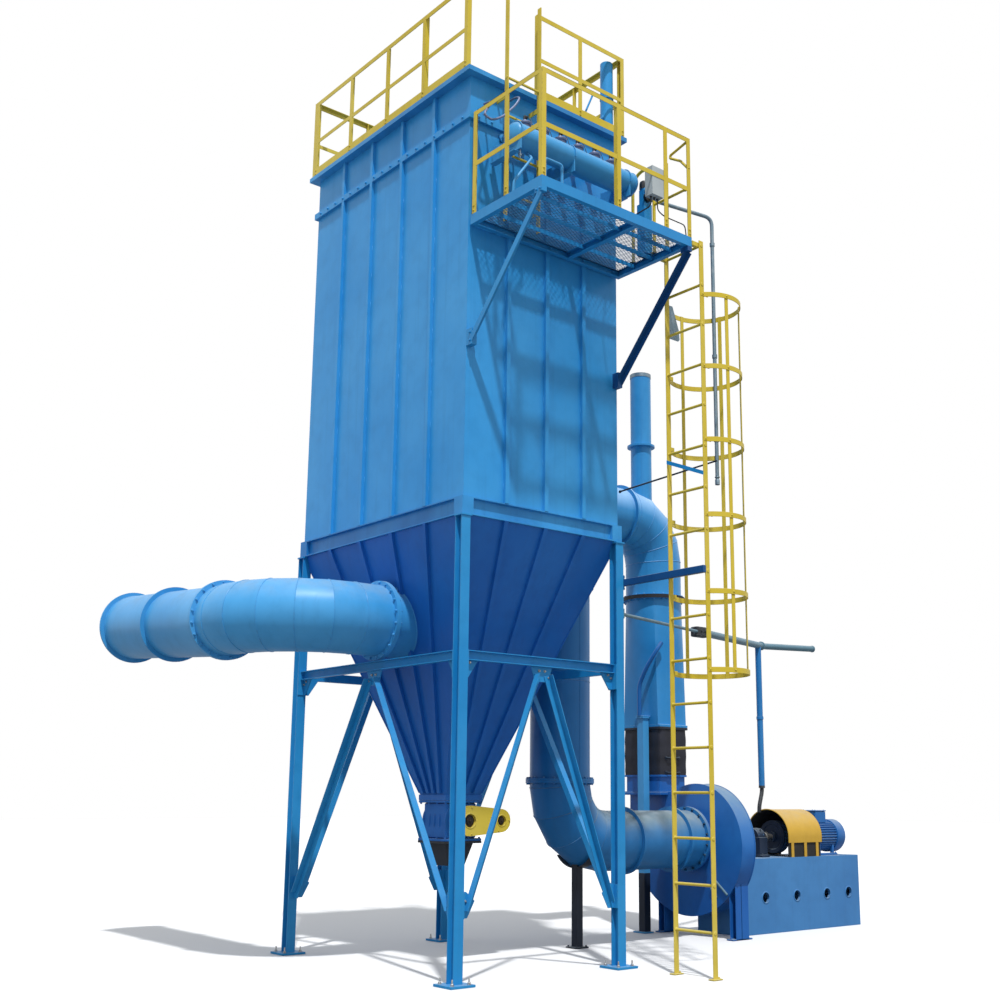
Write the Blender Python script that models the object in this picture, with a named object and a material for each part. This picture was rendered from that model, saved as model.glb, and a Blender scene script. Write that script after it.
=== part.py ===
"""Pulse dust collector: a baghouse on four braced legs, with its hopper, rotary valve, inlet duct, platform with a
caged ladder, pulse header, suction duct and fan. Metres, +Z up. The origin is on the ground, under the front-left
corner of the housing; +X runs along the platform side and +Y along the inlet side."""

import math

import bpy
import bmesh
from mathutils import Matrix, Vector

# Housing
HOUSING_WIDTH = 1.97
HOUSING_DEPTH = 2.90
BEAM_TOP = 4.32
BEAM_HEIGHT = 0.17
BEAM_PROUD = 0.03
SEAM_HEIGHT = 8.13
ROOF_HEIGHT = 8.65
RIB_WIDTH = 0.045
RIB_DEPTH = 0.035
FRONT_RIB_TOP = 7.72
SIDE_BAYS = 5
FRONT_BAYS = 4
SEAM_BAND = 0.07
ROOF_OVERHANG = 0.09
ROOF_THICKNESS = 0.05
COVER_HEIGHT = 0.06
COVER_MARGIN = 0.10
COVER_FRONT = 0.22
HANDLE_RADIUS = 0.012
HANDLE_LENGTH = 0.22
HANDLE_RISE = 0.07

# Hopper and what hangs under it
OUTLET_HEIGHT = 1.56
OUTLET_SIDE = 0.40
OUTLET_FLANGE = 0.05
VALVE_FLANGE_SIDE = 0.46
VALVE_FLANGE = 0.025
VALVE_HEIGHT = 0.40
VALVE_RADIUS = 0.19
VALVE_LENGTH = 0.40
VALVE_COVER_RADIUS = 0.16
VALVE_COVER = 0.03
SPOUT_TOP_SIDE = 0.34
SPOUT_BOTTOM_SIDE = 0.22
SPOUT_HEIGHT = 0.24
SPOUT_WALL = 0.008
GUARD_PITCH = 0.40
GUARD_SMALL_RADIUS = 0.115
GUARD_LARGE_RADIUS = 0.15
GUARD_THICKNESS = 0.09
GUARD_RECESS = 0.02
MOTOR_RADIUS = 0.085
MOTOR_LENGTH = 0.26
GEARBOX_SIDE = 0.17

# Legs, ties and braces
LEG_SIDE = 0.10
LEG_FLANGE = 0.010
LEG_WEB = 0.008
LEG_INSET = 0.01
BASE_SIDE = 0.26
BASE_THICKNESS = 0.02
CAP_PROUD = 0.01
TIE_DEPTH = 0.09
TIE_WIDTH = 0.05
BRACE_FOOT = 0.62
BRACE_SIDE = 0.065
BRACE_THICKNESS = 0.008
BRACE_DROP = 0.07
APEX_CLEAR = 0.085
GUSSET_THICKNESS = 0.010
APEX_GUSSET = 0.26
FOOT_GUSSET = 0.16
END_PLATE = 0.008

# Inlet duct
INLET_RADIUS = 0.355
INLET_WALL = 0.006
INLET_HEIGHT = 3.31
INLET_RISE = 0.15
INLET_FLANGE_X = 0.04
INLET_RUN_X = -1.10
INLET_END_Y = 4.75
INLET_GORES = 5
INLET_STRAIGHT = 0.15
INLET_BEFORE_BEND = 0.30
DUCT_SIDES = 20
FLANGE_PROUD = 0.045
FLANGE_THICKNESS = 0.024
TIE_CLEARANCE = 0.01
TIE_HEIGHT = INLET_HEIGHT - INLET_RADIUS - FLANGE_PROUD - TIE_CLEARANCE

# Platform and railings
PLATFORM_REACH = 1.095
PLATFORM_TOP = 7.10
PLATFORM_EDGE = 0.10
PLATFORM_CHANNEL = 0.05
GRATING_THICKNESS = 0.025
FLOOR_BARS = 4
FLOOR_BAR_HEIGHT = 0.045
FLOOR_BAR_THICKNESS = 0.006
FLOOR_BEAM_X = 1.26
KNEE_HEIGHT = 5.84
KNEE_SIDE = 0.06
KNEE_THICKNESS = 0.007
KNEE_PAD_LENGTH = 0.10
KNEE_PAD_DEPTH = 0.05
KNEE_LUG_BELOW = 0.06
KNEE_LUG_ABOVE = 0.10
RAIL_HEIGHT = 1.08
MID_RAIL = 0.54
TOE_BOARD = 0.10
POST_SIDE = 0.05
POST_THICKNESS = 0.006
RAIL_SIDE = 0.045
ROOF_RAIL_HEIGHT = 0.95
ROOF_MID_RAIL = 0.46
FRONT_POSTS = (0, 0.48, 0.83, 1)
ARCH_NEAR = 0.505
ARCH_FAR = 0.815
ARCH_RISE = 0.99
ARCH_RADIUS = 0.017
DROP_BAR_RADIUS = 0.014
GATE_POST = 0.325
GATE_POST_WIDTH = 0.05
GATE_POST_RISE = 0.93
HAND_HOLD = ((0.003, 1.05), (0.25, 0.99), (0.255, 0.96), (0.11, 0.87), (0.003, 0.74))
ROOF_POST = (HOUSING_WIDTH - 0.07, 0.06)
ROOF_POST_RADIUS = 0.07
ROOF_POST_TOP = 9.55

# Pulse air header
HEADER_RADIUS = 0.13
HEADER_Y = -0.36
HEADER_Z = 7.90
HEADER_LEFT = 0.20
HEADER_RIGHT = HOUSING_WIDTH - 0.09
HEADER_END_DOME = 0.07
VALVE_COUNT = 6
VALVE_FIRST = 0.40
VALVE_END = 0.325
VALVE_PITCH = (HEADER_RIGHT - VALVE_END - VALVE_FIRST) / (VALVE_COUNT - 1)
SADDLES = (HEADER_LEFT + 0.06, HEADER_LEFT + 0.75, HEADER_RIGHT - 0.16)
DIAPHRAGM_RADIUS = 0.065
DIAPHRAGM_HEIGHT = 0.07
BONNET_RADIUS = 0.045
BONNET_HEIGHT = 0.04
SOLENOID_RADIUS = 0.018
SOLENOID_HEIGHT = 0.05
BLOW_PIPE_RADIUS = 0.030
BLOW_PIPE_RISE = 0.35
UNION_RADIUS = 0.042
UNION_LENGTH = 0.06
SADDLE_THICKNESS = 0.012
BOX_SIZE = (0.16, 0.10, 0.30)
BOX_LOW = 0.30
STAND_SIDE = 0.11
STAND_X = HOUSING_WIDTH - STAND_SIDE / 2
STAND_Y = ARCH_NEAR + 0.10 - PLATFORM_REACH
STAND_BASE = 0.13
STAND_HEIGHT = 0.56
REGULATOR_HEIGHT = 0.16
BOWL_RADIUS = 0.05
BOWL_HEIGHT = 0.11
AIR_PIPE_RADIUS = 0.02
AIR_PIPE_FALL = 0.08

# Ladders
LADDER_WIDTH = 0.48
LADDER_NEAR_Y = -PLATFORM_REACH - 0.02
LADDER_FAR_Y = LADDER_NEAR_Y + LADDER_WIDTH
LADDER_X = HOUSING_WIDTH + 0.08
LADDER_ARM_HEIGHT = 3.70
LADDER_ARM_DEPTH = 0.07
LADDER_RAIL = 0.06
LADDER_RAIL_THICKNESS = 0.012
RUNG_PITCH = 0.415
RUNG_RADIUS = 0.014
TOP_RUNG_DROP = 0.06
LADDER_STAY_WIDTH = 0.04
LADDER_STAY_DEPTH = 0.05
ROOF_LADDER_RAIL = 0.05
ROOF_RUNG_FIRST = 0.30
ROOF_RUNG_CLEAR = 0.20
LADDER_STUB = 0.045
HOOP_FIRST = 2.71
HOOP_PITCH = 0.69
HOOP_COUNT = 6
HOOP_FACETS = 8
HOOP_STRAIGHT = 0.36
HOOP_WIDTH = 0.05
HOOP_THICKNESS = 0.008
STRAP_WIDTH = 0.04
ROOF_LADDER_LEFT = 0.33
ROOF_LADDER_WIDTH = 0.42
ROOF_LADDER_Y = -0.13
ROOF_LADDER_STAYS = (7.30, 8.42)

# Suction duct and fan
SUCTION_RADIUS = 0.33
SUCTION_CLEARANCE = 0.128
SUCTION_X = HOUSING_WIDTH + RIB_DEPTH + SUCTION_CLEARANCE + SUCTION_RADIUS
FAN_Y = 1.45
FAN_AXIS = 1.12
SUCTION_BEND = 0.60
SUCTION_GORES = 4
SUCTION_TOP = 8.02
RISER_JOINT = 0.05
RISER_RINGS = (3.9, 6.0)
RUN_RINGS = (SUCTION_X + 1.197, SUCTION_X + 1.337)
TOP_BOX_WIDTH = 0.90
TOP_BOX_PROUD = 0.03
TOP_BOX_FLOOR = 8.18
TOP_BOX_ROOF = 8.58
SUCTION_RUN = 2.007
INLET_CONE = 0.13
FAN_INLET_X = SUCTION_X + SUCTION_RUN
FAN_FACE = FAN_INLET_X + INLET_CONE
FAN_WIDTH = 0.24
FAN_RADIUS = 0.60
SCROLL_GROWTH = 0.45
SCROLL_RISE = 1.5
CUTOFF_ANGLE = 76
CUTOFF_LIP = 0.065
FAN_FOOT_Y = 0.52
FAN_FOOT_SIDE = 0.10
FAN_FOOT_TOP = 0.70
BASE_PROUD = 0.05
FAN_RIM = 0.04
FAN_RIM_THICKNESS = 0.012
OUTLET_X_SIDE = 0.50
OUTLET_Y_SIDE = 0.60
OUTLET_LIP = 0.03
JOINT_BOTTOM = 1.66
JOINT_TOP = 2.46
JOINT_INSET = 0.02
TAPER_TOP = 4.10
DISCHARGE_RADIUS = 0.355
ELBOW_AXIS = 5.12
ELBOW_BEND = 0.55
ELBOW_GORES = 4
LEG_END_X = FAN_FACE - 1.30
STACK_RADIUS = 0.135
STACK_WALL = 0.005
STACK_TOP = 7.10
STACK_RING = 6.10
STACK_BACK = 0.20
STACK_SINK = 0.06
LEG_RING = 0.08
PEDESTAL_TOP = 0.88
PEDESTAL_LEFT = FAN_FACE + FAN_WIDTH + 0.18
PEDESTAL_LENGTH = 2.33
PEDESTAL_RIGHT = PEDESTAL_LEFT + PEDESTAL_LENGTH
PEDESTAL_WIDTH = 0.70
PEDESTAL_WALL = 0.03
PEDESTAL_HOLE = 0.065
PEDESTAL_HOLES = (0.45, 1.05, 1.65, 2.10)
PEDESTAL_HOLE_HEIGHT = 0.42
SHAFT_RADIUS = 0.035
HUB_RADIUS = 0.16
HUB_PROUD = 0.05
BEARING_SIZE = (0.14, 0.26, 0.20)
BEARINGS = (PEDESTAL_LEFT + 0.18, PEDESTAL_LEFT + 0.70)
HOOD_LENGTH = 0.67
HOOD_LEFT = PEDESTAL_LEFT + 0.93
HOOD_RIGHT = HOOD_LEFT + HOOD_LENGTH
HOOD_RADIUS = 0.34
HOOD_WALL = 0.006
PULLEY_RADIUS = 0.20
PULLEY_WIDTH = 0.10
DRIVE_MOTOR_RADIUS = 0.20
DRIVE_MOTOR_LENGTH = 0.60
DRIVE_MOTOR_LEFT = HOOD_RIGHT + 0.06
DRIVE_MOTOR_RIGHT = DRIVE_MOTOR_LEFT + DRIVE_MOTOR_LENGTH
SUPPORT_SIDE = 0.09
SUPPORT_X = SUCTION_X + 0.257
SUPPORT_RISE = 0.11
DISCHARGE_POST = (FAN_FACE - 0.195, FAN_Y + 0.65)
DISCHARGE_POST_SIDE = 0.10
DISCHARGE_POST_TOP = 2.58
POST_CAP = 0.015

# Cable conduit
CONDUIT_RADIUS = 0.043
CONDUIT_THIN = 0.018
CONDUIT_Z = 3.42
CONDUIT_END = (HOOD_LEFT + 0.08, FAN_Y + 0.13, 3.57)
CONDUIT_CLAMP = 0.60
CONDUIT_CLAMP_SIDE = 0.14
CONDUIT_PAST = 0.14
CONDUIT_FOOT = 0.10

FOOT_PLATE = 0.015
END = -1
GAP = 0.0003
SINK = 0.004


def paint(name, color, roughness=0.5, metallic=0.0):
    material = bpy.data.materials.new(name)
    material.use_nodes = True
    shader = material.node_tree.nodes["Principled BSDF"]
    shader.inputs["Base Color"].default_value = (*color, 1.0)
    shader.inputs["Roughness"].default_value = roughness
    shader.inputs["Metallic"].default_value = metallic
    return material


def piece(bm, name="shape"):
    """A hidden closed mesh, ready to be fused into a node or cut from one."""
    bmesh.ops.remove_doubles(bm, verts=bm.verts, dist=1e-6)
    bmesh.ops.recalc_face_normals(bm, faces=bm.faces)
    if bm.calc_volume(signed=True) < 0:
        bmesh.ops.reverse_faces(bm, faces=bm.faces)
    mesh = bpy.data.meshes.new(name)
    bm.to_mesh(mesh)
    bm.free()
    made = bpy.data.objects.new(name, mesh)
    made.hide_render = True
    made.display_type = "WIRE"
    return made


def node(name, material, pieces, cuts=(), smooth=False):
    """One named object: its pieces fused, then its cuts taken away."""
    first, *others = pieces
    first.name = name
    first.data.name = name
    first.hide_render = False
    first.display_type = "TEXTURED"
    first.data.materials.append(material)
    bpy.context.scene.collection.objects.link(first)
    for operation, shapes in (("UNION", others), ("DIFFERENCE", list(cuts))):
        if not shapes:
            continue
        group = bpy.data.collections.new(f"{name}_{operation.lower()}")
        group.hide_render = True
        bpy.context.scene.collection.children.link(group)
        for shape in shapes:
            group.objects.link(shape)
        boolean = first.modifiers.new(operation.capitalize(), "BOOLEAN")
        boolean.operation = operation
        boolean.operand_type = "COLLECTION"
        boolean.collection = group
    if smooth:
        first.data.shade_smooth()
        first.data.set_sharp_from_angle(angle=math.radians(35))
    return first


def box(low, high):
    bm = bmesh.new()
    bmesh.ops.create_cube(bm, size=1.0)
    size = [b - a for a, b in zip(low, high)]
    middle = [(a + b) / 2 for a, b in zip(low, high)]
    bmesh.ops.scale(bm, vec=size, verts=bm.verts)
    bmesh.ops.translate(bm, vec=middle, verts=bm.verts)
    return piece(bm)


def prism(outline, start, end, u, v):
    """A flat outline, given in the directions u and v from start, carried straight to end."""
    bm = bmesh.new()
    start, end, u, v = Vector(start), Vector(end), Vector(u), Vector(v)
    verts = [bm.verts.new(start + u * a + v * b) for a, b in outline]
    face = bm.faces.new(verts)
    swept = bmesh.ops.extrude_face_region(bm, geom=[face])
    moved = [g for g in swept["geom"] if isinstance(g, bmesh.types.BMVert)]
    bmesh.ops.translate(bm, vec=end - start, verts=moved)
    return piece(bm)


def bar(start, end, width, depth, up=(0, 0, 1)):
    """A flat bar from start to end; its depth lies along up, its width across it."""
    along = (Vector(end) - Vector(start)).normalized()
    side = along.cross(Vector(up)).normalized()
    rise = side.cross(along).normalized()
    half_w, half_d = width / 2, depth / 2
    outline = ((-half_w, -half_d), (half_w, -half_d), (half_w, half_d), (-half_w, half_d))
    return prism(outline, start, end, side, rise)


def angle_bar(start, end, side, thickness, u, v):
    """An equal angle: its corner runs from start to end, and its two legs point along u and v."""
    outline = ((0, 0), (side, 0), (side, thickness), (thickness, thickness), (thickness, side), (0, side))
    return prism(outline, start, end, u, v)


def channel_bar(start, end, depth, width, thickness, u, v):
    """A channel: its back runs from start to end and rises by depth along v; the flanges point along u."""
    t = thickness
    outline = ((0, 0), (width, 0), (width, t), (t, t), (t, depth - t), (width, depth - t), (width, depth), (0, depth))
    return prism(outline, start, end, u, v)


def cylinder(start, end, radius, sides=24, end_radius=None):
    start, end = Vector(start), Vector(end)
    along = end - start
    bm = bmesh.new()
    turn = along.to_track_quat("Z", "Y").to_matrix().to_4x4()
    place = Matrix.Translation((start + end) / 2) @ turn
    top = radius if end_radius is None else end_radius
    bmesh.ops.create_cone(
        bm, cap_ends=True, segments=sides, radius1=radius, radius2=top, depth=along.length, matrix=place
    )
    return piece(bm)


def turned(profile, origin, axis, sides=24):
    """A solid turned about an axis: the profile is (distance along the axis, radius) from tip to tip."""
    axis = Vector(axis).normalized()
    side = axis.orthogonal().normalized()
    bm = bmesh.new()
    points = [Vector(origin) + axis * a + side * r for a, r in profile]
    verts = [bm.verts.new(p) for p in points]
    edges = [bm.edges.new(pair) for pair in zip(verts, verts[1:])]
    bmesh.ops.spin(
        bm, geom=verts + edges, cent=origin, axis=axis, angle=math.tau, steps=sides, use_merge=True
    )
    bmesh.ops.remove_doubles(bm, verts=bm.verts, dist=1e-6)
    for tip in (0, -1):
        if profile[tip][1] > 0:
            ring = [e for e in bm.edges if e.is_boundary and abs((e.verts[0].co - points[tip]).dot(axis)) < 1e-6]
            bmesh.ops.contextual_create(bm, geom=ring)
    return piece(bm)


def ring_points(centre, normal_u, normal_v, radius, sides):
    step = math.tau / sides
    return [centre + normal_u * radius * math.cos(i * step) + normal_v * radius * math.sin(i * step) for i in range(sides)]


def duct_marks(path, radius, flanges):
    """The rings of a duct's outside: point, direction, mitre plane and radius of each."""
    marks = []
    t, proud = FLANGE_THICKNESS, radius + FLANGE_PROUD
    for i, here in enumerate(path):
        last = i + 1 == len(path)
        out = (path[i + 1] - here).normalized() if not last else (here - path[i - 1]).normalized()
        into = (here - path[i - 1]).normalized() if i else out
        mitre = (into + out).normalized()
        spots = sorted(spot for segment, spot in flanges if segment == i and spot != END)
        if last:
            if (i - 1, END) in flanges:
                marks += [(here - into * t, into, into, radius), (here - into * t, into, into, proud)]
                marks.append((here, into, into, proud))
            else:
                marks.append((here, into, into, radius))
            continue
        if spots and spots[0] == 0:
            marks += [(here, into, mitre, proud), (here + out * t, out, out, proud), (here + out * t, out, out, radius)]
            spots = spots[1:]
        else:
            marks.append((here, into, mitre, radius))
        for spot in spots:
            a, b = here + out * spot, here + out * (spot + t)
            marks += [(a, out, out, radius), (a, out, out, proud), (b, out, out, proud), (b, out, out, radius)]
    return marks


def duct(path, radius, wall=0.0, flanges=(), sides=DUCT_SIDES, up=(0, 0, 1)):
    """A round pipe through the points of path, mitred at each. Its ring flanges stand at the places given as
    (segment, distance along it), END for a flange flush with the end. With a wall it is open at both ends."""
    path = [Vector(p) for p in path]
    bm = bmesh.new()
    shells = [duct_marks(path, radius, flanges)]
    if wall:
        shells.append(duct_marks(path, radius - wall, ()))
    loops = []
    for marks in shells:
        rings = []
        for here, into, mitre, r in marks:
            side = into.cross(Vector(up))
            side = side.normalized() if side.length > 1e-6 else into.orthogonal().normalized()
            rise = side.cross(into).normalized()
            ring = []
            for p in ring_points(here, side, rise, r, sides):
                ring.append(bm.verts.new(p + into * ((here - p).dot(mitre) / into.dot(mitre))))
            rings.append(ring)
        for a, b in zip(rings, rings[1:]):
            band(bm, a, b)
        loops.append(rings)
    for end in (0, -1):
        if wall:
            band(bm, loops[0][end], loops[1][end])
        else:
            bm.faces.new(loops[0][end])
    return piece(bm)


def band(bm, a, b):
    """Faces between two rings of vertices."""
    for i in range(len(a)):
        j = (i + 1) % len(a)
        bm.faces.new((a[i], a[j], b[j], b[i]))


def loft(outlines):
    """A closed solid through outlines of equal counts, each a list of points."""
    bm = bmesh.new()
    rings = [[bm.verts.new(p) for p in outline] for outline in outlines]
    for a, b in zip(rings, rings[1:]):
        band(bm, a, b)
    bm.faces.new(rings[0])
    bm.faces.new(rings[-1])
    return piece(bm)


def square_ring(x0, x1, y0, y1, z):
    return [(x0, y0, z), (x1, y0, z), (x1, y1, z), (x0, y1, z)]


def arc_path(centre, radius, start, end, count, u, v):
    """Points on an arc from angle start to end, in the plane of u and v."""
    u, v = Vector(u), Vector(v)
    steps = [start + (end - start) * i / count for i in range(count + 1)]
    return [Vector(centre) + u * radius * math.cos(a) + v * radius * math.sin(a) for a in steps]


X, Y, Z = Vector((1, 0, 0)), Vector((0, 1, 0)), Vector((0, 0, 1))
W, D = HOUSING_WIDTH, HOUSING_DEPTH
BEAM_BOTTOM = BEAM_TOP - BEAM_HEIGHT


def housing():
    blue = paint("housing_blue", (0.07, 0.27, 0.52), 0.45)
    low, high = BEAM_TOP + GAP, SEAM_HEIGHT - GAP
    pieces = [box((0, 0, low), (W, D, high))]
    for i in range(1, SIDE_BAYS):
        y = D * i / SIDE_BAYS
        for x0, x1 in ((-RIB_DEPTH, SINK), (W - SINK, W + RIB_DEPTH)):
            pieces.append(box((x0, y - RIB_WIDTH / 2, low), (x1, y + RIB_WIDTH / 2, high)))
    for i in range(1, FRONT_BAYS):
        x = W * i / FRONT_BAYS
        for y0, y1, top in ((-RIB_DEPTH, SINK, FRONT_RIB_TOP), (D - SINK, D + RIB_DEPTH, high)):
            pieces.append(box((x - RIB_WIDTH / 2, y0, low), (x + RIB_WIDTH / 2, y1, top)))
    node("filter_housing", blue, pieces)


def plenum():
    blue = paint("plenum_blue", (0.08, 0.29, 0.54), 0.45)
    low, high = SEAM_HEIGHT, ROOF_HEIGHT - ROOF_THICKNESS - GAP
    band = RIB_DEPTH
    pieces = [box((0, 0, low), (W, D, high)), box((-band, -band, low), (W + band, D + band, low + SEAM_BAND))]
    for i in range(1, SIDE_BAYS):
        y = D * i / SIDE_BAYS
        for x0, x1 in ((-band, SINK), (W - SINK, W + band)):
            pieces.append(box((x0, y - RIB_WIDTH / 2, low + SINK), (x1, y + RIB_WIDTH / 2, high)))
    node("clean_air_plenum", blue, pieces)


def roof():
    blue = paint("roof_blue", (0.05, 0.20, 0.42), 0.5)
    low, o = ROOF_HEIGHT - ROOF_THICKNESS, ROOF_OVERHANG
    pieces = [box((-o, -o, low), (W + o, D + o, ROOF_HEIGHT))]
    lid_w = (W - 3 * COVER_MARGIN) / 2
    lid_d = (D - COVER_FRONT - 3 * COVER_MARGIN) / 3
    for i in range(2):
        for j in range(3):
            x = COVER_MARGIN + i * (lid_w + COVER_MARGIN)
            y = COVER_FRONT + j * (lid_d + COVER_MARGIN)
            top = ROOF_HEIGHT + COVER_HEIGHT
            pieces.append(box((x, y, ROOF_HEIGHT - SINK), (x + lid_w, y + lid_d, top)))
            middle, half = y + lid_d / 2, HANDLE_LENGTH / 2
            for hx in (x + lid_w * 0.25, x + lid_w * 0.75):
                path = [(hx, middle - half, top - SINK), (hx, middle - half, top + HANDLE_RISE)]
                path += [(hx, middle + half, top + HANDLE_RISE), (hx, middle + half, top - SINK)]
                pieces.append(duct(path, HANDLE_RADIUS, sides=4, up=X))
    node("roof_deck", blue, pieces)
    x, y = ROOF_POST
    r, foot = ROOF_POST_RADIUS, ROOF_HEIGHT + GAP
    post = cylinder((x, y, foot), (x, y, ROOF_POST_TOP), r, 12)
    plate = box((x - r, y - r, foot), (x + r, y + r, foot + FOOT_PLATE))
    node("roof_post", blue, [post, plate])


def ring_beam():
    blue = paint("beam_blue", (0.06, 0.30, 0.60), 0.45)
    p, t = BEAM_PROUD, 0.012
    outer = box((-p, -p, BEAM_BOTTOM), (W + p, D + p, BEAM_TOP))
    low, high, deep = BEAM_BOTTOM + t, BEAM_TOP - t, p - t + 0.02
    slots = [
        box((LEG_SIDE, -p - 1, low), (W - LEG_SIDE, -p + deep, high)),
        box((LEG_SIDE, D + p - deep, low), (W - LEG_SIDE, D + p + 1, high)),
        box((-p - 1, LEG_SIDE, low), (-p + deep, D - LEG_SIDE, high)),
        box((W + p - deep, LEG_SIDE, low), (W + p + 1, D - LEG_SIDE, high)),
    ]
    node("ring_beam", blue, [outer], slots)


def hopper_corner(z):
    """Distance that the hopper's walls have come in from the housing's walls, at height z."""
    share = (BEAM_BOTTOM - z) / (BEAM_BOTTOM - OUTLET_HEIGHT)
    return share * (W - OUTLET_SIDE) / 2, share * (D - OUTLET_SIDE) / 2


def hopper_ring(z, out=0.0):
    dx, dy = hopper_corner(z)
    return square_ring(dx - out, W - dx + out, dy - out, D - dy + out, z)


def hopper_rib(a, b, outward, across):
    """A flat stiffener standing on a sloping wall, from a at the top to b at the bottom."""
    half = across * RIB_WIDTH / 2
    out, sink = outward * RIB_DEPTH, -outward * SINK * 2
    return loft([[p - half + sink, p + half + sink, p + half + out, p - half + out] for p in (a, b)])


def hopper():
    blue = paint("hopper_blue", (0.03, 0.16, 0.45), 0.45)
    top, low = BEAM_BOTTOM - GAP, OUTLET_HEIGHT + OUTLET_FLANGE
    f = VALVE_FLANGE_SIDE / 2
    pieces = [loft([hopper_ring(top), hopper_ring(low)])]
    pieces.append(box((W / 2 - f, D / 2 - f, OUTLET_HEIGHT), (W / 2 + f, D / 2 + f, low + SINK)))
    rib_low = low + 0.02
    (dx0, dy0), (dx1, dy1) = hopper_corner(top), hopper_corner(rib_low)
    for i in range(1, SIDE_BAYS):
        share = i / SIDE_BAYS
        y0, y1 = dy0 + (D - 2 * dy0) * share, dy1 + (D - 2 * dy1) * share
        pieces.append(hopper_rib(Vector((dx0, y0, top)), Vector((dx1, y1, rib_low)), -X, Y))
        pieces.append(hopper_rib(Vector((W - dx0, y0, top)), Vector((W - dx1, y1, rib_low)), X, Y))
    for i in range(1, FRONT_BAYS):
        share = i / FRONT_BAYS
        x0, x1 = dx0 + (W - 2 * dx0) * share, dx1 + (W - 2 * dx1) * share
        pieces.append(hopper_rib(Vector((x0, dy0, top)), Vector((x1, dy1, rib_low)), -Y, X))
        pieces.append(hopper_rib(Vector((x0, D - dy0, top)), Vector((x1, D - dy1, rib_low)), Y, X))
    s = LEG_SIDE / 2 + CAP_PROUD + GAP * 2
    corners = [box((x - s, y - s, OUTLET_HEIGHT), (x + s, y + s, BEAM_TOP)) for _, x, y in leg_places()]
    node("hopper", blue, pieces, [inlet_core(INLET_RADIUS + 0.002, 0.05), *corners])


def inlet_core(radius, reach):
    """The inlet's cylinder from outside up to reach short of the hopper's sloping wall, for cuts."""
    bm = bmesh.new()
    lean = (W - OUTLET_SIDE) / 2 / (BEAM_BOTTOM - OUTLET_HEIGHT)
    rings = []
    for far in (False, True):
        ring = []
        for p in ring_points(Vector((0, D / 2, INLET_HEIGHT)), Y, Z, radius, DUCT_SIDES):
            wall = (BEAM_BOTTOM - p.z) * lean
            ring.append(bm.verts.new((wall - GAP if far else -reach, p.y, p.z)))
        rings.append(ring)
    band(bm, *rings)
    bm.faces.new(rings[0])
    bm.faces.new(rings[1])
    return piece(bm)


def legs():
    blue = paint("leg_blue", (0.05, 0.28, 0.60), 0.4)
    s, f, w = LEG_SIDE / 2, LEG_FLANGE, LEG_WEB / 2
    outline = [(-s, -s), (s, -s), (s, -s + f), (w, -s + f), (w, s - f), (s, s - f), (s, s), (-s, s)]
    outline += [(-s, s - f), (-w, s - f), (-w, -s + f), (-s, -s + f)]
    b, top = BASE_SIDE / 2, BEAM_BOTTOM - GAP
    for name, x, y in leg_places():
        plate = box((x - b, y - b, 0), (x + b, y + b, BASE_THICKNESS))
        post = prism(outline, (x, y, BASE_THICKNESS - SINK), (x, y, top), X, Y)
        c = s + CAP_PROUD
        cap = box((x - c, y - c, top - 0.015), (x + c, y + c, top))
        node(name, blue, [post, plate, cap])


def leg_places():
    i = LEG_INSET
    return (
        ("leg_front_left", i, i), ("leg_front_right", W - i, i),
        ("leg_back_left", i, D - i), ("leg_back_right", W - i, D - i),
    )


def frame_sides():
    """Each side of the frame: name, start leg, end leg and outward direction."""
    i = LEG_INSET
    a, b, c, d = (Vector(p) for p in ((i, i, 0), (W - i, i, 0), (W - i, D - i, 0), (i, D - i, 0)))
    return (("front", a, b, -Y), ("right", b, c, X), ("back", c, d, Y), ("left", d, a, -X))


def bracing():
    blue = paint("brace_blue", (0.05, 0.26, 0.56), 0.42)
    face = LEG_SIDE / 2
    for name, start, end, outward in frame_sides():
        along = (end - start).normalized()
        a, b = start + along * (face + GAP), end - along * (face + GAP)
        centre = (start + end) / 2
        low = Z * (TIE_HEIGHT - TIE_DEPTH)
        back = -outward * TIE_WIDTH / 2
        tie = channel_bar(a + low + back, b + low + back, TIE_DEPTH, TIE_WIDTH, BRACE_THICKNESS, outward, Z)
        g, t = APEX_GUSSET / 2, GUSSET_THICKNESS
        apex = [(-g, 0), (-g * 0.6, -g * 1.1), (g * 0.6, -g * 1.1), (g, 0), (g, 0.03), (-g, 0.03)]
        flat = centre + low + back
        plates = [prism(apex, flat, flat + outward * t, along, Z)]
        e = FOOT_GUSSET
        for corner, way in ((a, along), (b, -along)):
            ear = [(0, 0.03), (0, -e), (e * 0.3, -e), (e, 0), (e, 0.03)]
            plates.append(prism(ear, corner + low + back, corner + low + back + outward * t, way, Z))
            plates.append(end_plate(corner + low - Z * e, e + TIE_DEPTH, way, outward))
        node(f"tie_{name}", blue, [tie, *plates])
        for side, foot, way in (("a", a, along), ("b", b, -along)):
            brace(f"brace_{name}_{side}", blue, foot, centre - way * APEX_CLEAR, way, outward)


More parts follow.
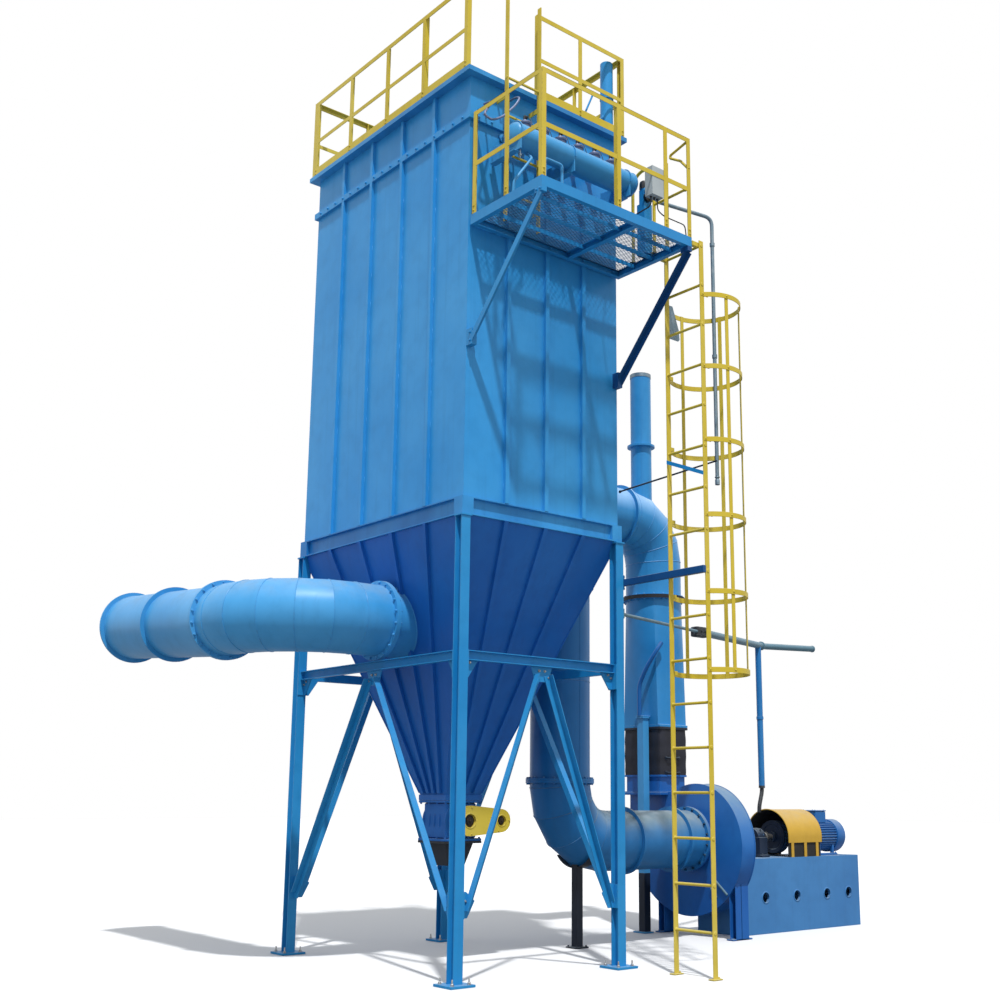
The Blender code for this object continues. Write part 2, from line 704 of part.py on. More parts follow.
def brace(name, material, foot, apex, way, outward):
    """An angle from the foot of a leg up to the middle of the tie, with its gusset at the leg."""
    depth = outward * (GUSSET_THICKNESS + GAP * 2 - TIE_WIDTH / 2)
    low = foot + Z * BRACE_FOOT + way * 0.04 + depth
    high = apex + Z * (TIE_HEIGHT - TIE_DEPTH - BRACE_DROP) + depth
    along = (high - low).normalized()
    across = along.cross(outward).normalized()
    if across.dot(way) < 0:
        across = -across
    arm = angle_bar(low, high, BRACE_SIDE, BRACE_THICKNESS, across, outward)
    e, t = FOOT_GUSSET, GUSSET_THICKNESS
    corner = foot + Z * (BRACE_FOOT - e * 0.4) + depth
    ear = [(0, 0), (e * 0.5, 0), (e, e * 0.9), (e * 0.4, e * 1.4), (0, e * 1.4)]
    plate = end_plate(foot + Z * corner.z, e * 1.4, way, outward)
    node(name, material, [arm, prism(ear, corner, corner + outward * t * 0.7, way, Z), plate])


def end_plate(low, height, way, outward):
    """The plate that carries a tie or a brace on the faces of its leg."""
    half = LEG_SIDE / 2
    outline = ((0, -half), (END_PLATE, -half), (END_PLATE, half), (0, half))
    return prism(outline, low, low + Z * height, way, outward)


def inlet():
    blue = paint("inlet_blue", (0.10, 0.36, 0.66), 0.4)
    y, z, x0 = D / 2, INLET_HEIGHT, INLET_FLANGE_X
    r, wall = INLET_RADIUS, INLET_WALL
    node("hopper_inlet", blue, [inlet_stub(r, wall, x0)], smooth=True)
    straight = INLET_BEFORE_BEND
    bend = x0 - straight - INLET_RUN_X
    path = [Vector((x0 - GAP, y, z))]
    path += arc_path((x0 - straight, y + bend, z), bend, 0, math.pi / 2, INLET_GORES, -Y, -X)
    top = Vector((INLET_RUN_X, y + bend + INLET_STRAIGHT, z))
    path.append(top)
    elbow = duct(path, r, wall, ((0, 0), (len(path) - 2, END)))
    node("inlet_elbow", blue, [elbow], smooth=True)
    begin, end = top + Y * GAP, Vector((INLET_RUN_X, INLET_END_Y, z + INLET_RISE))
    kink, last = begin + Y * 0.10, end - Y * 0.06
    middle = (last - kink).length / 2
    run = duct([begin, kink, last, end], r, wall, ((0, 0), (1, middle), (2, END)))
    node("inlet_run", blue, [run], smooth=True)


def inlet_stub(radius, wall, x_end):
    """The short pipe from its flange to the hopper, with its far end cut to the sloping wall."""
    bm = bmesh.new()
    lean = (W - OUTLET_SIDE) / 2 / (BEAM_BOTTOM - OUTLET_HEIGHT)
    proud, t = radius + FLANGE_PROUD, FLANGE_THICKNESS
    stations = ((proud, 0), (proud, t), (radius, t), (radius, None), (radius - wall, None), (radius - wall, 0))
    loops = []
    for r, x in stations:
        loop = []
        for p in ring_points(Vector((x_end, D / 2, INLET_HEIGHT)), Y, Z, r, DUCT_SIDES):
            slope = (BEAM_BOTTOM - p.z) * lean - GAP * 3
            here = x_end + x if x is not None else max(slope, x_end + t + SINK)
            loop.append(bm.verts.new((here, p.y, p.z)))
        loops.append(loop)
    for a, b in zip(loops, loops[1:] + loops[:1]):
        band(bm, a, b)
    return piece(bm)


def valve():
    iron = paint("valve_blue", (0.04, 0.20, 0.48), 0.45)
    centre = Vector((W / 2, D / 2, 0))
    top, low = OUTLET_HEIGHT - GAP, OUTLET_HEIGHT - VALVE_HEIGHT
    f, middle = VALVE_FLANGE_SIDE / 2, (top + low) / 2
    half = VALVE_LENGTH / 2
    pieces = [cylinder(centre - Y * half + Z * middle, centre + Y * half + Z * middle, VALVE_RADIUS, 20)]
    for z0, z1 in ((top - VALVE_FLANGE, top), (low, low + VALVE_FLANGE)):
        pieces.append(box((centre.x - f, centre.y - f, z0), (centre.x + f, centre.y + f, z1)))
    neck = OUTLET_SIDE / 2 - 0.01
    pieces.append(box((centre.x - neck, centre.y - neck, low + SINK), (centre.x + neck, centre.y + neck, top - SINK)))
    for way in (-1, 1):
        cover = centre + Y * way * (half - SINK) + Z * middle
        pieces.append(cylinder(cover, cover + Y * way * (VALVE_COVER + SINK), VALVE_COVER_RADIUS, 16))
    node("rotary_valve", iron, pieces)
    dark = paint("spout_dark", (0.03, 0.04, 0.05), 0.55)
    a, b = SPOUT_TOP_SIDE / 2, SPOUT_BOTTOM_SIDE / 2
    z = low - GAP
    def funnel(shrink, extra):
        stations = ((a - shrink, z - 0.02 + extra), (b - shrink, z - SPOUT_HEIGHT - extra))
        return loft([square_ring(centre.x - s, centre.x + s, centre.y - s, centre.y + s, h) for s, h in stations])
    lip = box((centre.x - f, centre.y - f, z - 0.022), (centre.x + f, centre.y + f, z))
    node("discharge_spout", dark, [funnel(0, 0), lip], [funnel(SPOUT_WALL, 0.03)])
    drive(centre, middle, -(half + VALVE_COVER))


def drive(centre, z, face):
    """The chain guard over the two sprockets, and the gear motor above it."""
    yellow = paint("guard_yellow", (0.62, 0.42, 0.03), 0.4)
    y1 = centre.y + face - 0.02
    y0 = y1 - GUARD_THICKNESS
    left = Vector((centre.x, y0, z))
    right = left + X * GUARD_PITCH
    turn = math.asin((GUARD_LARGE_RADIUS - GUARD_SMALL_RADIUS) / GUARD_PITCH)
    outline = []
    for c, r, start, end in (
        (left, GUARD_LARGE_RADIUS, math.pi / 2 - turn, math.pi * 1.5 + turn),
        (right, GUARD_SMALL_RADIUS, -math.pi / 2 + turn, math.pi / 2 - turn),
    ):
        for p in arc_path(c, r, start, end, 9, X, Z):
            outline.append((p.x - left.x, p.z - left.z))
    body = prism(outline, left, left + Y * GUARD_THICKNESS, X, Z)
    recesses = [cylinder(c - Y * 0.01, c + Y * GUARD_RECESS, r, 14) for c, r in ((left, 0.07), (right, 0.055))]
    shaft = cylinder(left + Y * (GUARD_THICKNESS - SINK), left + Y * (GUARD_THICKNESS + 0.02 - GAP), 0.03, 10)
    node("chain_guard", yellow, [body, shaft], recesses)
    grey = paint("motor_grey", (0.45, 0.50, 0.52), 0.4, 0.3)
    back = y1 + GAP
    g = GEARBOX_SIDE / 2
    gear = box((right.x - g, back, z - g), (right.x + g, back + GEARBOX_SIDE, z + g))
    start = Vector((right.x, back + GEARBOX_SIDE - SINK, z))
    motor = cylinder(start, start + Y * MOTOR_LENGTH, MOTOR_RADIUS, 16)
    cowl = cylinder(start + Y * (MOTOR_LENGTH - SINK), start + Y * (MOTOR_LENGTH + 0.05), MOTOR_RADIUS * 1.06, 16)
    plate = box((right.x - g, back, z + g - SINK), (right.x + g, back + GEARBOX_SIDE + MOTOR_LENGTH, z + g + 0.012))
    reach = centre.x + VALVE_FLANGE_SIDE / 2 + GAP
    arm = box((reach, back, z + g - SINK), (right.x, back + 0.12, z + g + 0.012))
    lug = box((reach, back, z - g), (reach + 0.012, back + 0.12, z + g + SINK))
    node("gear_motor", grey, [gear, motor, cowl, plate, arm, lug])


def platform():
    blue = paint("platform_blue", (0.08, 0.32, 0.62), 0.42)
    low = PLATFORM_TOP - PLATFORM_EDGE
    y0, y1 = -PLATFORM_REACH, -RIB_DEPTH - GAP
    t = 0.008
    c = PLATFORM_CHANNEL
    pieces = [
        channel_bar((0, y0, low), (W, y0, low), PLATFORM_EDGE, c, t, Y, Z),
        channel_bar((0, y1, low), (W, y1, low), PLATFORM_EDGE, c, t, -Y, Z),
        channel_bar((0, y0, low), (0, y1, low), PLATFORM_EDGE, c, t, X, Z),
        channel_bar((W, y0, low), (W, y1, low), PLATFORM_EDGE, c, t, -X, Z),
    ]
    h, beam = FLOOR_BAR_HEIGHT, FLOOR_BEAM_X
    top = PLATFORM_TOP - GRATING_THICKNESS
    for i in range(1, FLOOR_BARS):
        y = y0 + (y1 - y0) * i / FLOOR_BARS
        pieces.append(angle_bar((t - SINK, y, top), (W - t + SINK, y, top), h, FLOOR_BAR_THICKNESS, -Z, Y))
    pieces.append(channel_bar((beam, y0 + SINK, low), (beam, y1 - SINK, low), top - low, c, t, -X, Z))
    node("platform_frame", blue, pieces, [box((t + 0.001, y0 + t + 0.001, top), (W - t - 0.001, y1 - t - 0.001, PLATFORM_TOP + 1))])
    steel = paint("grating_blue", (0.05, 0.18, 0.36), 0.5)
    inset = t + 0.0015
    sheet = box((inset, y0 + inset, top + GAP), (W - inset, y1 - inset, PLATFORM_TOP))
    node("platform_grating", steel, [sheet])
    for name, x, side in (("knee_brace_left", 0.0, 1), ("knee_brace_right", W, -1)):
        knee(name, blue, x, side)


def knee(name, material, x, side):
    """An angle from the platform's outer edge down to a lug on the housing's front wall."""
    low = PLATFORM_TOP - PLATFORM_EDGE - GAP
    top = Vector((x, -PLATFORM_REACH + 0.02, low))
    foot = Vector((x, -RIB_DEPTH, KNEE_HEIGHT))
    along = (top - foot).normalized()
    across = along.cross(X).normalized() * -1
    arm = angle_bar(foot, top - along * KNEE_PAD_DEPTH * 0.9, KNEE_SIDE, KNEE_THICKNESS, across, X * side)
    x0, x1 = sorted((x, x + side * KNEE_SIDE))
    pad = box((x0, -PLATFORM_REACH, low - KNEE_PAD_DEPTH), (x1, KNEE_PAD_LENGTH - PLATFORM_REACH, low))
    reach = -RIB_DEPTH - KNEE_PAD_DEPTH
    lug = box((x0, reach, KNEE_HEIGHT - KNEE_LUG_BELOW), (x1, -GAP, KNEE_HEIGHT + KNEE_LUG_ABOVE))
    node(name, material, [arm, pad, lug])


def flat_railing(name, material, start, end, base, height, mid, posts, inward, extra=()):
    """A flat run of railing: angle posts at the given shares, a top and a middle rail and a toe board."""
    toe = TOE_BOARD
    start, end = Vector(start), Vector(end)
    along = (end - start).normalized()
    pieces = []
    for share in posts:
        foot = start.lerp(end, share)
        way = along if share < 0.5 else -along
        foot = foot + Z * base
        pieces.append(angle_bar(foot, foot + Z * height, POST_SIDE, POST_THICKNESS, way, inward))
    for z, tall in ((base + height, RAIL_SIDE), (base + mid, RAIL_SIDE)):
        a, b = start + Z * (z - tall), end + Z * (z - tall)
        pieces.append(prism(((0, 0), (POST_THICKNESS, 0), (POST_THICKNESS, tall), (0, tall)), a, b, inward, Z))
    a, b = start + Z * base, end + Z * base
    pieces.append(prism(((0, 0), (POST_THICKNESS, 0), (POST_THICKNESS, toe), (0, toe)), a, b, inward, Z))
    lip = ((0, 0), (RAIL_SIDE, 0), (RAIL_SIDE, POST_THICKNESS), (0, POST_THICKNESS))
    cap = prism(lip, start + Z * (base + height), end + Z * (base + height), inward, Z)
    node(name, material, [*pieces, cap, *extra])


def ladder_gate(material, base):
    """The platform's right end: a pipe arch beside the wall, and the drop bar across the ladder's way with the
    post that it closes on. Places along Y are measured from the platform's outer edge."""
    edge, x = -PLATFORM_REACH, W - DROP_BAR_RADIUS
    near, far = edge + ARCH_NEAR, edge + ARCH_FAR
    half, foot = (far - near) / 2, Vector((x, near, base))
    crown = Vector((x, near + half, base + ARCH_RISE - half))
    path = [foot, *arc_path(crown, half, math.pi, 0, 6, Y, Z), Vector((x, far, base))]
    level = base + MID_RAIL
    bar_start = Vector((x, edge + POST_SIDE + GAP, level))
    post, w = edge + GATE_POST, GATE_POST_WIDTH / 2
    pieces = [
        duct(path, ARCH_RADIUS, sides=8, up=X),
        duct([bar_start, Vector((x, near, level))], DROP_BAR_RADIUS, sides=6),
        box((x - POST_THICKNESS, post - w, base), (x + POST_THICKNESS, post + w, base + GATE_POST_RISE)),
    ]
    for y in (near, far, post):
        plate = POST_SIDE / 2
        pieces.append(box((W - POST_SIDE, y - plate, base), (W, y + plate, base + POST_THICKNESS)))
    node("right_railing", material, pieces)


def railings():
    yellow = paint("railing_yellow", (0.68, 0.46, 0.04), 0.42)
    base = PLATFORM_TOP + GAP
    y0 = -PLATFORM_REACH
    t = POST_SIDE + GAP * 4
    near, wall = y0 + t, -RIB_DEPTH - 0.02
    grip = [Vector((W - POST_SIDE / 2, y0 + along, base + up)) for along, up in HAND_HOLD]
    hold = [duct(grip, DROP_BAR_RADIUS, sides=6, up=X)]
    front = (base, RAIL_HEIGHT, MID_RAIL, FRONT_POSTS, Y, hold)
    flat_railing("front_railing", yellow, (0, y0, 0), (W, y0, 0), *front)
    flat_railing("left_railing", yellow, (0, near, 0), (0, wall, 0), base, RAIL_HEIGHT, MID_RAIL, (0, 0.5, 1), X)
    ladder_gate(yellow, base)
    o, r = ROOF_OVERHANG - 0.02, ROOF_HEIGHT + GAP
    low = -o + t
    args = (r, ROOF_RAIL_HEIGHT, ROOF_MID_RAIL, (0, 0.5, 1))
    back = (r, ROOF_RAIL_HEIGHT, ROOF_MID_RAIL, (0, 0.333, 0.667, 1))
    gap_right = ROOF_LADDER_LEFT + ROOF_LADDER_WIDTH + 0.05
    flat_railing("roof_railing_front", yellow, (gap_right, -o, 0), (W + o, -o, 0), *args, Y)
    flat_railing("roof_railing_back", yellow, (-o, D + o, 0), (W + o, D + o, 0), *back, -Y)
    side = (r, ROOF_RAIL_HEIGHT, ROOF_MID_RAIL, (0, 0.25, 0.5, 0.75, 1))
    flat_railing("roof_railing_left", yellow, (-o, low, 0), (-o, D + o - t, 0), *side, X)
    flat_railing("roof_railing_right", yellow, (W + o, low, 0), (W + o, D + o - t, 0), *side, -X)


def header():
    blue = paint("header_blue", (0.10, 0.35, 0.62), 0.35)
    y, z = HEADER_Y, HEADER_Z
    length = HEADER_RIGHT - HEADER_LEFT
    d, r = HEADER_END_DOME, HEADER_RADIUS
    profile = [(0, 0)] + [(d * (1 - math.cos(a)), r * math.sin(a)) for a in (math.pi * k / 8 for k in range(1, 5))]
    profile += [(length - p, q) for p, q in reversed(profile)]
    pieces = [turned(profile, Vector((HEADER_LEFT, y, z)), X, 22)]
    wall = -RIB_DEPTH - GAP
    for i in range(VALVE_COUNT):
        x = VALVE_FIRST + i * VALVE_PITCH
        base = z + r * 0.96
        pieces.append(cylinder((x, y, base - 0.02), (x, y, base + DIAPHRAGM_HEIGHT), DIAPHRAGM_RADIUS, 10))
        top = base + DIAPHRAGM_HEIGHT
        pieces.append(cylinder((x, y, top - SINK), (x, y, top + BONNET_HEIGHT), BONNET_RADIUS, 8))
        crown = top + BONNET_HEIGHT
        pieces.append(cylinder((x, y, crown - SINK), (x, y, crown + SOLENOID_HEIGHT), SOLENOID_RADIUS, 6))
        level = base + DIAPHRAGM_HEIGHT * 0.5
        pieces.append(cylinder((x, y, level), (x, -GAP, level), BLOW_PIPE_RADIUS, 8))
        collar = y + 0.15
        pieces.append(cylinder((x, collar, level), (x, collar + UNION_LENGTH, level), UNION_RADIUS, 8))
    for x in SADDLES:
        s = SADDLE_THICKNESS / 2
        plate = [(-r * 0.9, -0.02), (-r * 0.9, -r * 1.4), (-y + wall, -r * 1.4), (-y + wall, 0.02)]
        pieces.append(prism(plate, (x - s, y, z), (x + s, y, z), Y, Z))
    node("air_header", blue, pieces)
    grey = paint("box_grey", (0.52, 0.55, 0.55), 0.45)
    w, d, h = BOX_SIZE
    post = W * FRONT_POSTS[2]
    x1, y0 = post - POST_SIDE - GAP, -PLATFORM_REACH + POST_THICKNESS + GAP
    low = PLATFORM_TOP + BOX_LOW
    body = box((x1 - w, y0, low), (x1, y0 + d, low + h))
    cover = box((x1 - w + 0.01, y0 + d - SINK, low + 0.01), (x1 - 0.01, y0 + d + 0.012, low + h - 0.01))
    node("control_box", grey, [body, cover])


def air_supply():
    """The stand with the air regulator at the platform's right end, and the pipe that comes up to it outside the
    ladder's cage, from the fourth hoop."""
    blue = paint("stand_blue", (0.07, 0.32, 0.62), 0.42)
    x, y, low = STAND_X, STAND_Y, PLATFORM_TOP + GAP
    b, s = STAND_BASE / 2, STAND_SIDE / 2
    head = low + STAND_HEIGHT
    top = head + REGULATOR_HEIGHT
    pieces = [box((x - s, y - b, low), (x + s, y + b, low + FOOT_PLATE))]
    pieces.append(box((x - s, y - s, low), (x + s, y + s, head)))
    pieces.append(box((x - s * 0.8, y - s * 0.6, head - SINK), (x + s, y + s * 0.6, top)))
    bowl = [(0, 0), (0, 0.8), (0.12, 1), (0.75, 1), (0.92, 0.8), (1, 0)]
    profile = [(a * BOWL_HEIGHT, r * BOWL_RADIUS) for a, r in bowl]
    pieces.append(turned(profile, Vector((x, y, top - SINK)), Z, 12))
    node("air_stand", blue, pieces)
    steel = paint("pipe_steel", (0.35, 0.40, 0.45), 0.35, 0.6)
    r, facet = AIR_PIPE_RADIUS, math.pi / 2 / HOOP_FACETS
    out = (LADDER_WIDTH / 2 + HOOP_THICKNESS) * math.cos(facet) + r + GAP
    turn = facet * 3
    bend = LADDER_X + LADDER_RAIL + GAP + HOOP_STRAIGHT
    corner_x = bend + math.cos(turn) * out
    corner_y = (LADDER_NEAR_Y + LADDER_FAR_Y) / 2 + math.sin(turn) * out
    level = top - REGULATOR_HEIGHT * 0.4
    start = Vector((x + s + GAP, y, level))
    corner = Vector((corner_x, corner_y, level - AIR_PIPE_FALL))
    foot = Vector((corner_x, corner_y, HOOP_FIRST + 3 * HOOP_PITCH - 2 * r))
    node("air_pipe", steel, [duct([start, start + X * r * 2, corner, foot], r, sides=8, up=Y)], smooth=True)


def main_ladder():
    """The ladder from the ground to the platform, with its stays to the platform's edge and its arm to the leg."""
    yellow = paint("ladder_yellow", (0.66, 0.44, 0.03), 0.42)
    x, near, far = LADDER_X, LADDER_NEAR_Y, LADDER_FAR_Y
    top = PLATFORM_TOP + RAIL_HEIGHT
    t = LADDER_RAIL_THICKNESS
    pieces = []
    for y in (near, far):
        pieces.append(box((x, y - t / 2, 0), (x + LADDER_RAIL, y + t / 2, top)))
    top_rung = PLATFORM_TOP - TOP_RUNG_DROP
    rungs = int((top_rung - RUNG_RADIUS * 2) / RUNG_PITCH) + 1
    for i in range(rungs):
        z = top_rung - i * RUNG_PITCH
        middle = x + LADDER_RAIL / 2
        pieces.append(cylinder((middle, near, z), (middle, far, z), RUNG_RADIUS, 6))
    foot = PLATFORM_TOP - PLATFORM_EDGE * 0.8
    half, deep = LADDER_STAY_WIDTH / 2, LADDER_STAY_DEPTH
    for y in (near + half * 1.5, far):
        pieces.append(box((W + GAP, y - half, foot), (x + half, y + half, foot + deep)))
    arm, leg = LADDER_ARM_HEIGHT, W - LEG_INSET + LEG_SIDE / 2 + GAP
    pieces.append(box((leg, near - t, arm), (x + SINK, LEG_INSET + LEG_SIDE / 2, arm + LADDER_ARM_DEPTH)))
    node("main_ladder", yellow, pieces)
    cage(yellow)


def roof_ladder():
    """The short ladder from the platform up the front wall to the roof, behind the header."""
    left, w, y, t = ROOF_LADDER_LEFT, ROOF_LADDER_WIDTH, ROOF_LADDER_Y, LADDER_RAIL_THICKNESS
    low, high = PLATFORM_TOP + GAP, ROOF_HEIGHT + ROOF_RAIL_HEIGHT
    yellow = paint("roof_ladder_yellow", (0.60, 0.42, 0.06), 0.45)
    rail = ROOF_LADDER_RAIL
    pieces = [box((sx - t / 2, y - rail, low), (sx + t / 2, y, high)) for sx in (left, left + w)]
    for sx in (left, left + w):
        for z in ROOF_LADDER_STAYS:
            pieces.append(box((sx - t / 2, y - SINK, z), (sx + t / 2, -GAP, z + LADDER_STAY_DEPTH)))
    count = int((ROOF_HEIGHT - low - ROOF_RUNG_CLEAR) / RUNG_PITCH) + 1
    for i in range(count):
        z = low + ROOF_RUNG_FIRST + i * RUNG_PITCH
        pieces.append(cylinder((left, y - rail / 2, z), (left + w, y - rail / 2, z), RUNG_RADIUS, 6))
    node("roof_ladder", yellow, pieces)


def cage(material):
    """The hoops and straps round the climber, carried on the ladder's rails."""
    x = LADDER_X + LADDER_RAIL + GAP
    near, far = LADDER_NEAR_Y, LADDER_FAR_Y
    middle, radius = (near + far) / 2, (far - near) / 2
    bend = x + HOOP_STRAIGHT
    t, w = HOOP_THICKNESS, HOOP_WIDTH
    def outline(r):
        arc = arc_path((bend, middle, 0), r, -math.pi / 2, math.pi / 2, HOOP_FACETS, X, Y)
        return [Vector((x, middle - r, 0)), *arc, Vector((x, middle + r, 0))]
    outer, inner = outline(radius + t), outline(radius)
    ring = [(p.x, p.y) for p in outer + inner[::-1]]
    pieces = []
    for i in range(HOOP_COUNT):
        z = HOOP_FIRST + i * HOOP_PITCH
        pieces.append(prism(ring, (0, 0, z), (0, 0, z + w), X, Y))
    low, high = HOOP_FIRST, HOOP_FIRST + (HOOP_COUNT - 1) * HOOP_PITCH + w
    for a in (-math.pi / 2, -0.4, 0.5, math.pi / 2):
        out = Vector((math.cos(a), math.sin(a), 0))
        side = Vector((-out.y, out.x, 0)) * STRAP_WIDTH / 2
        mid = Vector((bend, middle, 0)) + out * (radius - t * 0.2)
        face = [mid - side, mid + side, mid + side - out * t, mid - side - out * t]
        pieces.append(prism([(p.x, p.y) for p in face], (0, 0, low), (0, 0, high), X, Y))
    node("ladder_cage", material, pieces)


def suction():
    blue = paint("suction_blue", (0.04, 0.22, 0.52), 0.4)
    r, y = SUCTION_RADIUS, FAN_Y
    x, bend = SUCTION_X, SUCTION_BEND
    low = FAN_AXIS + bend + RISER_JOINT
    rings = [(0, 0), (0, END)] + [(0, h - low) for h in RISER_RINGS]
    riser = duct([(x, y, low + GAP), (x, y, SUCTION_TOP)], r, 0, rings, up=Y)
    node("suction_riser", blue, [riser], smooth=True)
    w = TOP_BOX_WIDTH / 2
    x0, x1 = W + RIB_DEPTH + GAP, x + r + TOP_BOX_PROUD
    circle = ring_points(Vector((x, y, SUCTION_TOP + GAP)), X, Y, r, DUCT_SIDES)
    square = []
    for p in circle:
        a = math.atan2(p.y - y, p.x - x)
        reach = 1 / max(abs(math.cos(a)), abs(math.sin(a)))
        square.append(Vector((x + math.cos(a) * reach * (x1 - x), y + math.sin(a) * reach * (r + TOP_BOX_PROUD), TOP_BOX_FLOOR)))
    taper = loft([circle, square])
    top = box((x0, y - w, TOP_BOX_FLOOR - SINK), (x1, y + w, TOP_BOX_ROOF))
    node("plenum_outlet_box", blue, [top, taper])
    path = [Vector((x, y, low - GAP))]
    path += arc_path((x + bend, y, FAN_AXIS + bend), bend, 0, math.pi / 2, SUCTION_GORES, -X, -Z)
    path.append(Vector((FAN_INLET_X, y, FAN_AXIS)))
    last = len(path) - 2
    rings = [(0, 0), (last, END)] + [(last, fx - path[-2].x) for fx in RUN_RINGS]
    run = duct(path, r, 0, rings, up=Y)
    s, px = SUPPORT_SIDE / 2, SUPPORT_X
    post = box((px - s, y - s, 0), (px + s, y + s, FAN_AXIS - r + SUPPORT_RISE))
    foot = box((px - s * 2, y - s * 2, 0), (px + s * 2, y + s * 2, FOOT_PLATE))
    node("suction_elbow", blue, [run, post, foot], smooth=True)


def fan():
    blue = paint("fan_blue", (0.08, 0.32, 0.62), 0.4)
    y, z = FAN_Y, FAN_AXIS
    x0, x1 = FAN_FACE, FAN_FACE + FAN_WIDTH
    outline = []
    steps = 24
    for i in range(steps + 1):
        share = i / steps
        a = math.radians(CUTOFF_ANGLE + (360 - CUTOFF_ANGLE) * share)
        radius = FAN_RADIUS + SCROLL_GROWTH * share ** SCROLL_RISE
        outline.append((math.cos(a) * radius, math.sin(a) * radius))
    outer_y = FAN_RADIUS + SCROLL_GROWTH
    outline.append((outer_y, JOINT_BOTTOM - z - GAP))
    outline.append((outer_y - OUTLET_Y_SIDE - CUTOFF_LIP, JOINT_BOTTOM - z - GAP))
    scroll = prism(outline, (x0, y, z), (x1, y, z), Y, Z)
    pieces = [scroll]
    grown = []
    for a, b in outline:
        length = math.hypot(a, b)
        grown.append((a * (1 + FAN_RIM / length), b * (1 + FAN_RIM / length) if b < JOINT_BOTTOM - z - 0.05 else b))
    for e0 in (x0, x1 - FAN_RIM_THICKNESS):
        pieces.append(prism(grown, (e0, y, z), (e0 + FAN_RIM_THICKNESS, y, z), Y, Z))
    r = SUCTION_RADIUS
    mouth = FAN_INLET_X + GAP
    t, deep = FLANGE_THICKNESS, x0 + SINK - mouth
    cone = [(0, 0), (0, r + FLANGE_PROUD), (t, r + FLANGE_PROUD), (t, r), (deep, r * 0.86), (deep, 0)]
    pieces.append(turned(cone, Vector((mouth, y, z)), X, DUCT_SIDES))
    fx, fy, lip = OUTLET_X_SIDE / 2, OUTLET_Y_SIDE / 2, OUTLET_LIP
    centre = Vector(((x0 + x1) / 2, y + outer_y - fy, 0))
    top = JOINT_BOTTOM - GAP
    pieces.append(box((centre.x - fx, centre.y - fy - lip, top - lip), (centre.x + fx, centre.y + fy + lip, top)))
    hub = cylinder((x1 - SINK, y, z), (x1 + HUB_PROUD, y, z), HUB_RADIUS, 16)
    pieces.append(hub)
    feet = []
    for fy in (y - FAN_FOOT_Y - FAN_FOOT_SIDE, y + FAN_FOOT_Y):
        low, high = fy - BASE_PROUD, fy + FAN_FOOT_SIDE + BASE_PROUD
        feet.append(box((x0 + 0.01, fy, 0), (x1 - 0.01, fy + FAN_FOOT_SIDE, FAN_FOOT_TOP)))
        feet.append(box((x0 - BASE_PROUD, low, 0), (x1 + BASE_PROUD, high, FOOT_PLATE)))
    node("fan_casing", blue, pieces + feet)
    return centre


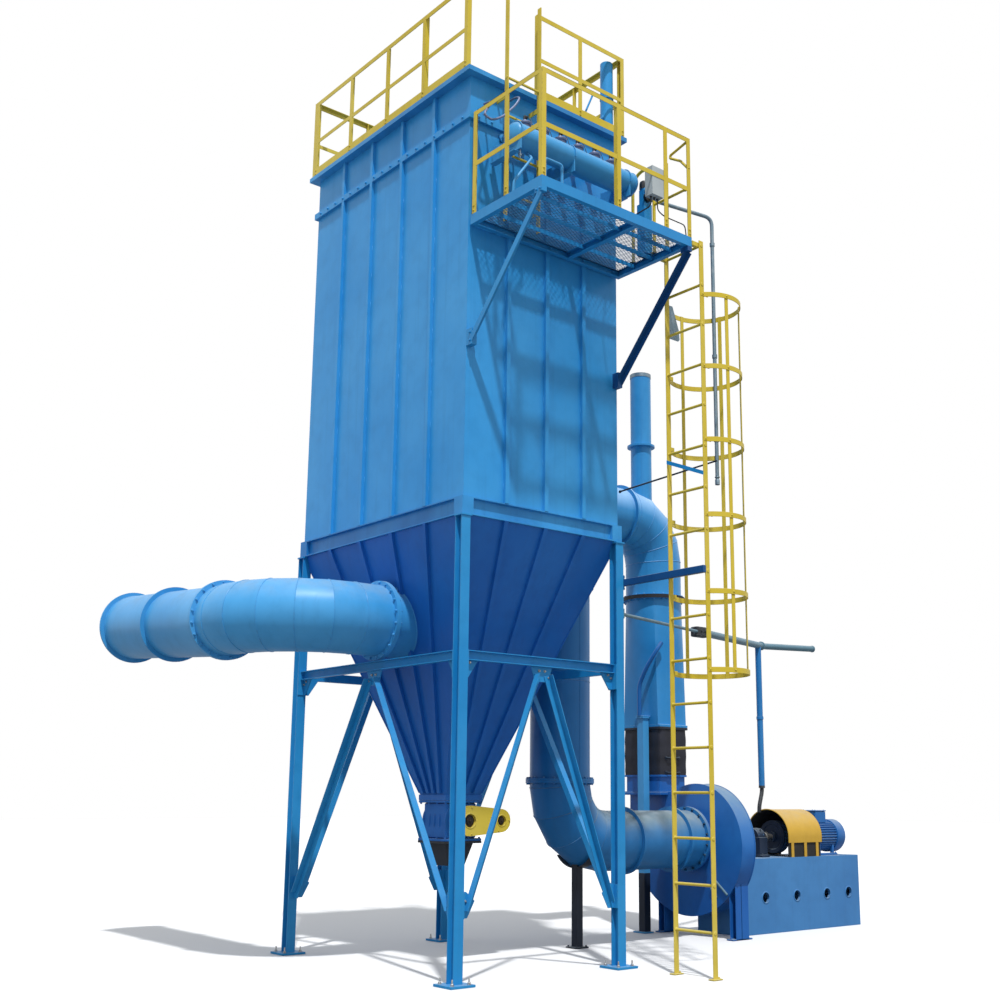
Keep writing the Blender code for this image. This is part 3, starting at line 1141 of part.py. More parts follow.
def fan_drive():
    blue = paint("pedestal_blue", (0.09, 0.34, 0.64), 0.42)
    y, z = FAN_Y, FAN_AXIS
    half = PEDESTAL_WIDTH / 2
    left, right, top, t = PEDESTAL_LEFT, PEDESTAL_RIGHT, PEDESTAL_TOP, PEDESTAL_WALL
    pieces = [box((left, y - half, top - t), (right, y + half, top))]
    for side in (-1, 1):
        y0, y1 = sorted((y + side * half, y + side * (half - t)))
        pieces.append(box((left, y0, 0), (right, y1, top - t + SINK)))
    for x in (left, (left + right) / 2, right - t):
        pieces.append(box((x, y - half + SINK, 0), (x + t, y + half - SINK, top - t + SINK)))
    b = BEARING_SIZE
    for x in BEARINGS:
        pieces.append(box((x - b[0] / 2, y - b[1] / 2, top - SINK), (x + b[0] / 2, y + b[1] / 2, z)))
        pieces.append(cylinder((x - b[0] / 2, y, z), (x + b[0] / 2, y, z), b[1] * 0.4, 10))
    pieces.append(cylinder((FAN_FACE + FAN_WIDTH + HUB_PROUD + GAP, y, z), (HOOD_LEFT + 0.30, y, z), SHAFT_RADIUS, 10))
    pieces.append(cylinder((HOOD_LEFT + 0.10, y, z), (HOOD_LEFT + 0.10 + PULLEY_WIDTH, y, z), PULLEY_RADIUS, 16))
    holes = []
    reach, level = half + PEDESTAL_WALL, PEDESTAL_HOLE_HEIGHT
    for x in (left + along for along in PEDESTAL_HOLES):
        holes.append(cylinder((x, y - reach, level), (x, y + reach, level), PEDESTAL_HOLE, 10))
    node("fan_pedestal", blue, pieces, holes)
    yellow = paint("hood_yellow", (0.62, 0.42, 0.03), 0.4)
    r, w = HOOD_RADIUS, HOOD_WALL
    arc = arc_path((0, 0, 0), r, 0, math.pi, 16, Y, Z)
    inner = arc_path((0, 0, 0), r - w, 0, math.pi, 16, Y, Z)
    drop = PEDESTAL_TOP + GAP - z
    ring = [(r, drop)] + [(p.y, p.z) for p in arc] + [(-r, drop), (-r + w, drop)]
    ring += [(p.y, p.z) for p in reversed(inner)] + [(r - w, drop)]
    hood = prism(ring, (HOOD_LEFT, y, z), (HOOD_RIGHT, y, z), Y, Z)
    solid = [(r, drop)] + [(p.y, p.z) for p in arc] + [(-r, drop)]
    end = prism(solid, (HOOD_RIGHT - w, y, z), (HOOD_RIGHT, y, z), Y, Z)
    node("drive_guard", yellow, [hood, end])
    dark = paint("motor_blue", (0.03, 0.17, 0.42), 0.42)
    a, b = DRIVE_MOTOR_LEFT, DRIVE_MOTOR_RIGHT
    mr = DRIVE_MOTOR_RADIUS
    motor = [cylinder((a, y, z), (b, y, z), mr, 20)]
    motor.append(cylinder((b - 0.14, y, z), (b + 0.04, y, z), mr * 1.05, 20))
    motor.append(box((a + 0.08, y - mr, top + GAP), (b - 0.16, y + mr, z - mr * 0.6)))
    motor.append(box((a + 0.12, y - 0.11, z + mr * 0.8), (a + 0.34, y + 0.11, z + mr + 0.13)))
    motor.append(cylinder((HOOD_RIGHT + GAP, y, z), (a + SINK, y, z), SHAFT_RADIUS, 10))
    node("drive_motor", dark, motor)


def discharge(centre):
    rubber = paint("joint_black", (0.02, 0.02, 0.022), 0.7)
    fx, fy = OUTLET_X_SIDE / 2, OUTLET_Y_SIDE / 2
    cx, cy = centre.x, centre.y
    low, high, lip = JOINT_BOTTOM, JOINT_TOP, OUTLET_LIP
    neck_x, neck_y = fx - JOINT_INSET, fy - JOINT_INSET
    pieces = [box((cx - neck_x, cy - neck_y, low), (cx + neck_x, cy + neck_y, high))]
    for z in (low, high - lip):
        pieces.append(box((cx - fx, cy - fy - lip, z), (cx + fx, cy + fy + lip, z + lip)))
    node("outlet_joint", rubber, pieces)
    blue = paint("discharge_blue", (0.06, 0.24, 0.54), 0.4)
    r = DISCHARGE_RADIUS
    base, t = high + GAP, FLANGE_THICKNESS
    stations = ((TAPER_TOP - t, r), (TAPER_TOP - t, r + FLANGE_PROUD), (TAPER_TOP, r + FLANGE_PROUD))
    rings = [ring_points(Vector((cx, cy, z)), X, Y, far, DUCT_SIDES) for z, far in stations]
    square = []
    for p in rings[0]:
        a = math.atan2(p.y - cy, p.x - cx)
        reach = 1 / max(abs(math.cos(a)), abs(math.sin(a)))
        square.append(Vector((cx + math.cos(a) * reach * fx, cy + math.sin(a) * reach * fy, base + lip - SINK)))
    px, py = DISCHARGE_POST
    s, carried = DISCHARGE_POST_SIDE / 2 + POST_CAP, DISCHARGE_POST_TOP
    pieces = [loft([square, *rings]), box((cx - fx, cy - fy - lip, base), (cx + fx, cy + fy + lip, base + lip))]
    pieces.append(box((px - s, py - s, carried + GAP), (cx - fx + 3 * POST_CAP, py + s, carried + POST_CAP)))
    node("discharge_taper", blue, pieces, smooth=True)
    light = paint("post_blue", (0.13, 0.42, 0.72), 0.42)
    h = DISCHARGE_POST_SIDE / 2
    column = [box((px - h, py - h, 0), (px + h, py + h, carried))]
    for z, wide in ((0, h * 2), (carried - POST_CAP, s)):
        column.append(box((px - wide, py - wide, z), (px + h, py + wide, z + POST_CAP)))
    node("discharge_post", light, column)
    start = TAPER_TOP + GAP
    bend = ELBOW_BEND
    path = [Vector((cx, cy, start))]
    path += arc_path((cx - bend, cy, ELBOW_AXIS - bend), bend, 0, math.pi / 2, ELBOW_GORES, X, Z)
    path.append(Vector((LEG_END_X, cy, ELBOW_AXIS)))
    last = len(path) - 2
    elbow = duct(path, r, INLET_WALL, ((0, 0), (last, LEG_RING), (last, END)), up=Y)
    rise = math.sqrt((bend + r) ** 2 - (bend - STACK_BACK) ** 2)
    foot = Vector((cx - STACK_BACK, cy, ELBOW_AXIS - bend + rise - STACK_SINK))
    stack = duct([foot, foot + Z * (STACK_TOP - foot.z)], STACK_RADIUS, STACK_WALL, ((0, STACK_RING - foot.z),), 16, up=Y)
    node("discharge_elbow", blue, [elbow, stack], smooth=True)


def conduit():
    """The cable conduit from the front-right leg to the fan's drive: thin up to its clamp, then the thick pipe with
    its capped end, and the drop that stands on the drive's guard."""
    blue = paint("conduit_blue", (0.12, 0.34, 0.56), 0.45)
    face = W - LEG_INSET + LEG_SIDE / 2 + GAP
    start, corner = Vector((face, LEG_INSET, CONDUIT_Z)), Vector(CONDUIT_END)
    along = (corner - start).normalized()
    clamp = start.lerp(corner, CONDUIT_CLAMP)
    end = corner + along * CONDUIT_PAST
    off = corner.y - FAN_Y - CONDUIT_FOOT / 2
    seat = FAN_AXIS + math.sqrt(HOOD_RADIUS ** 2 - off ** 2) + GAP
    h, plate, r = CONDUIT_CLAMP_SIDE / 2, LEG_SIDE / 2, CONDUIT_RADIUS
    pieces = [
        duct([start, clamp], CONDUIT_THIN, sides=8),
        duct([clamp, end], r, 0, ((0, END),), 12),
        duct([corner, Vector((corner.x, corner.y, seat + FOOT_PLATE / 2))], r * 0.9, sides=10, up=Y),
        box((face, start.y - plate, start.z - plate), (face + POST_CAP, start.y + plate, start.z + plate)),
        box(clamp - Vector((h, h, h)), clamp + Vector((h, h, h)) * 0.9),
    ]
    f = CONDUIT_FOOT / 2
    pieces.append(box((corner.x - f, corner.y - f, seat), (corner.x + f, corner.y + f, seat + FOOT_PLATE)))
    node("cable_conduit", blue, pieces, smooth=True)


def clear_scene():
    for old in list(bpy.data.objects):
        bpy.data.objects.remove(old, do_unlink=True)


def main():
    clear_scene()
    housing()
    plenum()
    roof()
    ring_beam()
    hopper()
    legs()
    bracing()
    inlet()
    valve()
    platform()
    railings()
    header()
    air_supply()
    main_ladder()
    roof_ladder()
    suction()
    centre = fan()
    fan_drive()
    discharge(centre)
    conduit()


main()
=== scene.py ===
"""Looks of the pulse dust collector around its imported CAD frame. Metres, +Z up, the CAD's own frame."""

import bpy
import numpy as np
from mathutils import Matrix, Vector


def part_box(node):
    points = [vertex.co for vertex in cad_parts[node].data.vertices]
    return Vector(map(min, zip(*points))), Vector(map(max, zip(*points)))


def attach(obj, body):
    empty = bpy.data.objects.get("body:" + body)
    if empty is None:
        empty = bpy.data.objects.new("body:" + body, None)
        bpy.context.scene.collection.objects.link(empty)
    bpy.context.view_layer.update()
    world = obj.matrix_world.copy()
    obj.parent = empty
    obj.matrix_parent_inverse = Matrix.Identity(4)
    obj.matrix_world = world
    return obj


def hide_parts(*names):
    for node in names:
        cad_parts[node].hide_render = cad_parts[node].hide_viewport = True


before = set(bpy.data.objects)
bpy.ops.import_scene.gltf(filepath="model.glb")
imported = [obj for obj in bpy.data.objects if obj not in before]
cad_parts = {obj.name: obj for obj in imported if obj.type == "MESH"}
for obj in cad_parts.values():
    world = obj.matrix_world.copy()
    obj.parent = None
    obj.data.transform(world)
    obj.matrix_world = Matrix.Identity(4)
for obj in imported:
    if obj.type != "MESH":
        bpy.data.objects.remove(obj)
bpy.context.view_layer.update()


# The camera stands low in front of the left corner and looks up along the collector's diagonal, as the photograph
# does. Its lens and its shift are worked out from the edges of the housing and the legs.
CAMERA_PLACE = (-6.644, -8.960, 1.6)
CAMERA_YAW = 40.32
CAMERA_PITCH = 11.25
CAMERA_ROLL = 0.34
FOCAL_PIXELS = 1240.3
CENTRE_PIXEL = (542.2, 550.0)
FRAME_PIXELS = 1000

camera_data = bpy.data.cameras.new("photo_camera")
camera_data.sensor_width = 36.0
camera_data.sensor_fit = "HORIZONTAL"
camera_data.lens = FOCAL_PIXELS * camera_data.sensor_width / FRAME_PIXELS
camera_data.shift_x = (FRAME_PIXELS / 2 - CENTRE_PIXEL[0]) / FRAME_PIXELS
camera_data.shift_y = (CENTRE_PIXEL[1] - FRAME_PIXELS / 2) / FRAME_PIXELS
camera_data.clip_end = 200.0
camera = bpy.data.objects.new("photo_camera", camera_data)
bpy.context.scene.collection.objects.link(camera)
turn = Matrix.Rotation(-np.radians(CAMERA_YAW), 4, "Z")
tilt = Matrix.Rotation(np.radians(90 + CAMERA_PITCH), 4, "X")
camera.matrix_world = Matrix.Translation(CAMERA_PLACE) @ turn @ tilt @ Matrix.Rotation(np.radians(CAMERA_ROLL), 4, "Z")
bpy.context.scene.camera = camera


# The light is plain daylight: a pale sky all round, and a high sun from the front left, which draws the platform's
# shadow down the front wall as in the photograph. Camera, mirror and see-through rays find a white background.
SKY_COLOR = (0.93, 0.96, 1.0, 1.0)
SKY_STRENGTH = 0.70
SUN_STRENGTH = 3.3
SUN_ANGLE = 2.0
SUN_FROM = (-0.58, -1.0, 2.33)

world = bpy.data.worlds.new("plain_sky")
bpy.context.scene.world = world
world.use_nodes = True
sky = world.node_tree
sky.nodes.clear()
sky_out = sky.nodes.new("ShaderNodeOutputWorld")
sky_light = sky.nodes.new("ShaderNodeBackground")
sky_light.inputs["Color"].default_value = SKY_COLOR
sky_light.inputs["Strength"].default_value = SKY_STRENGTH
sky_white = sky.nodes.new("ShaderNodeBackground")
sky_white.inputs["Color"].default_value = (1.0, 1.0, 1.0, 1.0)
sky_seen = sky.nodes.new("ShaderNodeLightPath")
sky_mix = sky.nodes.new("ShaderNodeMixShader")
fraction = sky_seen.outputs["Is Camera Ray"]
for ray in ("Is Transmission Ray", "Is Glossy Ray"):
    either = sky.nodes.new("ShaderNodeMath")
    either.operation = "MAXIMUM"
    sky.links.new(fraction, either.inputs[0])
    sky.links.new(sky_seen.outputs[ray], either.inputs[1])
    fraction = either.outputs["Value"]
sky.links.new(fraction, sky_mix.inputs["Fac"])
sky.links.new(sky_light.outputs["Background"], sky_mix.inputs[1])
sky.links.new(sky_white.outputs["Background"], sky_mix.inputs[2])
sky.links.new(sky_mix.outputs["Shader"], sky_out.inputs["Surface"])

sun_data = bpy.data.lights.new("high_sun", "SUN")
sun_data.energy = SUN_STRENGTH
sun_data.angle = np.radians(SUN_ANGLE)
sun = bpy.data.objects.new("high_sun", sun_data)
sun.rotation_euler = Vector(SUN_FROM).to_track_quat("Z", "Y").to_euler()
bpy.context.scene.collection.objects.link(sun)
bpy.context.scene.view_settings.view_transform = "Standard"


# The floor is a plain pale sheet under the collector, which only has to take its shadow. What it throws back up at
# the steel is that of a yard's ground, so that the hopper and the undersides stay as deep as in the photograph.
FLOOR_REACH = 70.0
FLOOR_DROP = 0.002
FLOOR_COLOR = (0.74, 0.74, 0.74, 1.0)
GROUND_COLOR = (0.24, 0.24, 0.24, 1.0)


def shell(name, points, quads, triangles=()):
    """A mesh object from whole arrays: its points, its four-cornered faces, then its three-cornered ones."""
    mesh = bpy.data.meshes.new(name)
    quads = np.asarray(quads, np.int32).reshape(-1, 4)
    triangles = np.asarray(triangles, np.int32).reshape(-1, 3)
    corners = np.concatenate([quads.ravel(), triangles.ravel()])
    starts = np.concatenate([np.arange(len(quads)) * 4, quads.size + np.arange(len(triangles)) * 3])
    mesh.vertices.add(len(points))
    mesh.vertices.foreach_set("co", np.asarray(points, np.float32).ravel())
    mesh.loops.add(len(corners))
    mesh.loops.foreach_set("vertex_index", corners.astype(np.int32))
    mesh.polygons.add(len(starts))
    mesh.polygons.foreach_set("loop_start", starts.astype(np.int32))
    mesh.update(calc_edges=True)
    made = bpy.data.objects.new(name, mesh)
    bpy.context.scene.collection.objects.link(made)
    return made


def matte(name, color, roughness):
    """A Principled material with one colour, as the start of the finishes below."""
    material = bpy.data.materials.new(name)
    material.use_nodes = True
    shader = material.node_tree.nodes["Principled BSDF"]
    shader.inputs["Base Color"].default_value = color
    shader.inputs["Roughness"].default_value = roughness
    return material


corners = np.array([(-1, -1), (1, -1), (1, 1), (-1, 1)]) * FLOOR_REACH
floor = shell("pale_floor", np.column_stack([corners, np.full(4, -FLOOR_DROP)]), [(0, 1, 2, 3)])
pale = matte("pale_floor", FLOOR_COLOR, 0.9)
seen = pale.node_tree.nodes.new("ShaderNodeLightPath")
shade = pale.node_tree.nodes.new("ShaderNodeMix")
shade.data_type = "RGBA"
shade.inputs["A"].default_value = GROUND_COLOR
shade.inputs["B"].default_value = FLOOR_COLOR
pale.node_tree.links.new(seen.outputs["Is Camera Ray"], shade.inputs["Factor"])
pale.node_tree.links.new(shade.outputs["Result"], pale.node_tree.nodes["Principled BSDF"].inputs["Base Color"])
floor.data.materials.append(pale)


# The walls of the bag filter housing and of the clean-air plenum: folded sheet steel with flat-bar ribs, sprayed
# with blue enamel after welding. Rain has drawn faint streaks down it, and dust lies on every ledge.
HOUSING_BLUE = (0.022, 0.270, 0.640)
HOUSING_FADED = (0.048, 0.330, 0.700)
DUST_COLOR = (0.26, 0.31, 0.34, 1.0)
PRIMER_COLOR = (0.10, 0.085, 0.075, 1.0)
EDGE_RADIUS = 0.004
ENAMEL_GLOSS = 0.24


class Layers:
    """Builds a finish in layers on Object coordinates, each layer mixed over the last by its own mask."""

    def __init__(self, name, color, roughness, metallic=0.0):
        self.material = matte(name, (*color, 1.0), roughness)
        self.tree = self.material.node_tree
        self.shader = self.tree.nodes["Principled BSDF"]
        self.shader.inputs["Metallic"].default_value = metallic
        self.place = self.node("ShaderNodeTexCoord").outputs["Object"]
        self.facing = self.node("ShaderNodeNewGeometry").outputs["Normal"]
        self.color = None
        self.base = (*color, 1.0)
        self.rough = None
        self.base_rough = roughness
        self.relief = None

    def node(self, kind, **settings):
        made = self.tree.nodes.new(kind)
        for key, value in settings.items():
            setattr(made, key, value)
        return made

    def put(self, value, socket):
        if hasattr(value, "links"):
            self.tree.links.new(value, socket)
        else:
            socket.default_value = value

    def noise(self, scale, detail=3.0, stretch=(1, 1, 1), roughness=0.55):
        place = self.place
        if tuple(stretch) != (1, 1, 1):
            mapping = self.node("ShaderNodeMapping")
            mapping.inputs["Scale"].default_value = stretch
            self.put(place, mapping.inputs["Vector"])
            place = mapping.outputs["Vector"]
        noise = self.node("ShaderNodeTexNoise")
        self.put(place, noise.inputs["Vector"])
        noise.inputs["Scale"].default_value = scale
        noise.inputs["Detail"].default_value = detail
        noise.inputs["Roughness"].default_value = roughness
        return noise.outputs["Fac"]

    def ramp(self, value, low, high, start=0.0, end=1.0):
        ramp = self.node("ShaderNodeMapRange", clamp=True)
        self.put(value, ramp.inputs["Value"])
        ramp.inputs["From Min"].default_value = low
        ramp.inputs["From Max"].default_value = high
        ramp.inputs["To Min"].default_value = start
        ramp.inputs["To Max"].default_value = end
        return ramp.outputs["Result"]

    def math(self, operation, a, b=0.0):
        made = self.node("ShaderNodeMath", operation=operation)
        self.put(a, made.inputs[0])
        self.put(b, made.inputs[1])
        return made.outputs["Value"]

    def over(self, mask, color, roughness=None):
        """Lays a colour, and a roughness if one is given, over what is there, where the mask says."""
        mix = self.node("ShaderNodeMix", data_type="RGBA")
        self.put(mask, mix.inputs["Factor"])
        self.put(self.color or self.base, mix.inputs["A"])
        self.put(color, mix.inputs["B"])
        self.color = mix.outputs["Result"]
        if roughness is not None:
            rough = self.node("ShaderNodeMix", data_type="FLOAT")
            self.put(mask, rough.inputs["Factor"])
            self.put(self.rough or self.base_rough, rough.inputs["A"])
            self.put(roughness, rough.inputs["B"])
            self.rough = rough.outputs["Result"]

    def upward(self, low=0.3, high=0.95):
        split = self.node("ShaderNodeSeparateXYZ")
        self.put(self.facing, split.inputs["Vector"])
        return self.ramp(split.outputs["Z"], low, high)

    def edges(self, radius=EDGE_RADIUS, low=0.02, high=0.25):
        """How far the surface turns within a small radius, as on a folded or cut edge."""
        bevel = self.node("ShaderNodeBevel", samples=4)
        bevel.inputs["Radius"].default_value = radius
        dot = self.node("ShaderNodeVectorMath", operation="DOT_PRODUCT")
        self.put(bevel.outputs["Normal"], dot.inputs[0])
        self.put(self.facing, dot.inputs[1])
        return self.ramp(self.math("SUBTRACT", 1.0, dot.outputs["Value"]), low, high)

    def bump(self, height, distance):
        bump = self.node("ShaderNodeBump")
        bump.inputs["Strength"].default_value = 1.0
        bump.inputs["Distance"].default_value = distance
        self.put(height, bump.inputs["Height"])
        if self.relief:
            self.put(self.relief, bump.inputs["Normal"])
        self.relief = bump.outputs["Normal"]

    def done(self):
        for value, socket in ((self.color, "Base Color"), (self.rough, "Roughness"), (self.relief, "Normal")):
            if value:
                self.put(value, self.shader.inputs[socket])
        return self.material


def enamel(name, color, faded, streaks=0.35, dust=0.45, chips=0.5, waves=0.0012, roughness=0.36, sky_sheen=None):
    """Sprayed enamel: its colour drifts towards the faded one over a metre or so, rain draws thin upright streaks,
    where a sheen colour is given, a painted highlight makes what looks up paler, dust settles on what looks up,
    edges are chipped to the primer, and the sheet under it is a little wavy."""
    coat = Layers(name, color, roughness)
    coat.over(coat.ramp(coat.noise(0.55, 4.0), 0.36, 0.64), (*faded, 1.0))
    coat.over(coat.ramp(coat.noise(5.0, 5.0), 0.45, 0.75, 0.0, 0.30), tuple(c * 0.72 for c in color) + (1.0,))
    rain = coat.ramp(coat.noise(1.0, 6.0, (13.0, 13.0, 0.42), 0.65), 0.52, 0.74, 0.0, streaks)
    coat.over(rain, tuple(0.72 * c + 0.012 for c in color) + (1.0,), roughness + 0.18)
    # Painted highlight: where asked, faces that look up are painted paler, as a sheen of pale sky.
    if sky_sheen:
        sheen_mask = coat.math("MULTIPLY", coat.upward(0.0, 0.78), coat.ramp(coat.noise(2.2, 4.0), 0.30, 0.62, 0.55, 1.0))
        coat.over(sheen_mask, (*sky_sheen, 1.0), roughness + 0.10)
    settled = coat.math("MULTIPLY", coat.upward(), coat.ramp(coat.noise(7.0, 5.0), 0.30, 0.70, 0.25, 1.0))
    coat.over(coat.math("MULTIPLY", settled, dust), DUST_COLOR, 0.85)
    worn = coat.math("MULTIPLY", coat.edges(), coat.ramp(coat.noise(24.0, 4.0), 0.50, 0.62))
    coat.over(coat.math("MULTIPLY", worn, chips), PRIMER_COLOR, 0.75)
    coat.bump(coat.noise(1.7, 2.0), waves)
    coat.bump(coat.noise(260.0, 2.0), 0.00006)
    coat.shader.inputs["Specular IOR Level"].default_value = ENAMEL_GLOSS
    return coat.done()


def wear(material, *nodes):
    """Gives CAD nodes a finish in place of their plain colour."""
    for node in nodes:
        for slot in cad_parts[node].material_slots:
            slot.material = material


def xyz(x, y, z):
    """Points from their coordinates, each of which is one number or an array."""
    return np.stack(np.broadcast_arrays(*(np.asarray(value, float) for value in (x, y, z))), axis=-1)


def frames(directions):
    """For each direction, the turn that carries +Z onto it: its third column is the direction, the others are square
    to it and to each other."""
    forward = directions / np.linalg.norm(directions, axis=-1, keepdims=True)
    helper = np.where(np.abs(forward[..., 2:3]) > 0.9, (1.0, 0.0, 0.0), (0.0, 0.0, 1.0))
    side = np.cross(helper, forward)
    side /= np.linalg.norm(side, axis=-1, keepdims=True)
    return np.stack([side, np.cross(forward, side), forward], axis=-1)


def turned(profile, columns):
    """A profile of (radius, height) pairs turned about Z: rows follow the profile, columns go round."""
    radius, height = np.asarray(profile, float).T
    angle = np.arange(columns) * 2 * np.pi / columns
    across = radius[:, None, None] * np.stack([np.cos(angle), np.sin(angle)], axis=-1)
    return np.concatenate([across, np.broadcast_to(height[:, None, None], (len(radius), columns, 1))], axis=-1)


def stamped(grid, places, directions=(0, 0, 1)):
    """Copies of a grid, each with its origin at a place and its +Z along a direction."""
    places = np.asarray(places, float).reshape(-1, 3)
    directions = np.broadcast_to(np.asarray(directions, float), places.shape)
    return np.einsum("nij,rcj->nrci", frames(directions), grid) + places[:, None, None]


def piece(name, material, solids=(), rings=(), replaces=(), crease=35.0):
    """One object that rides on the plant, from grids of points, rows by columns, whose columns go right round. A
    solid's first and last rows are closed by a fan to their middle; a ring's last row joins its first. Stacks of
    like grids may be given, and a grid whose volume comes out negative has its faces turned outwards."""
    points, quads, triangles, count = [], [], [], 0
    for kind, grids in (("solid", solids), ("ring", rings)):
        for grid in grids:
            grid = np.asarray(grid, float)
            stack = grid.reshape(-1, *grid.shape[-3:])
            copies, rows, columns = stack.shape[:3]
            below = np.arange(rows if kind == "ring" else rows - 1)
            row, column = np.meshgrid(below, np.arange(columns), indexing="ij")
            above, beside = (row + 1) % rows, (column + 1) % columns
            quad = np.stack([row * columns + column, row * columns + beside,
                             above * columns + beside, above * columns + column], axis=-1).reshape(-1, 4)
            flat = stack.reshape(copies, -1, 3)
            tip = np.zeros((0, 3), int)
            if kind == "solid":
                flat = np.concatenate([flat, stack[:, [0, -1]].mean(axis=2)], axis=1)
                ring, after = np.arange(columns), (np.arange(columns) + 1) % columns
                first, last = rows * columns, rows * columns + 1
                top = (rows - 1) * columns
                tip = np.concatenate([np.stack([after, ring, np.full(columns, first)], axis=-1),
                                      np.stack([top + ring, top + after, np.full(columns, last)], axis=-1)])
            split = np.concatenate([quad[:, :3], quad[:, [0, 2, 3]], tip])
            local = flat - flat.mean(axis=1, keepdims=True)
            a, b, c = (local[:, split[:, i]] for i in range(3))
            inward = np.einsum("nfi,nfi->n", a, np.cross(b, c)) < 0
            size = flat.shape[1]
            shift = count + np.arange(copies)[:, None, None] * size
            for faces, kept in ((quad, quads), (tip, triangles)):
                whole = np.where(inward[:, None, None], faces[None, :, ::-1], faces[None]) + shift
                kept.append(whole.reshape(-1, faces.shape[1]))
            points.append(flat.reshape(-1, 3))
            count += copies * size
    made = shell(name, np.concatenate(points), np.concatenate(quads), np.concatenate(triangles))
    made.data.materials.append(material)
    made.data.shade_smooth()
    made.data.set_sharp_from_angle(angle=np.radians(crease))
    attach(made, "root")
    if replaces:
        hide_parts(*replaces)


housing_paint = enamel("housing_enamel", HOUSING_BLUE, HOUSING_FADED)
wear(housing_paint, "filter_housing", "clean_air_plenum")

# The ribs are stitch-welded to the walls on both sides, and bolts clamp the plenum's band to the housing.
SIDE_BAYS = 5
FRONT_BAYS = 4
RIB_WIDTH = 0.045
FRONT_RIB_TOP = 7.72
STITCH_PITCH = 0.32
STITCH_LENGTH = 0.07
STITCH_RADIUS = 0.006
BAND_HEIGHT = 0.07
BAND_BOLT_PITCH = 0.16
BAND_BOLT = 0.011


def stitches(starts, ends, pitch=STITCH_PITCH, length=STITCH_LENGTH, radius=STITCH_RADIUS):
    """Short welds along straight joints: each is a thin ellipsoid lying on its joint, one every pitch."""
    angle = np.linspace(0.12, np.pi - 0.12, 7)
    ripple = 1 + 0.12 * np.cos(angle * 9)
    bead = turned(np.column_stack([radius * np.sin(angle) * ripple, -length / 2 * np.cos(angle)]), 6)
    places, ways = [], []
    for start, end in zip(np.asarray(starts, float), np.asarray(ends, float)):
        run = np.linalg.norm(end - start)
        share = (np.arange(int(run / pitch)) + 0.5) * pitch / run
        places.append(start + share[:, None] * (end - start))
        ways.append(np.broadcast_to((end - start) / run, (len(share), 3)))
    return stamped(bead, np.concatenate(places), np.concatenate(ways))


def bolts(places, directions, size):
    """Hexagon bolts on their washers: a washer turned from a flat ring, and a six-sided head with its edge taken
    off. Size is half the head's width."""
    washer = turned([(size * 1.35, -0.001), (size * 1.35, size * 0.26), (size * 1.2, size * 0.32)], 10)
    head = turned([(size, size * 0.3), (size, size * 1.25), (size * 0.82, size * 1.42)], 6)
    return [stamped(washer, places, directions), stamped(head, places, directions)]


housing_low, housing_high = map(np.array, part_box("filter_housing"))
rib_depth = -housing_low[0]
wall_size = housing_high[:2] - rib_depth
wall_wide, wall_deep = wall_size
wall_foot, wall_top = housing_low[2], housing_high[2]
heads = []
for side in (-1, 1):
    edge = side * (RIB_WIDTH / 2 + STITCH_RADIUS * 0.2)
    heads += [(x, wall_deep * i / SIDE_BAYS + edge, wall_top) for i in range(1, SIDE_BAYS) for x in (0.0, wall_wide)]
    heads += [(wall_wide * i / FRONT_BAYS + edge, y, top) for i in range(1, FRONT_BAYS)
              for y, top in ((0.0, FRONT_RIB_TOP), (wall_deep, wall_top))]
piece("rib_welds", housing_paint, [stitches([(x, y, wall_foot) for x, y, _ in heads], heads)])

band_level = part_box("clean_air_plenum")[0][2] + BAND_HEIGHT / 2
along_x, along_y = (np.arange(BAND_BOLT_PITCH / 2, far, BAND_BOLT_PITCH) for far in wall_size)
band = []
for way, (face_x, face_y) in ((-1, (-rib_depth, -rib_depth)), (1, wall_size + rib_depth)):
    band += bolts(xyz(along_x, face_y, band_level), (0, way, 0), BAND_BOLT)
    band += bolts(xyz(face_x, along_y, band_level), (way, 0, 0), BAND_BOLT)
piece("band_bolts", housing_paint, band)


# The roof: one plate with six lift-off covers over the bag rows, each pulled down on a rubber seal by toggle clamps.
# A tube post at the right front corner carries the lifting gear's socket and is stayed by two thin rods.
ROOF_TOP = 8.65
COVER_GAP = 0.10
COVER_FRONT = 0.22
COVER_ROWS = 3
COVER_COLUMNS = 2
CLAMP_INSET = 0.16
LEVER_ROUTE = ((-0.03, 0, 0.014), (-0.03, 0, 0.075), (0.035, 0, 0.075), (0.035, 0, 0.0605))
HAND_ROUTE = ((-0.03, -0.014, 0.05), (-0.055, -0.014, 0.035), (-0.075, -0.014, 0.012))
SEAL_WIDE = 0.010
ROOF_BLUE = (0.020, 0.180, 0.450)
SEAL_COLOR = (0.016, 0.016, 0.018)
STAY_RADIUS = 0.011
STAYS = (((1.694, 0.045, 9.115), (1.508, 0.045, 8.69)), ((1.905, 0.050, 9.033), (1.742, 0.045, 8.69)))


def tube(path, radius, columns=12, reference=(0, 0, 1)):
    """A round bar along a path. Each ring is a circle square to the path there, laid out from the reference
    direction, and the radius may differ from point to point."""
    path = np.asarray(path, float)
    along = np.gradient(path, axis=0)
    along /= np.linalg.norm(along, axis=1, keepdims=True)
    side = np.cross(along, reference)
    side /= np.linalg.norm(side, axis=1, keepdims=True)
    rise = np.cross(side, along)
    angle = np.arange(columns) * 2 * np.pi / columns
    radius = np.broadcast_to(radius, (len(path),))[:, None, None]
    ring = np.cos(angle)[None, :, None] * side[:, None] + np.sin(angle)[None, :, None] * rise[:, None]
    return path[:, None] + radius * ring


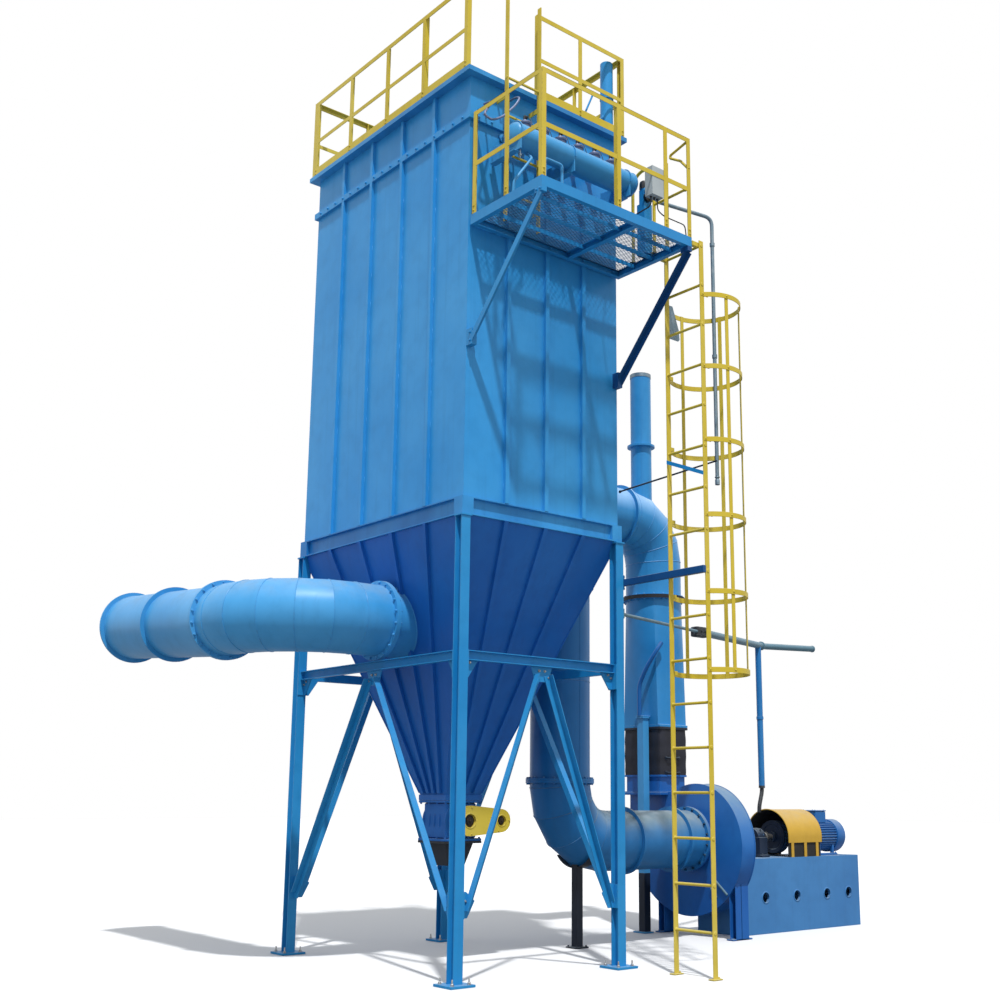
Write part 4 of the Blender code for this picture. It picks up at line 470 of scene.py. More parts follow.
def bent(points, radius, steps=7):
    """A route through points with its corners rounded: each corner is a quadratic curve between the places that lie
    the radius before and after it."""
    points = np.asarray(points, float)
    route = [points[:1]]
    share = np.linspace(0, 1, steps)[:, None]
    for before, corner, after in zip(points, points[1:], points[2:]):
        enter = corner + (before - corner) / np.linalg.norm(before - corner) * radius
        leave = corner + (after - corner) / np.linalg.norm(after - corner) * radius
        route.append((1 - share) ** 2 * enter + 2 * share * (1 - share) * corner + share ** 2 * leave)
    return np.concatenate([*route, points[-1:]])


def block(low, high, edge=0.003):
    """A box whose edges are taken off: an eight-sided outline, drawn in towards its middle at its top and bottom."""
    low, high = np.asarray(low, float), np.asarray(high, float)
    half, middle = (high - low) / 2, (low + high) / 2
    x, y, cut = half[0], half[1], min(edge, *(half * 0.9))
    outline = np.array([(x - cut, -y), (x, cut - y), (x, y - cut), (x - cut, y),
                        (cut - x, y), (-x, y - cut), (-x, cut - y), (cut - x, -y)])
    shrunk = outline * (1 - cut / half[:2])
    rows = [(shrunk, -half[2]), (outline, cut - half[2]), (outline, half[2] - cut), (shrunk, half[2])]
    return np.stack([np.column_stack([line, np.full(8, z)]) for line, z in rows]) + middle


def slab(x, y, half_x, half_y, low, high, edge=0.003):
    """A block about an upright axis, from its half sides and its two levels."""
    return block((x - half_x, y - half_y, low), (x + half_x, y + half_y, high), edge)


def four(x, y, z, half_x, half_y):
    """The corners of a level oblong about a place."""
    return [(x + a * half_x, y + b * half_y, z) for a in (-1, 1) for b in (-1, 1)]


def carried(outline, path, side, rise):
    """A closed outline of (side, rise) pairs carried along a path without turning."""
    outline, side, rise = np.asarray(outline, float), np.asarray(side, float), np.asarray(rise, float)
    section = outline[:, :1] * side + outline[:, 1:] * rise
    return np.asarray(path, float)[:, None] + section[None]


def flecked(name, color, roughness, metallic, layers, grain=None, depth=0.0):
    """A finish with flecks. A layer is (scale, detail, low, high, most, colour, roughness): it lies where a noise of
    that scale passes from low to high. The bump follows a second noise, the grain."""
    coat = Layers(name, color, roughness, metallic)
    for scale, detail, low, high, most, fleck, rough in layers:
        coat.over(coat.ramp(coat.noise(scale, detail), low, high, 0.0, most), (*fleck, 1.0), rough)
    if grain:
        coat.bump(coat.noise(*grain), depth)
    return coat.done()


roof_paint = enamel("roof_enamel", ROOF_BLUE, HOUSING_FADED, streaks=0.25, dust=0.8, chips=0.5)
seal_rubber = flecked("seal_rubber", SEAL_COLOR, 0.72, 0.0, [(30.0, 4.0, 0.45, 0.7, 0.35, DUST_COLOR[:3], 0.9)],
                      (400.0, 2.0), 0.0002)
wear(roof_paint, "roof_deck")
cover_wide = (wall_wide - (COVER_COLUMNS + 1) * COVER_GAP) / COVER_COLUMNS
cover_deep = (wall_deep - COVER_FRONT - COVER_ROWS * COVER_GAP) / COVER_ROWS
cover_x = COVER_GAP + np.arange(COVER_COLUMNS) * (cover_wide + COVER_GAP)
cover_y = COVER_FRONT + np.arange(COVER_ROWS) * (cover_deep + COVER_GAP)
cover_corner = xyz(cover_x, cover_y[:, None], ROOF_TOP).reshape(-1, 3)
base = block((-0.045, -0.020, -0.002), (-0.004, 0.020, 0.016))
lever = tube(bent(LEVER_ROUTE, 0.018), 0.006, 8, (0, 1, 0))
hand = tube(HAND_ROUTE, 0.005, 8, (0, 1, 0))
clamps = []
for across, mirror in ((0.0, 1), (cover_wide, -1)):
    for share in (CLAMP_INSET, cover_deep - CLAMP_INSET):
        foot = cover_corner + (across, share, 0)
        clamps += [part * (mirror, 1, 1) + foot[:, None, None] for part in (base, lever, hand)]
piece("roof_clamps", roof_paint, clamps)
seal_outline = xyz((0, cover_wide, cover_wide, 0), (0, 0, cover_deep, cover_deep), 0.006)
outward = xyz((-1, 1, 1, -1), (-1, -1, 1, 1), 0) * SEAL_WIDE
seal_rows = [seal_outline + outward * a + (0, 0, h) for a, h in ((0, -0.007), (1, -0.007), (1, 0.004), (0, 0.004))]
seals = np.stack(seal_rows, axis=1) + cover_corner[:, None, None]
piece("roof_cover_seals", seal_rubber, rings=[seals])
post_low, post_high = map(np.array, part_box("roof_post"))
post_foot = (*((post_low[:2] + post_high[:2]) / 2), post_low[2])
r, tall = (post_high[0] - post_low[0]) / 2, post_high[2] - post_low[2]
post = [(r, 0.0), (r, tall - 0.012), (r - 0.006, tall - 0.004), (r - 0.014, tall), (r - 0.020, tall - 0.05)]
collar = [(r, 0.45), (r + 0.006, 0.455), (r + 0.006, 0.495), (r, 0.50)]
solids = [part + post_foot for part in (turned(post, 40), turned(collar, 40), block((-r, -r, 0.0), (r, r, 0.012)))]
solids += [tube(np.linspace(*ends, 12), STAY_RADIUS, 8) for ends in STAYS]
piece("roof_post_tube", housing_paint, solids, replaces=["roof_post"])


# The ring beam and the hopper: rolled channel under the walls, and a ribbed funnel of sheet steel whose four corners
# are welded from outside. They lie in the housing's shade, in a deeper blue.
BEAM_BLUE = (0.010, 0.170, 0.480)
HOPPER_BLUE = (0.010, 0.125, 0.480)
HOPPER_FADED = (0.018, 0.160, 0.540)
OUTLET_SIDE = 0.40
CORNER_BEAD = 0.008
BEAM_BOTTOM = 4.15
HOPPER_TALL = 2.59
SEAM_ENDS = (4.03, 1.63)
STITCHED = (0.02, 0.62)


def bead(path, radius, ripple=0.012, columns=6):
    """A weld along a path: a round bar whose radius swells once every ripple, like the scales of a weld."""
    path = np.asarray(path, float)
    steps = np.linalg.norm(np.diff(path, axis=0), axis=1)
    travel = np.concatenate([[0], np.cumsum(steps)])
    marks = np.arange(0, travel[-1], ripple / 2)
    line = np.column_stack([np.interp(marks, travel, path[:, i]) for i in range(3)])
    swell = radius * (1 + 0.14 * np.cos(np.arange(len(marks)) * np.pi))
    return tube(line, swell, columns, (0.31, 0.17, 0.93))


def on_hopper(x, y, z):
    """A place on the hopper's walls at a height, where x and y are shares of its width and its depth there."""
    inset = (BEAM_BOTTOM - z) / HOPPER_TALL * (wall_size - OUTLET_SIDE) / 2
    return np.array((*(inset + (wall_size - 2 * inset) * (x, y)), z))


beam_paint = enamel("beam_enamel", BEAM_BLUE, HOUSING_FADED, streaks=0.3, dust=0.7, chips=0.6)
hopper_paint = enamel("hopper_enamel", HOPPER_BLUE, HOPPER_FADED, streaks=0.35, dust=0.3, chips=0.4)
wear(beam_paint, "ring_beam")
wear(hopper_paint, "hopper")
spots = [(x, i / SIDE_BAYS, (0, side, 0)) for side in (-1, 1) for i in range(1, SIDE_BAYS) for x in (0, 1)]
spots += [(i / FRONT_BAYS, y, (side, 0, 0)) for side in (-1, 1) for i in range(1, FRONT_BAYS) for y in (0, 1)]
heads, feet = (np.array([on_hopper(x, y, z) + np.array(way) * RIB_WIDTH / 2 for x, y, way in spots]) for z in SEAM_ENDS)
seams = stitches(*(heads + (feet - heads) * share for share in STITCHED))
corners = [bead([on_hopper(x, y, z) for z in SEAM_ENDS], CORNER_BEAD) for x in (0, 1) for y in (0, 1)]
piece("hopper_welds", hopper_paint, [seams, *corners])


# The legs are rolled H sections on base plates with anchor bolts. Channel ties and pairs of angles in upside-down Vs
# brace them on all sides, bolted through gusset plates.
LEG_BLUE = (0.012, 0.235, 0.560)
LEG_FADED = (0.030, 0.290, 0.620)
BOLT_ZINC = (0.42, 0.43, 0.43)
BOLT_RUST = (0.17, 0.11, 0.07)
ANCHOR_SIZE = 0.014
ANCHOR_INSET = 0.09
BASE_PLATE_TOP = 0.020
GUSSET_BOLT = 0.010
LEG_GUSSET_BOLTS = ((0.075, -0.14), (0.115, -0.11))
TOP_GUSSET_BOLTS = ((0.075, -0.19), (0.035, -0.13))
FOOT_GUSSET_BOLTS = ((0.075, 0.64), (0.105, 0.70))

leg_paint = enamel("leg_enamel", LEG_BLUE, LEG_FADED, streaks=0.35, dust=0.5, chips=0.9)
wear(leg_paint, *(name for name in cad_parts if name.startswith(("leg_", "tie_", "brace_"))))
leg_centres = np.array([np.mean(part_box(name), axis=0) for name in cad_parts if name.startswith("leg_")])
anchors = np.concatenate([four(x, y, BASE_PLATE_TOP, ANCHOR_INSET, ANCHOR_INSET) for x, y, _ in leg_centres])
stud = turned([(ANCHOR_SIZE * 0.5, 0.0), (ANCHOR_SIZE * 0.5, 0.050), (ANCHOR_SIZE * 0.35, 0.054)], 8)
bolt_steel = flecked("bolt_zinc", BOLT_ZINC, 0.42, 0.85, [(45.0, 4.0, 0.50, 0.68, 0.7, BOLT_RUST, 0.8)],
                     (500.0, 2.0), 0.0001)
piece("anchor_bolts", bolt_steel, [stamped(stud, anchors), *bolts(anchors, (0, 0, 1), ANCHOR_SIZE)])

gussets = []
tie_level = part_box("tie_front")[1][2]
frame_low, frame_high = leg_centres.min(axis=0), leg_centres.max(axis=0)
for axis in (0, 1):
    start, end = frame_low[axis], frame_high[axis]
    order = [axis, 1 - axis, 2]
    high = [(at, z) for gap, z in LEG_GUSSET_BOLTS for at in (start + gap, end - gap)]
    high += [((start + end) / 2 + gap * way, z) for gap, z in TOP_GUSSET_BOLTS for way in (-1, 1)]
    low = [(at, z) for gap, z in FOOT_GUSSET_BOLTS for at in (start + gap, end - gap)]
    for side, across in ((-1, frame_low[1 - axis]), (1, frame_high[1 - axis])):
        for spots, level, inset in ((high, tie_level, 0.014), (low, 0.0, 0.007)):
            places = np.array([(at, across - side * inset, level + z) for at, z in spots])
            gussets += bolts(places[:, order], np.array((0, side, 0))[order], GUSSET_BOLT)
piece("gusset_bolts", bolt_steel, gussets)


# The inlet duct: rolled sheet in mitred gores that bend a quarter turn from the hopper, with ring flanges bolted face
# to face. Every gore is welded round; the light-blue enamel is the brightest on the machine.
DUCT_BLUE = (0.045, 0.300, 0.640)
DUCT_FADED = (0.080, 0.360, 0.700)
INLET_RADIUS = 0.355
INLET_WALL = 0.006
INLET_LEVEL = 3.31
INLET_STUB_X = 0.04
INLET_BEFORE_BEND = 0.30
INLET_AFTER_BEND = 0.15
INLET_RUN_X = -1.10
INLET_RUN_END = (-1.10, 4.75, 3.46)
INLET_GORES = 5
FLANGE_PROUD = 0.045
FLANGE_THICK = 0.024
FLANGE_BOLT = 0.012
FLANGE_BOLTS = 20
DUCT_COLUMNS = 72
SEAM_BEAD = 0.0045
FILLET = 0.009
SEAT_GAP = 0.0003


def stations(path, radius, flanges=()):
    """The rings of a duct's outside, one row each: the centre, the way that the duct comes in, the normal of the
    plane that cuts it there, and the radius. A flange is (stretch, distance along it); None is the stretch's end."""
    path = np.asarray(path, float)
    ways = np.diff(path, axis=0)
    ways /= np.linalg.norm(ways, axis=1, keepdims=True)
    rows, wide = [], radius + FLANGE_PROUD
    for i, here in enumerate(path):
        into, out = ways[max(i - 1, 0)], ways[min(i, len(ways) - 1)]
        if i == len(ways):
            if (i - 1, None) in flanges:
                back = here - into * FLANGE_THICK
                rows += [(back, into, into, radius), (back, into, into, wide), (here, into, into, wide)]
            rows.append((here, into, into, radius))
            continue
        rows.append((here, into, into + out, radius))
        for spot in sorted(spot for stretch, spot in flanges if stretch == i and spot is not None):
            a, b = here + out * spot, here + out * (spot + FLANGE_THICK)
            rows += [(a, out, out, radius), (a, out, out, wide), (b, out, out, wide), (b, out, out, radius)]
    return rows


def mitred(rows, up, columns=DUCT_COLUMNS):
    """The points of a duct's rings: a circle about the incoming way, slid along it until it lies in the plane."""
    centre, way, plane, radius = (np.array(part, float) for part in zip(*rows))
    side = np.cross(way, np.asarray(up, float))
    side /= np.linalg.norm(side, axis=1, keepdims=True)
    rise = np.cross(side, way)
    angle = np.arange(columns) * 2 * np.pi / columns
    ring = np.cos(angle)[None, :, None] * side[:, None] + np.sin(angle)[None, :, None] * rise[:, None]
    ring = ring * radius[:, None, None]
    slide = -np.einsum("rcj,rj->rc", ring, plane) / np.einsum("rj,rj->r", way, plane)[:, None]
    return centre[:, None] + ring + slide[..., None] * way[:, None]


def open_duct(path, radius, wall, flanges=(), up=(0, 0, 1), columns=DUCT_COLUMNS):
    """A duct of thin sheet, open at both ends: its outside rows, then its inside rows back to the start."""
    outside = mitred(stations(path, radius, flanges), up, columns)
    inside = mitred(stations(path, radius - wall), up, columns)
    return np.concatenate([outside, inside[::-1]])


def weld_ring(ring, out, way, size, ripple=0.15):
    """A weld round a ring of points: a six-sided bar in the plane of out and way, which swells like scales."""
    angle = np.arange(6) * np.pi / 3
    swell = size * (1 + ripple * np.cos(np.arange(ring.shape[-2]) * np.pi))
    way = np.asarray(way, float)[..., None, None, :]
    section = np.cos(angle)[:, None] * out[..., None, :] + np.sin(angle)[:, None] * way
    return ring[..., None, :] + swell[:, None, None] * section


def seam_beads(path, radius, up=(0, 0, 1), height=SEAM_BEAD):
    """The welds round a duct's mitres, each square to the way that the duct comes in there."""
    rows = stations(path, radius)[1:-1]
    ring = mitred(rows, up, 120)
    centre, way = (np.array([row[i] for row in rows]) for i in (0, 1))
    out = ring - centre[:, None]
    out -= np.einsum("rcj,rj->rc", out, way)[..., None] * way[:, None]
    out /= np.linalg.norm(out, axis=-1, keepdims=True)
    return weld_ring(ring, out, way, height)


def hoop_bead(centre, axis, radius, size, columns):
    """A weld in a circle about an axis."""
    angle = np.arange(columns) * 2 * np.pi / columns
    out = xyz(np.cos(angle), np.sin(angle), 0) @ frames(np.asarray(axis, float)[None])[0].T
    return weld_ring(np.asarray(centre, float) + out * radius, out, axis, size)


def flange_bolts(centre, axis, radius, count=FLANGE_BOLTS, size=FLANGE_BOLT, thick=FLANGE_THICK):
    """Bolts round a ring flange, half its rim in: heads beyond the plane at centre + axis, nuts on its far side."""
    centre, axis = np.asarray(centre, float), np.asarray(axis, float)
    angle = (np.arange(count) + 0.5) * 2 * np.pi / count
    circle = (radius + FLANGE_PROUD * 0.55) * xyz(np.cos(angle), np.sin(angle), 0) @ frames(axis[None])[0].T + centre
    return bolts(circle + axis * thick, axis, size) + bolts(circle - axis * thick, -axis, size)


duct_paint = enamel("duct_enamel", DUCT_BLUE, DUCT_FADED, streaks=0.30, dust=0.55, chips=0.5, waves=0.0008)
axle_y = wall_deep / 2
bend_x = INLET_STUB_X - INLET_BEFORE_BEND
elbow_radius = bend_x - INLET_RUN_X
bend = np.linspace(0, np.pi / 2, INLET_GORES + 1)
arc = xyz(bend_x - elbow_radius * np.sin(bend), axle_y + elbow_radius - elbow_radius * np.cos(bend), INLET_LEVEL)
elbow_end = arc[-1] + (0, INLET_AFTER_BEND, 0)
inlet_path = np.vstack([(INLET_STUB_X - SEAT_GAP, axle_y, INLET_LEVEL), arc, elbow_end])
elbow = open_duct(inlet_path, INLET_RADIUS, INLET_WALL, ((0, 0.0), (len(inlet_path) - 2, None)))
piece("inlet_elbow_gores", duct_paint, rings=[elbow, *seam_beads(inlet_path, INLET_RADIUS)],
      replaces=["inlet_elbow"], crease=14.0)
run_start = elbow_end + (0, SEAT_GAP, 0)
run_end = np.array(INLET_RUN_END)
run_path = np.array([run_start, run_start + (0, 0.10, 0), run_end - (0, 0.06, 0), run_end])
run_middle = np.linalg.norm(run_path[2] - run_path[1]) / 2
run = open_duct(run_path, INLET_RADIUS, INLET_WALL, ((0, 0.0), (1, run_middle), (2, None)))
piece("inlet_run_pipe", duct_paint, rings=[run, *seam_beads(run_path, INLET_RADIUS)],
      replaces=["inlet_run"], crease=14.0)

# The stub's far end is cut to the hopper's sloping wall and welded to it.
lean = (wall_wide - OUTLET_SIDE) / 2 / HOPPER_TALL
angle = np.arange(DUCT_COLUMNS) * 2 * np.pi / DUCT_COLUMNS
wide, inner, stub_rows = INLET_RADIUS + FLANGE_PROUD, INLET_RADIUS - INLET_WALL, []
for radius, x in ((wide, 0.0), (wide, FLANGE_THICK), (INLET_RADIUS, FLANGE_THICK), (INLET_RADIUS, None),
                  (inner, None), (inner, 0.0)):
    y, z = axle_y + radius * np.cos(angle), INLET_LEVEL + radius * np.sin(angle)
    slope = np.maximum((BEAM_BOTTOM - z) * lean + 0.001, INLET_STUB_X + FLANGE_THICK + 0.004)
    stub_rows.append(xyz(slope if x is None else INLET_STUB_X + x, y, z))
fillet = weld_ring(stub_rows[3], xyz(0, np.cos(angle), np.sin(angle)), (1, 0, 0), FILLET, ripple=0.0)
piece("inlet_stub", duct_paint, rings=[np.stack(stub_rows), fillet], replaces=["hopper_inlet"],
      crease=30.0)
inlet_bolts = flange_bolts((INLET_STUB_X, axle_y, INLET_LEVEL), (1, 0, 0), INLET_RADIUS)
piece("inlet_flange_bolts", duct_paint, inlet_bolts + flange_bolts(elbow_end, (0, 1, 0), INLET_RADIUS))


# The rotary valve under the hopper: an iron casting with ribs round its drum, a square flange at each end, and bolted
# end covers that hold the rotor's bearings. The dark sheet spout hangs under it on the same bolts.
VALVE_RADIUS = 0.19
VALVE_FLANGE = 0.025
VALVE_COVER = 0.03
VALVE_RIBS = (-0.085, 0.0, 0.085)
COVER_RADIUS = 0.16
COVER_BOLTS = 8
NECK_SIDE = 0.38
SPOUT_COLOR = (0.018, 0.024, 0.034)
SPOUT_FADED = (0.030, 0.036, 0.046)
IRON_BLUE = (0.010, 0.110, 0.400)


def laid(profile, columns, place, direction):
    """A turned profile with its foot at a place and its axis along a direction."""
    return stamped(turned(profile, columns), [place], [direction])[0]


iron_paint = enamel("valve_enamel", IRON_BLUE, HOPPER_FADED, streaks=0.3, dust=0.7, chips=0.8, waves=0.0003,
                    roughness=0.5)
spout_paint = enamel("spout_enamel", SPOUT_COLOR, SPOUT_FADED, streaks=0.2, dust=0.9, chips=0.7)
wear(spout_paint, "discharge_spout")
valve_low, valve_high = map(np.array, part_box("rotary_valve"))
valve_middle = (valve_low + valve_high) / 2
half = (valve_high[1] - valve_low[1]) / 2 - VALVE_COVER
r, rib, rim = VALVE_RADIUS, VALVE_RADIUS + 0.012, VALVE_RADIUS + 0.014
drum = [(rim - 0.004, -half), (rim, 0.004 - half), (rim, 0.020 - half), (r, 0.026 - half)]
drum += [(reach, at + y) for at in VALVE_RIBS for reach, y in ((r, -0.012), (rib, -0.006), (rib, 0.006), (r, 0.012))]
drum += [(r, half - 0.026), (rim, half - 0.020), (rim, half - 0.004), (rim - 0.004, half)]
solids = [laid(drum, 64, valve_middle, (0, 1, 0))]
cover = [(COVER_RADIUS, 0.0), (COVER_RADIUS, 0.016), (COVER_RADIUS - 0.006, 0.020), (0.085, 0.022), (0.080, 0.030),
         (0.02, 0.030)]
angle = (np.arange(COVER_BOLTS) + 0.5) * 2 * np.pi / COVER_BOLTS
for way in (-1, 1):
    solids.append(laid(cover, 48, valve_middle + (0, way * half, 0), (0, way, 0)))
    ring = valve_middle + xyz(0.138 * np.cos(angle), way * (half + 0.018), 0.138 * np.sin(angle))
    solids += bolts(ring, (0, way, 0), 0.010)
neck = NECK_SIDE / 2
solids.append(block(valve_middle - (neck, neck, 0.175), valve_middle + (neck, neck, 0.175), 0.012))
side = (valve_high[0] - valve_low[0]) / 2 - 0.018
spread = np.linspace(-side, side, 4)
square = [(x, s * side) for s in (-1, 1) for x in spread] + [(s * side, y) for s in (-1, 1) for y in spread[1:3]]
for low, under in ((valve_low[2], 1), (valve_high[2] - VALVE_FLANGE, 0)):
    solids.append(block((*valve_low[:2], low), (*valve_high[:2], low + VALVE_FLANGE), 0.004))
    places = xyz(*(square + valve_middle[:2]).T, low + VALVE_FLANGE * under)
    solids += bolts(places, (0, 0, 1 if under else -1), 0.010)
piece("rotary_valve_casting", iron_paint, solids, replaces=["rotary_valve"])


# The chain guard in front of the valve: a yellow sheet cover over two sprockets, with their dark hubs showing in the
# round recesses. Behind it hangs the light grey gear motor on its bracket.
YELLOW = (0.600, 0.450, 0.030)
YELLOW_FADED = (0.660, 0.520, 0.085)
GREY_PAINT = (0.40, 0.45, 0.47)
GREY_FADED = (0.46, 0.50, 0.50)
HUB_COLOR = (0.020, 0.018, 0.016)
HUB_RUST = (0.10, 0.055, 0.030)
LARGE_HUB = 0.07
SMALL_HUB = 0.055
HUB_PITCH = 0.40
GUARD_BOLTS = ((0.02, 0, 0.128), (0.02, 0, -0.128), (0.36, 0, 0.098), (0.36, 0, -0.098), (-0.130, 0, 0), (0.498, 0, 0))
GEARBOX_SIDE = 0.17
GEAR_MOTOR_RADIUS = 0.085


def finned(radius, deep, fins, start, length, direction=(0, 1, 0)):
    """A motor's finned frame: a closed outline whose radius steps in and out round the axis, carried along it."""
    turn = np.arange(fins * 4) * 2 * np.pi / (fins * 4)
    reach = radius - deep * (np.arange(fins * 4) % 4 >= 2)
    way = np.asarray(direction, float)
    side = np.array((0, 0, 1.0))
    path = np.asarray(start, float) + np.array([[0.0], [length]]) * way
    return carried(np.column_stack([reach * np.cos(turn), reach * np.sin(turn)]), path, side, np.cross(way, side))


yellow_paint = enamel("yellow_enamel", YELLOW, YELLOW_FADED, streaks=0.25, dust=0.5, chips=1.0, waves=0.0004,
                      roughness=0.42)
grey_paint = enamel("grey_enamel", GREY_PAINT, GREY_FADED, streaks=0.4, dust=0.6, chips=0.6, waves=0.0003)
hub_iron = flecked("hub_iron", HUB_COLOR, 0.55, 0.6, [(40.0, 4.0, 0.45, 0.65, 0.6, HUB_RUST, 0.85)],
                   (300.0, 3.0), 0.0002)
wear(yellow_paint, "chain_guard")
large_hub = np.array((valve_middle[0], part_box("chain_guard")[0][1], valve_middle[2]))
small_hub = large_hub + (HUB_PITCH, 0, 0)
lips, hubs = [], []
for place, r in ((large_hub, LARGE_HUB), (small_hub, SMALL_HUB)):
    lip = [(r - 0.002, 0.001), (r - 0.002, 0.004), (r + 0.004, 0.005), (r + 0.008, 0.001)]
    lips.append(laid(lip, 40, place, (0, -1, 0)))
    boss = [(r - 0.010, -0.001), (r - 0.010, 0.004), (r * 0.55, 0.006), (r * 0.55, 0.016), (r * 0.40, 0.018)]
    hubs.append(laid(boss, 32, place + (0, 0.020, 0), (0, -1, 0)))
    hubs += bolts(place + (0, 0.003, 0), (0, -1, 0), r * 0.16)
piece("chain_guard_lips", yellow_paint, rings=lips)
piece("sprocket_hubs", hub_iron, hubs)
piece("chain_guard_bolts", yellow_paint, bolts(large_hub + GUARD_BOLTS, (0, -1, 0), 0.007))
motor_low, motor_high = map(np.array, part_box("gear_motor"))
box_half = GEARBOX_SIDE / 2
gear_x, front, level = small_hub[0], motor_low[1], valve_middle[2]
motor_start, top, r = front + GEARBOX_SIDE, level + box_half, GEAR_MOTOR_RADIUS
solids = [block((gear_x - box_half, front, level - box_half), (gear_x + box_half, motor_start, top), 0.014)]
solids.append(finned(r - 0.004, 0.012, 22, (gear_x, motor_start + 0.020, level), motor_high[1] - motor_start - 0.085))
solids.append(laid([(r, 0.0), (r, 0.018), (r - 0.010, 0.024)], 40, (gear_x, motor_start, level), (0, 1, 0)))
cowl = r * 1.05
cowl_line = [(cowl, 0.0), (cowl, 0.048), (cowl - 0.010, 0.060), (cowl * 0.55, 0.064)]
solids.append(laid(cowl_line, 40, (gear_x, motor_high[1] - 0.066, level), (0, 1, 0)))
solids.append(slab(gear_x, motor_start + 0.100, 0.055, 0.050, level + 0.06, level + 0.125, 0.006))
left, low, high = motor_low[0], top - 0.002, top + 0.012
solids.append(block((gear_x - box_half, front, low), (gear_x + box_half, motor_high[1] - 0.07, high), 0.002))
solids.append(block((left, front, low), (gear_x, front + 0.12, high), 0.002))
solids.append(block((left, front, level - box_half), (left + 0.012, front + 0.12, top), 0.002))
solids += bolts(four(gear_x, front + 0.09, high, 0.05, 0.05), (0, 0, 1), 0.008)
piece("gear_motor_unit", grey_paint, solids, replaces=["gear_motor"])


# The service platform: a frame of rolled channel on two knee braces, bolted to the front wall, with a floor of
# expanded metal that lets the light through. Everything is painted with the machine.
PLATFORM_BLUE = (0.016, 0.230, 0.560)
MESH_BLUE = (0.014, 0.120, 0.300)
MESH_FADED = (0.020, 0.150, 0.340)
PLATFORM_WIDE = 1.97
PLATFORM_REACH = 1.095
PLATFORM_TOP = 7.10
PLATFORM_SEAT = PLATFORM_TOP + SEAT_GAP
DIAMOND_LONG = 0.066
DIAMOND_SHORT = 0.034
STRAND_WIDE = 0.0028
STRAND_TALL = 0.0034
STRAND_SWING = (0.06, 0.94)
BORDER_WIDE = 0.025
BORDER_TALL = 0.006
WALL_BOLT_X = (0.10, 0.55, 1.00, 1.45, 1.87)
WALL_BOLT_LEVEL = 7.05
KNEE_BOLTS = ((-0.058, 5.82), (-0.058, 5.90), (-1.02, 6.975), (-1.07, 6.975))

platform_paint = enamel("platform_enamel", PLATFORM_BLUE, LEG_FADED, streaks=0.25, dust=0.6, chips=0.7)
mesh_paint = enamel("mesh_enamel", MESH_BLUE, MESH_FADED, streaks=0.1, dust=0.7, chips=0.4, waves=0.0)
wear(platform_paint, "platform_frame", "knee_brace_left")
sheet_low, sheet_high = map(np.array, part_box("platform_grating"))
sheet_size = sheet_high - sheet_low
long_steps = int(round(sheet_size[0] / (DIAMOND_LONG / 2)))
lines = int(round(sheet_size[1] / (DIAMOND_SHORT / 2)))
along = np.linspace(sheet_low[0] + 0.001, sheet_high[0] - 0.001, long_steps + 1)
line, step = np.meshgrid(np.arange(lines), np.arange(long_steps + 1), indexing="ij")
wave = np.where((line + step) % 2 == 0, *STRAND_SWING)
across = sheet_low[1] + STRAND_WIDE + (line + wave) * (sheet_size[1] - STRAND_WIDE * 2) / lines
section = np.array([(0, -STRAND_WIDE, 0), (0, 0, -STRAND_TALL), (0, STRAND_WIDE, 0), (0, 0, STRAND_TALL)])
solids = [xyz(along, across, sheet_high[2] - STRAND_TALL)[:, :, None] + section]
(x0, y0, foot), (x1, y1, _) = sheet_low, sheet_high
for low, high in (((x0, y0), (x1, y0 + BORDER_WIDE)), ((x0, y1 - BORDER_WIDE), (x1, y1)),
                  ((x0, y0), (x0 + BORDER_WIDE, y1)), ((x1 - BORDER_WIDE, y0), (x1, y1))):
    solids.append(block((*low, foot), (*high, foot + BORDER_TALL), 0.001))
piece("platform_mesh_floor", mesh_paint, solids, replaces=["platform_grating"], crease=50.0)
wall_places = xyz(WALL_BOLT_X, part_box("platform_frame")[1][1] - 0.016, WALL_BOLT_LEVEL)
knees = [((x, y, z), (way, 0, 0)) for x, way in ((0.0, -1), (PLATFORM_WIDE, 1)) for y, z in KNEE_BOLTS]
solids = bolts(wall_places, (0, -1, 0), 0.011) + bolts(*zip(*knees), 0.010)
piece("platform_bolts", platform_paint, solids)


# The railings: posts and rails of rolled angle, welded up in runs and bolted to the platform's edge and the roof. At
# the platform's right end a pipe arch, a drop bar and its post make the gate to the ladder.
RAIL_LEG = 0.05
RAIL_FLAT = 0.006
RAIL_BOLT = 0.009
RAIL_BOLT_LEVELS = (0.030, 0.075)
RAIL_TALL = 1.08
RAIL_MIDDLE = 0.54
ROOF_RAIL_TALL = 0.95
ROOF_RAIL_MIDDLE = 0.46
ROOF_WELD_LENGTH = 0.044
PLATFORM_RUNS = (((0.0, -PLATFORM_REACH), (PLATFORM_WIDE, -PLATFORM_REACH), (0, 0.48, 0.83, 1), (0, -1)),
                 ((0.0, -1.0438), (0.0, -0.055), (0, 0.5, 1), (-1, 0)))
ROOF_RUNS = (((0.80, -0.07), (2.04, -0.07), (0, 0.5, 1), (0, -1)),
             ((-0.07, 2.97), (2.04, 2.97), (0, 0.333, 0.667, 1), (0, 1)),
             ((-0.07, -0.0188), (-0.07, 2.9188), (0, 0.25, 0.5, 0.75, 1), (-1, 0)),
             ((2.04, -0.0188), (2.04, 2.9188), (0, 0.25, 0.5, 0.75, 1), (1, 0)))
GRIP = ((1.945, -1.092, 8.15), (1.945, -0.845, 8.09), (1.945, -0.84, 8.06), (1.945, -0.985, 7.97),
        (1.945, -1.092, 7.84))
ARCH_BAR = 0.017
ARCH_NEAR = -0.59
ARCH_FAR = -0.28
ARCH_TOP = 8.09
DROP_BAR = 0.014
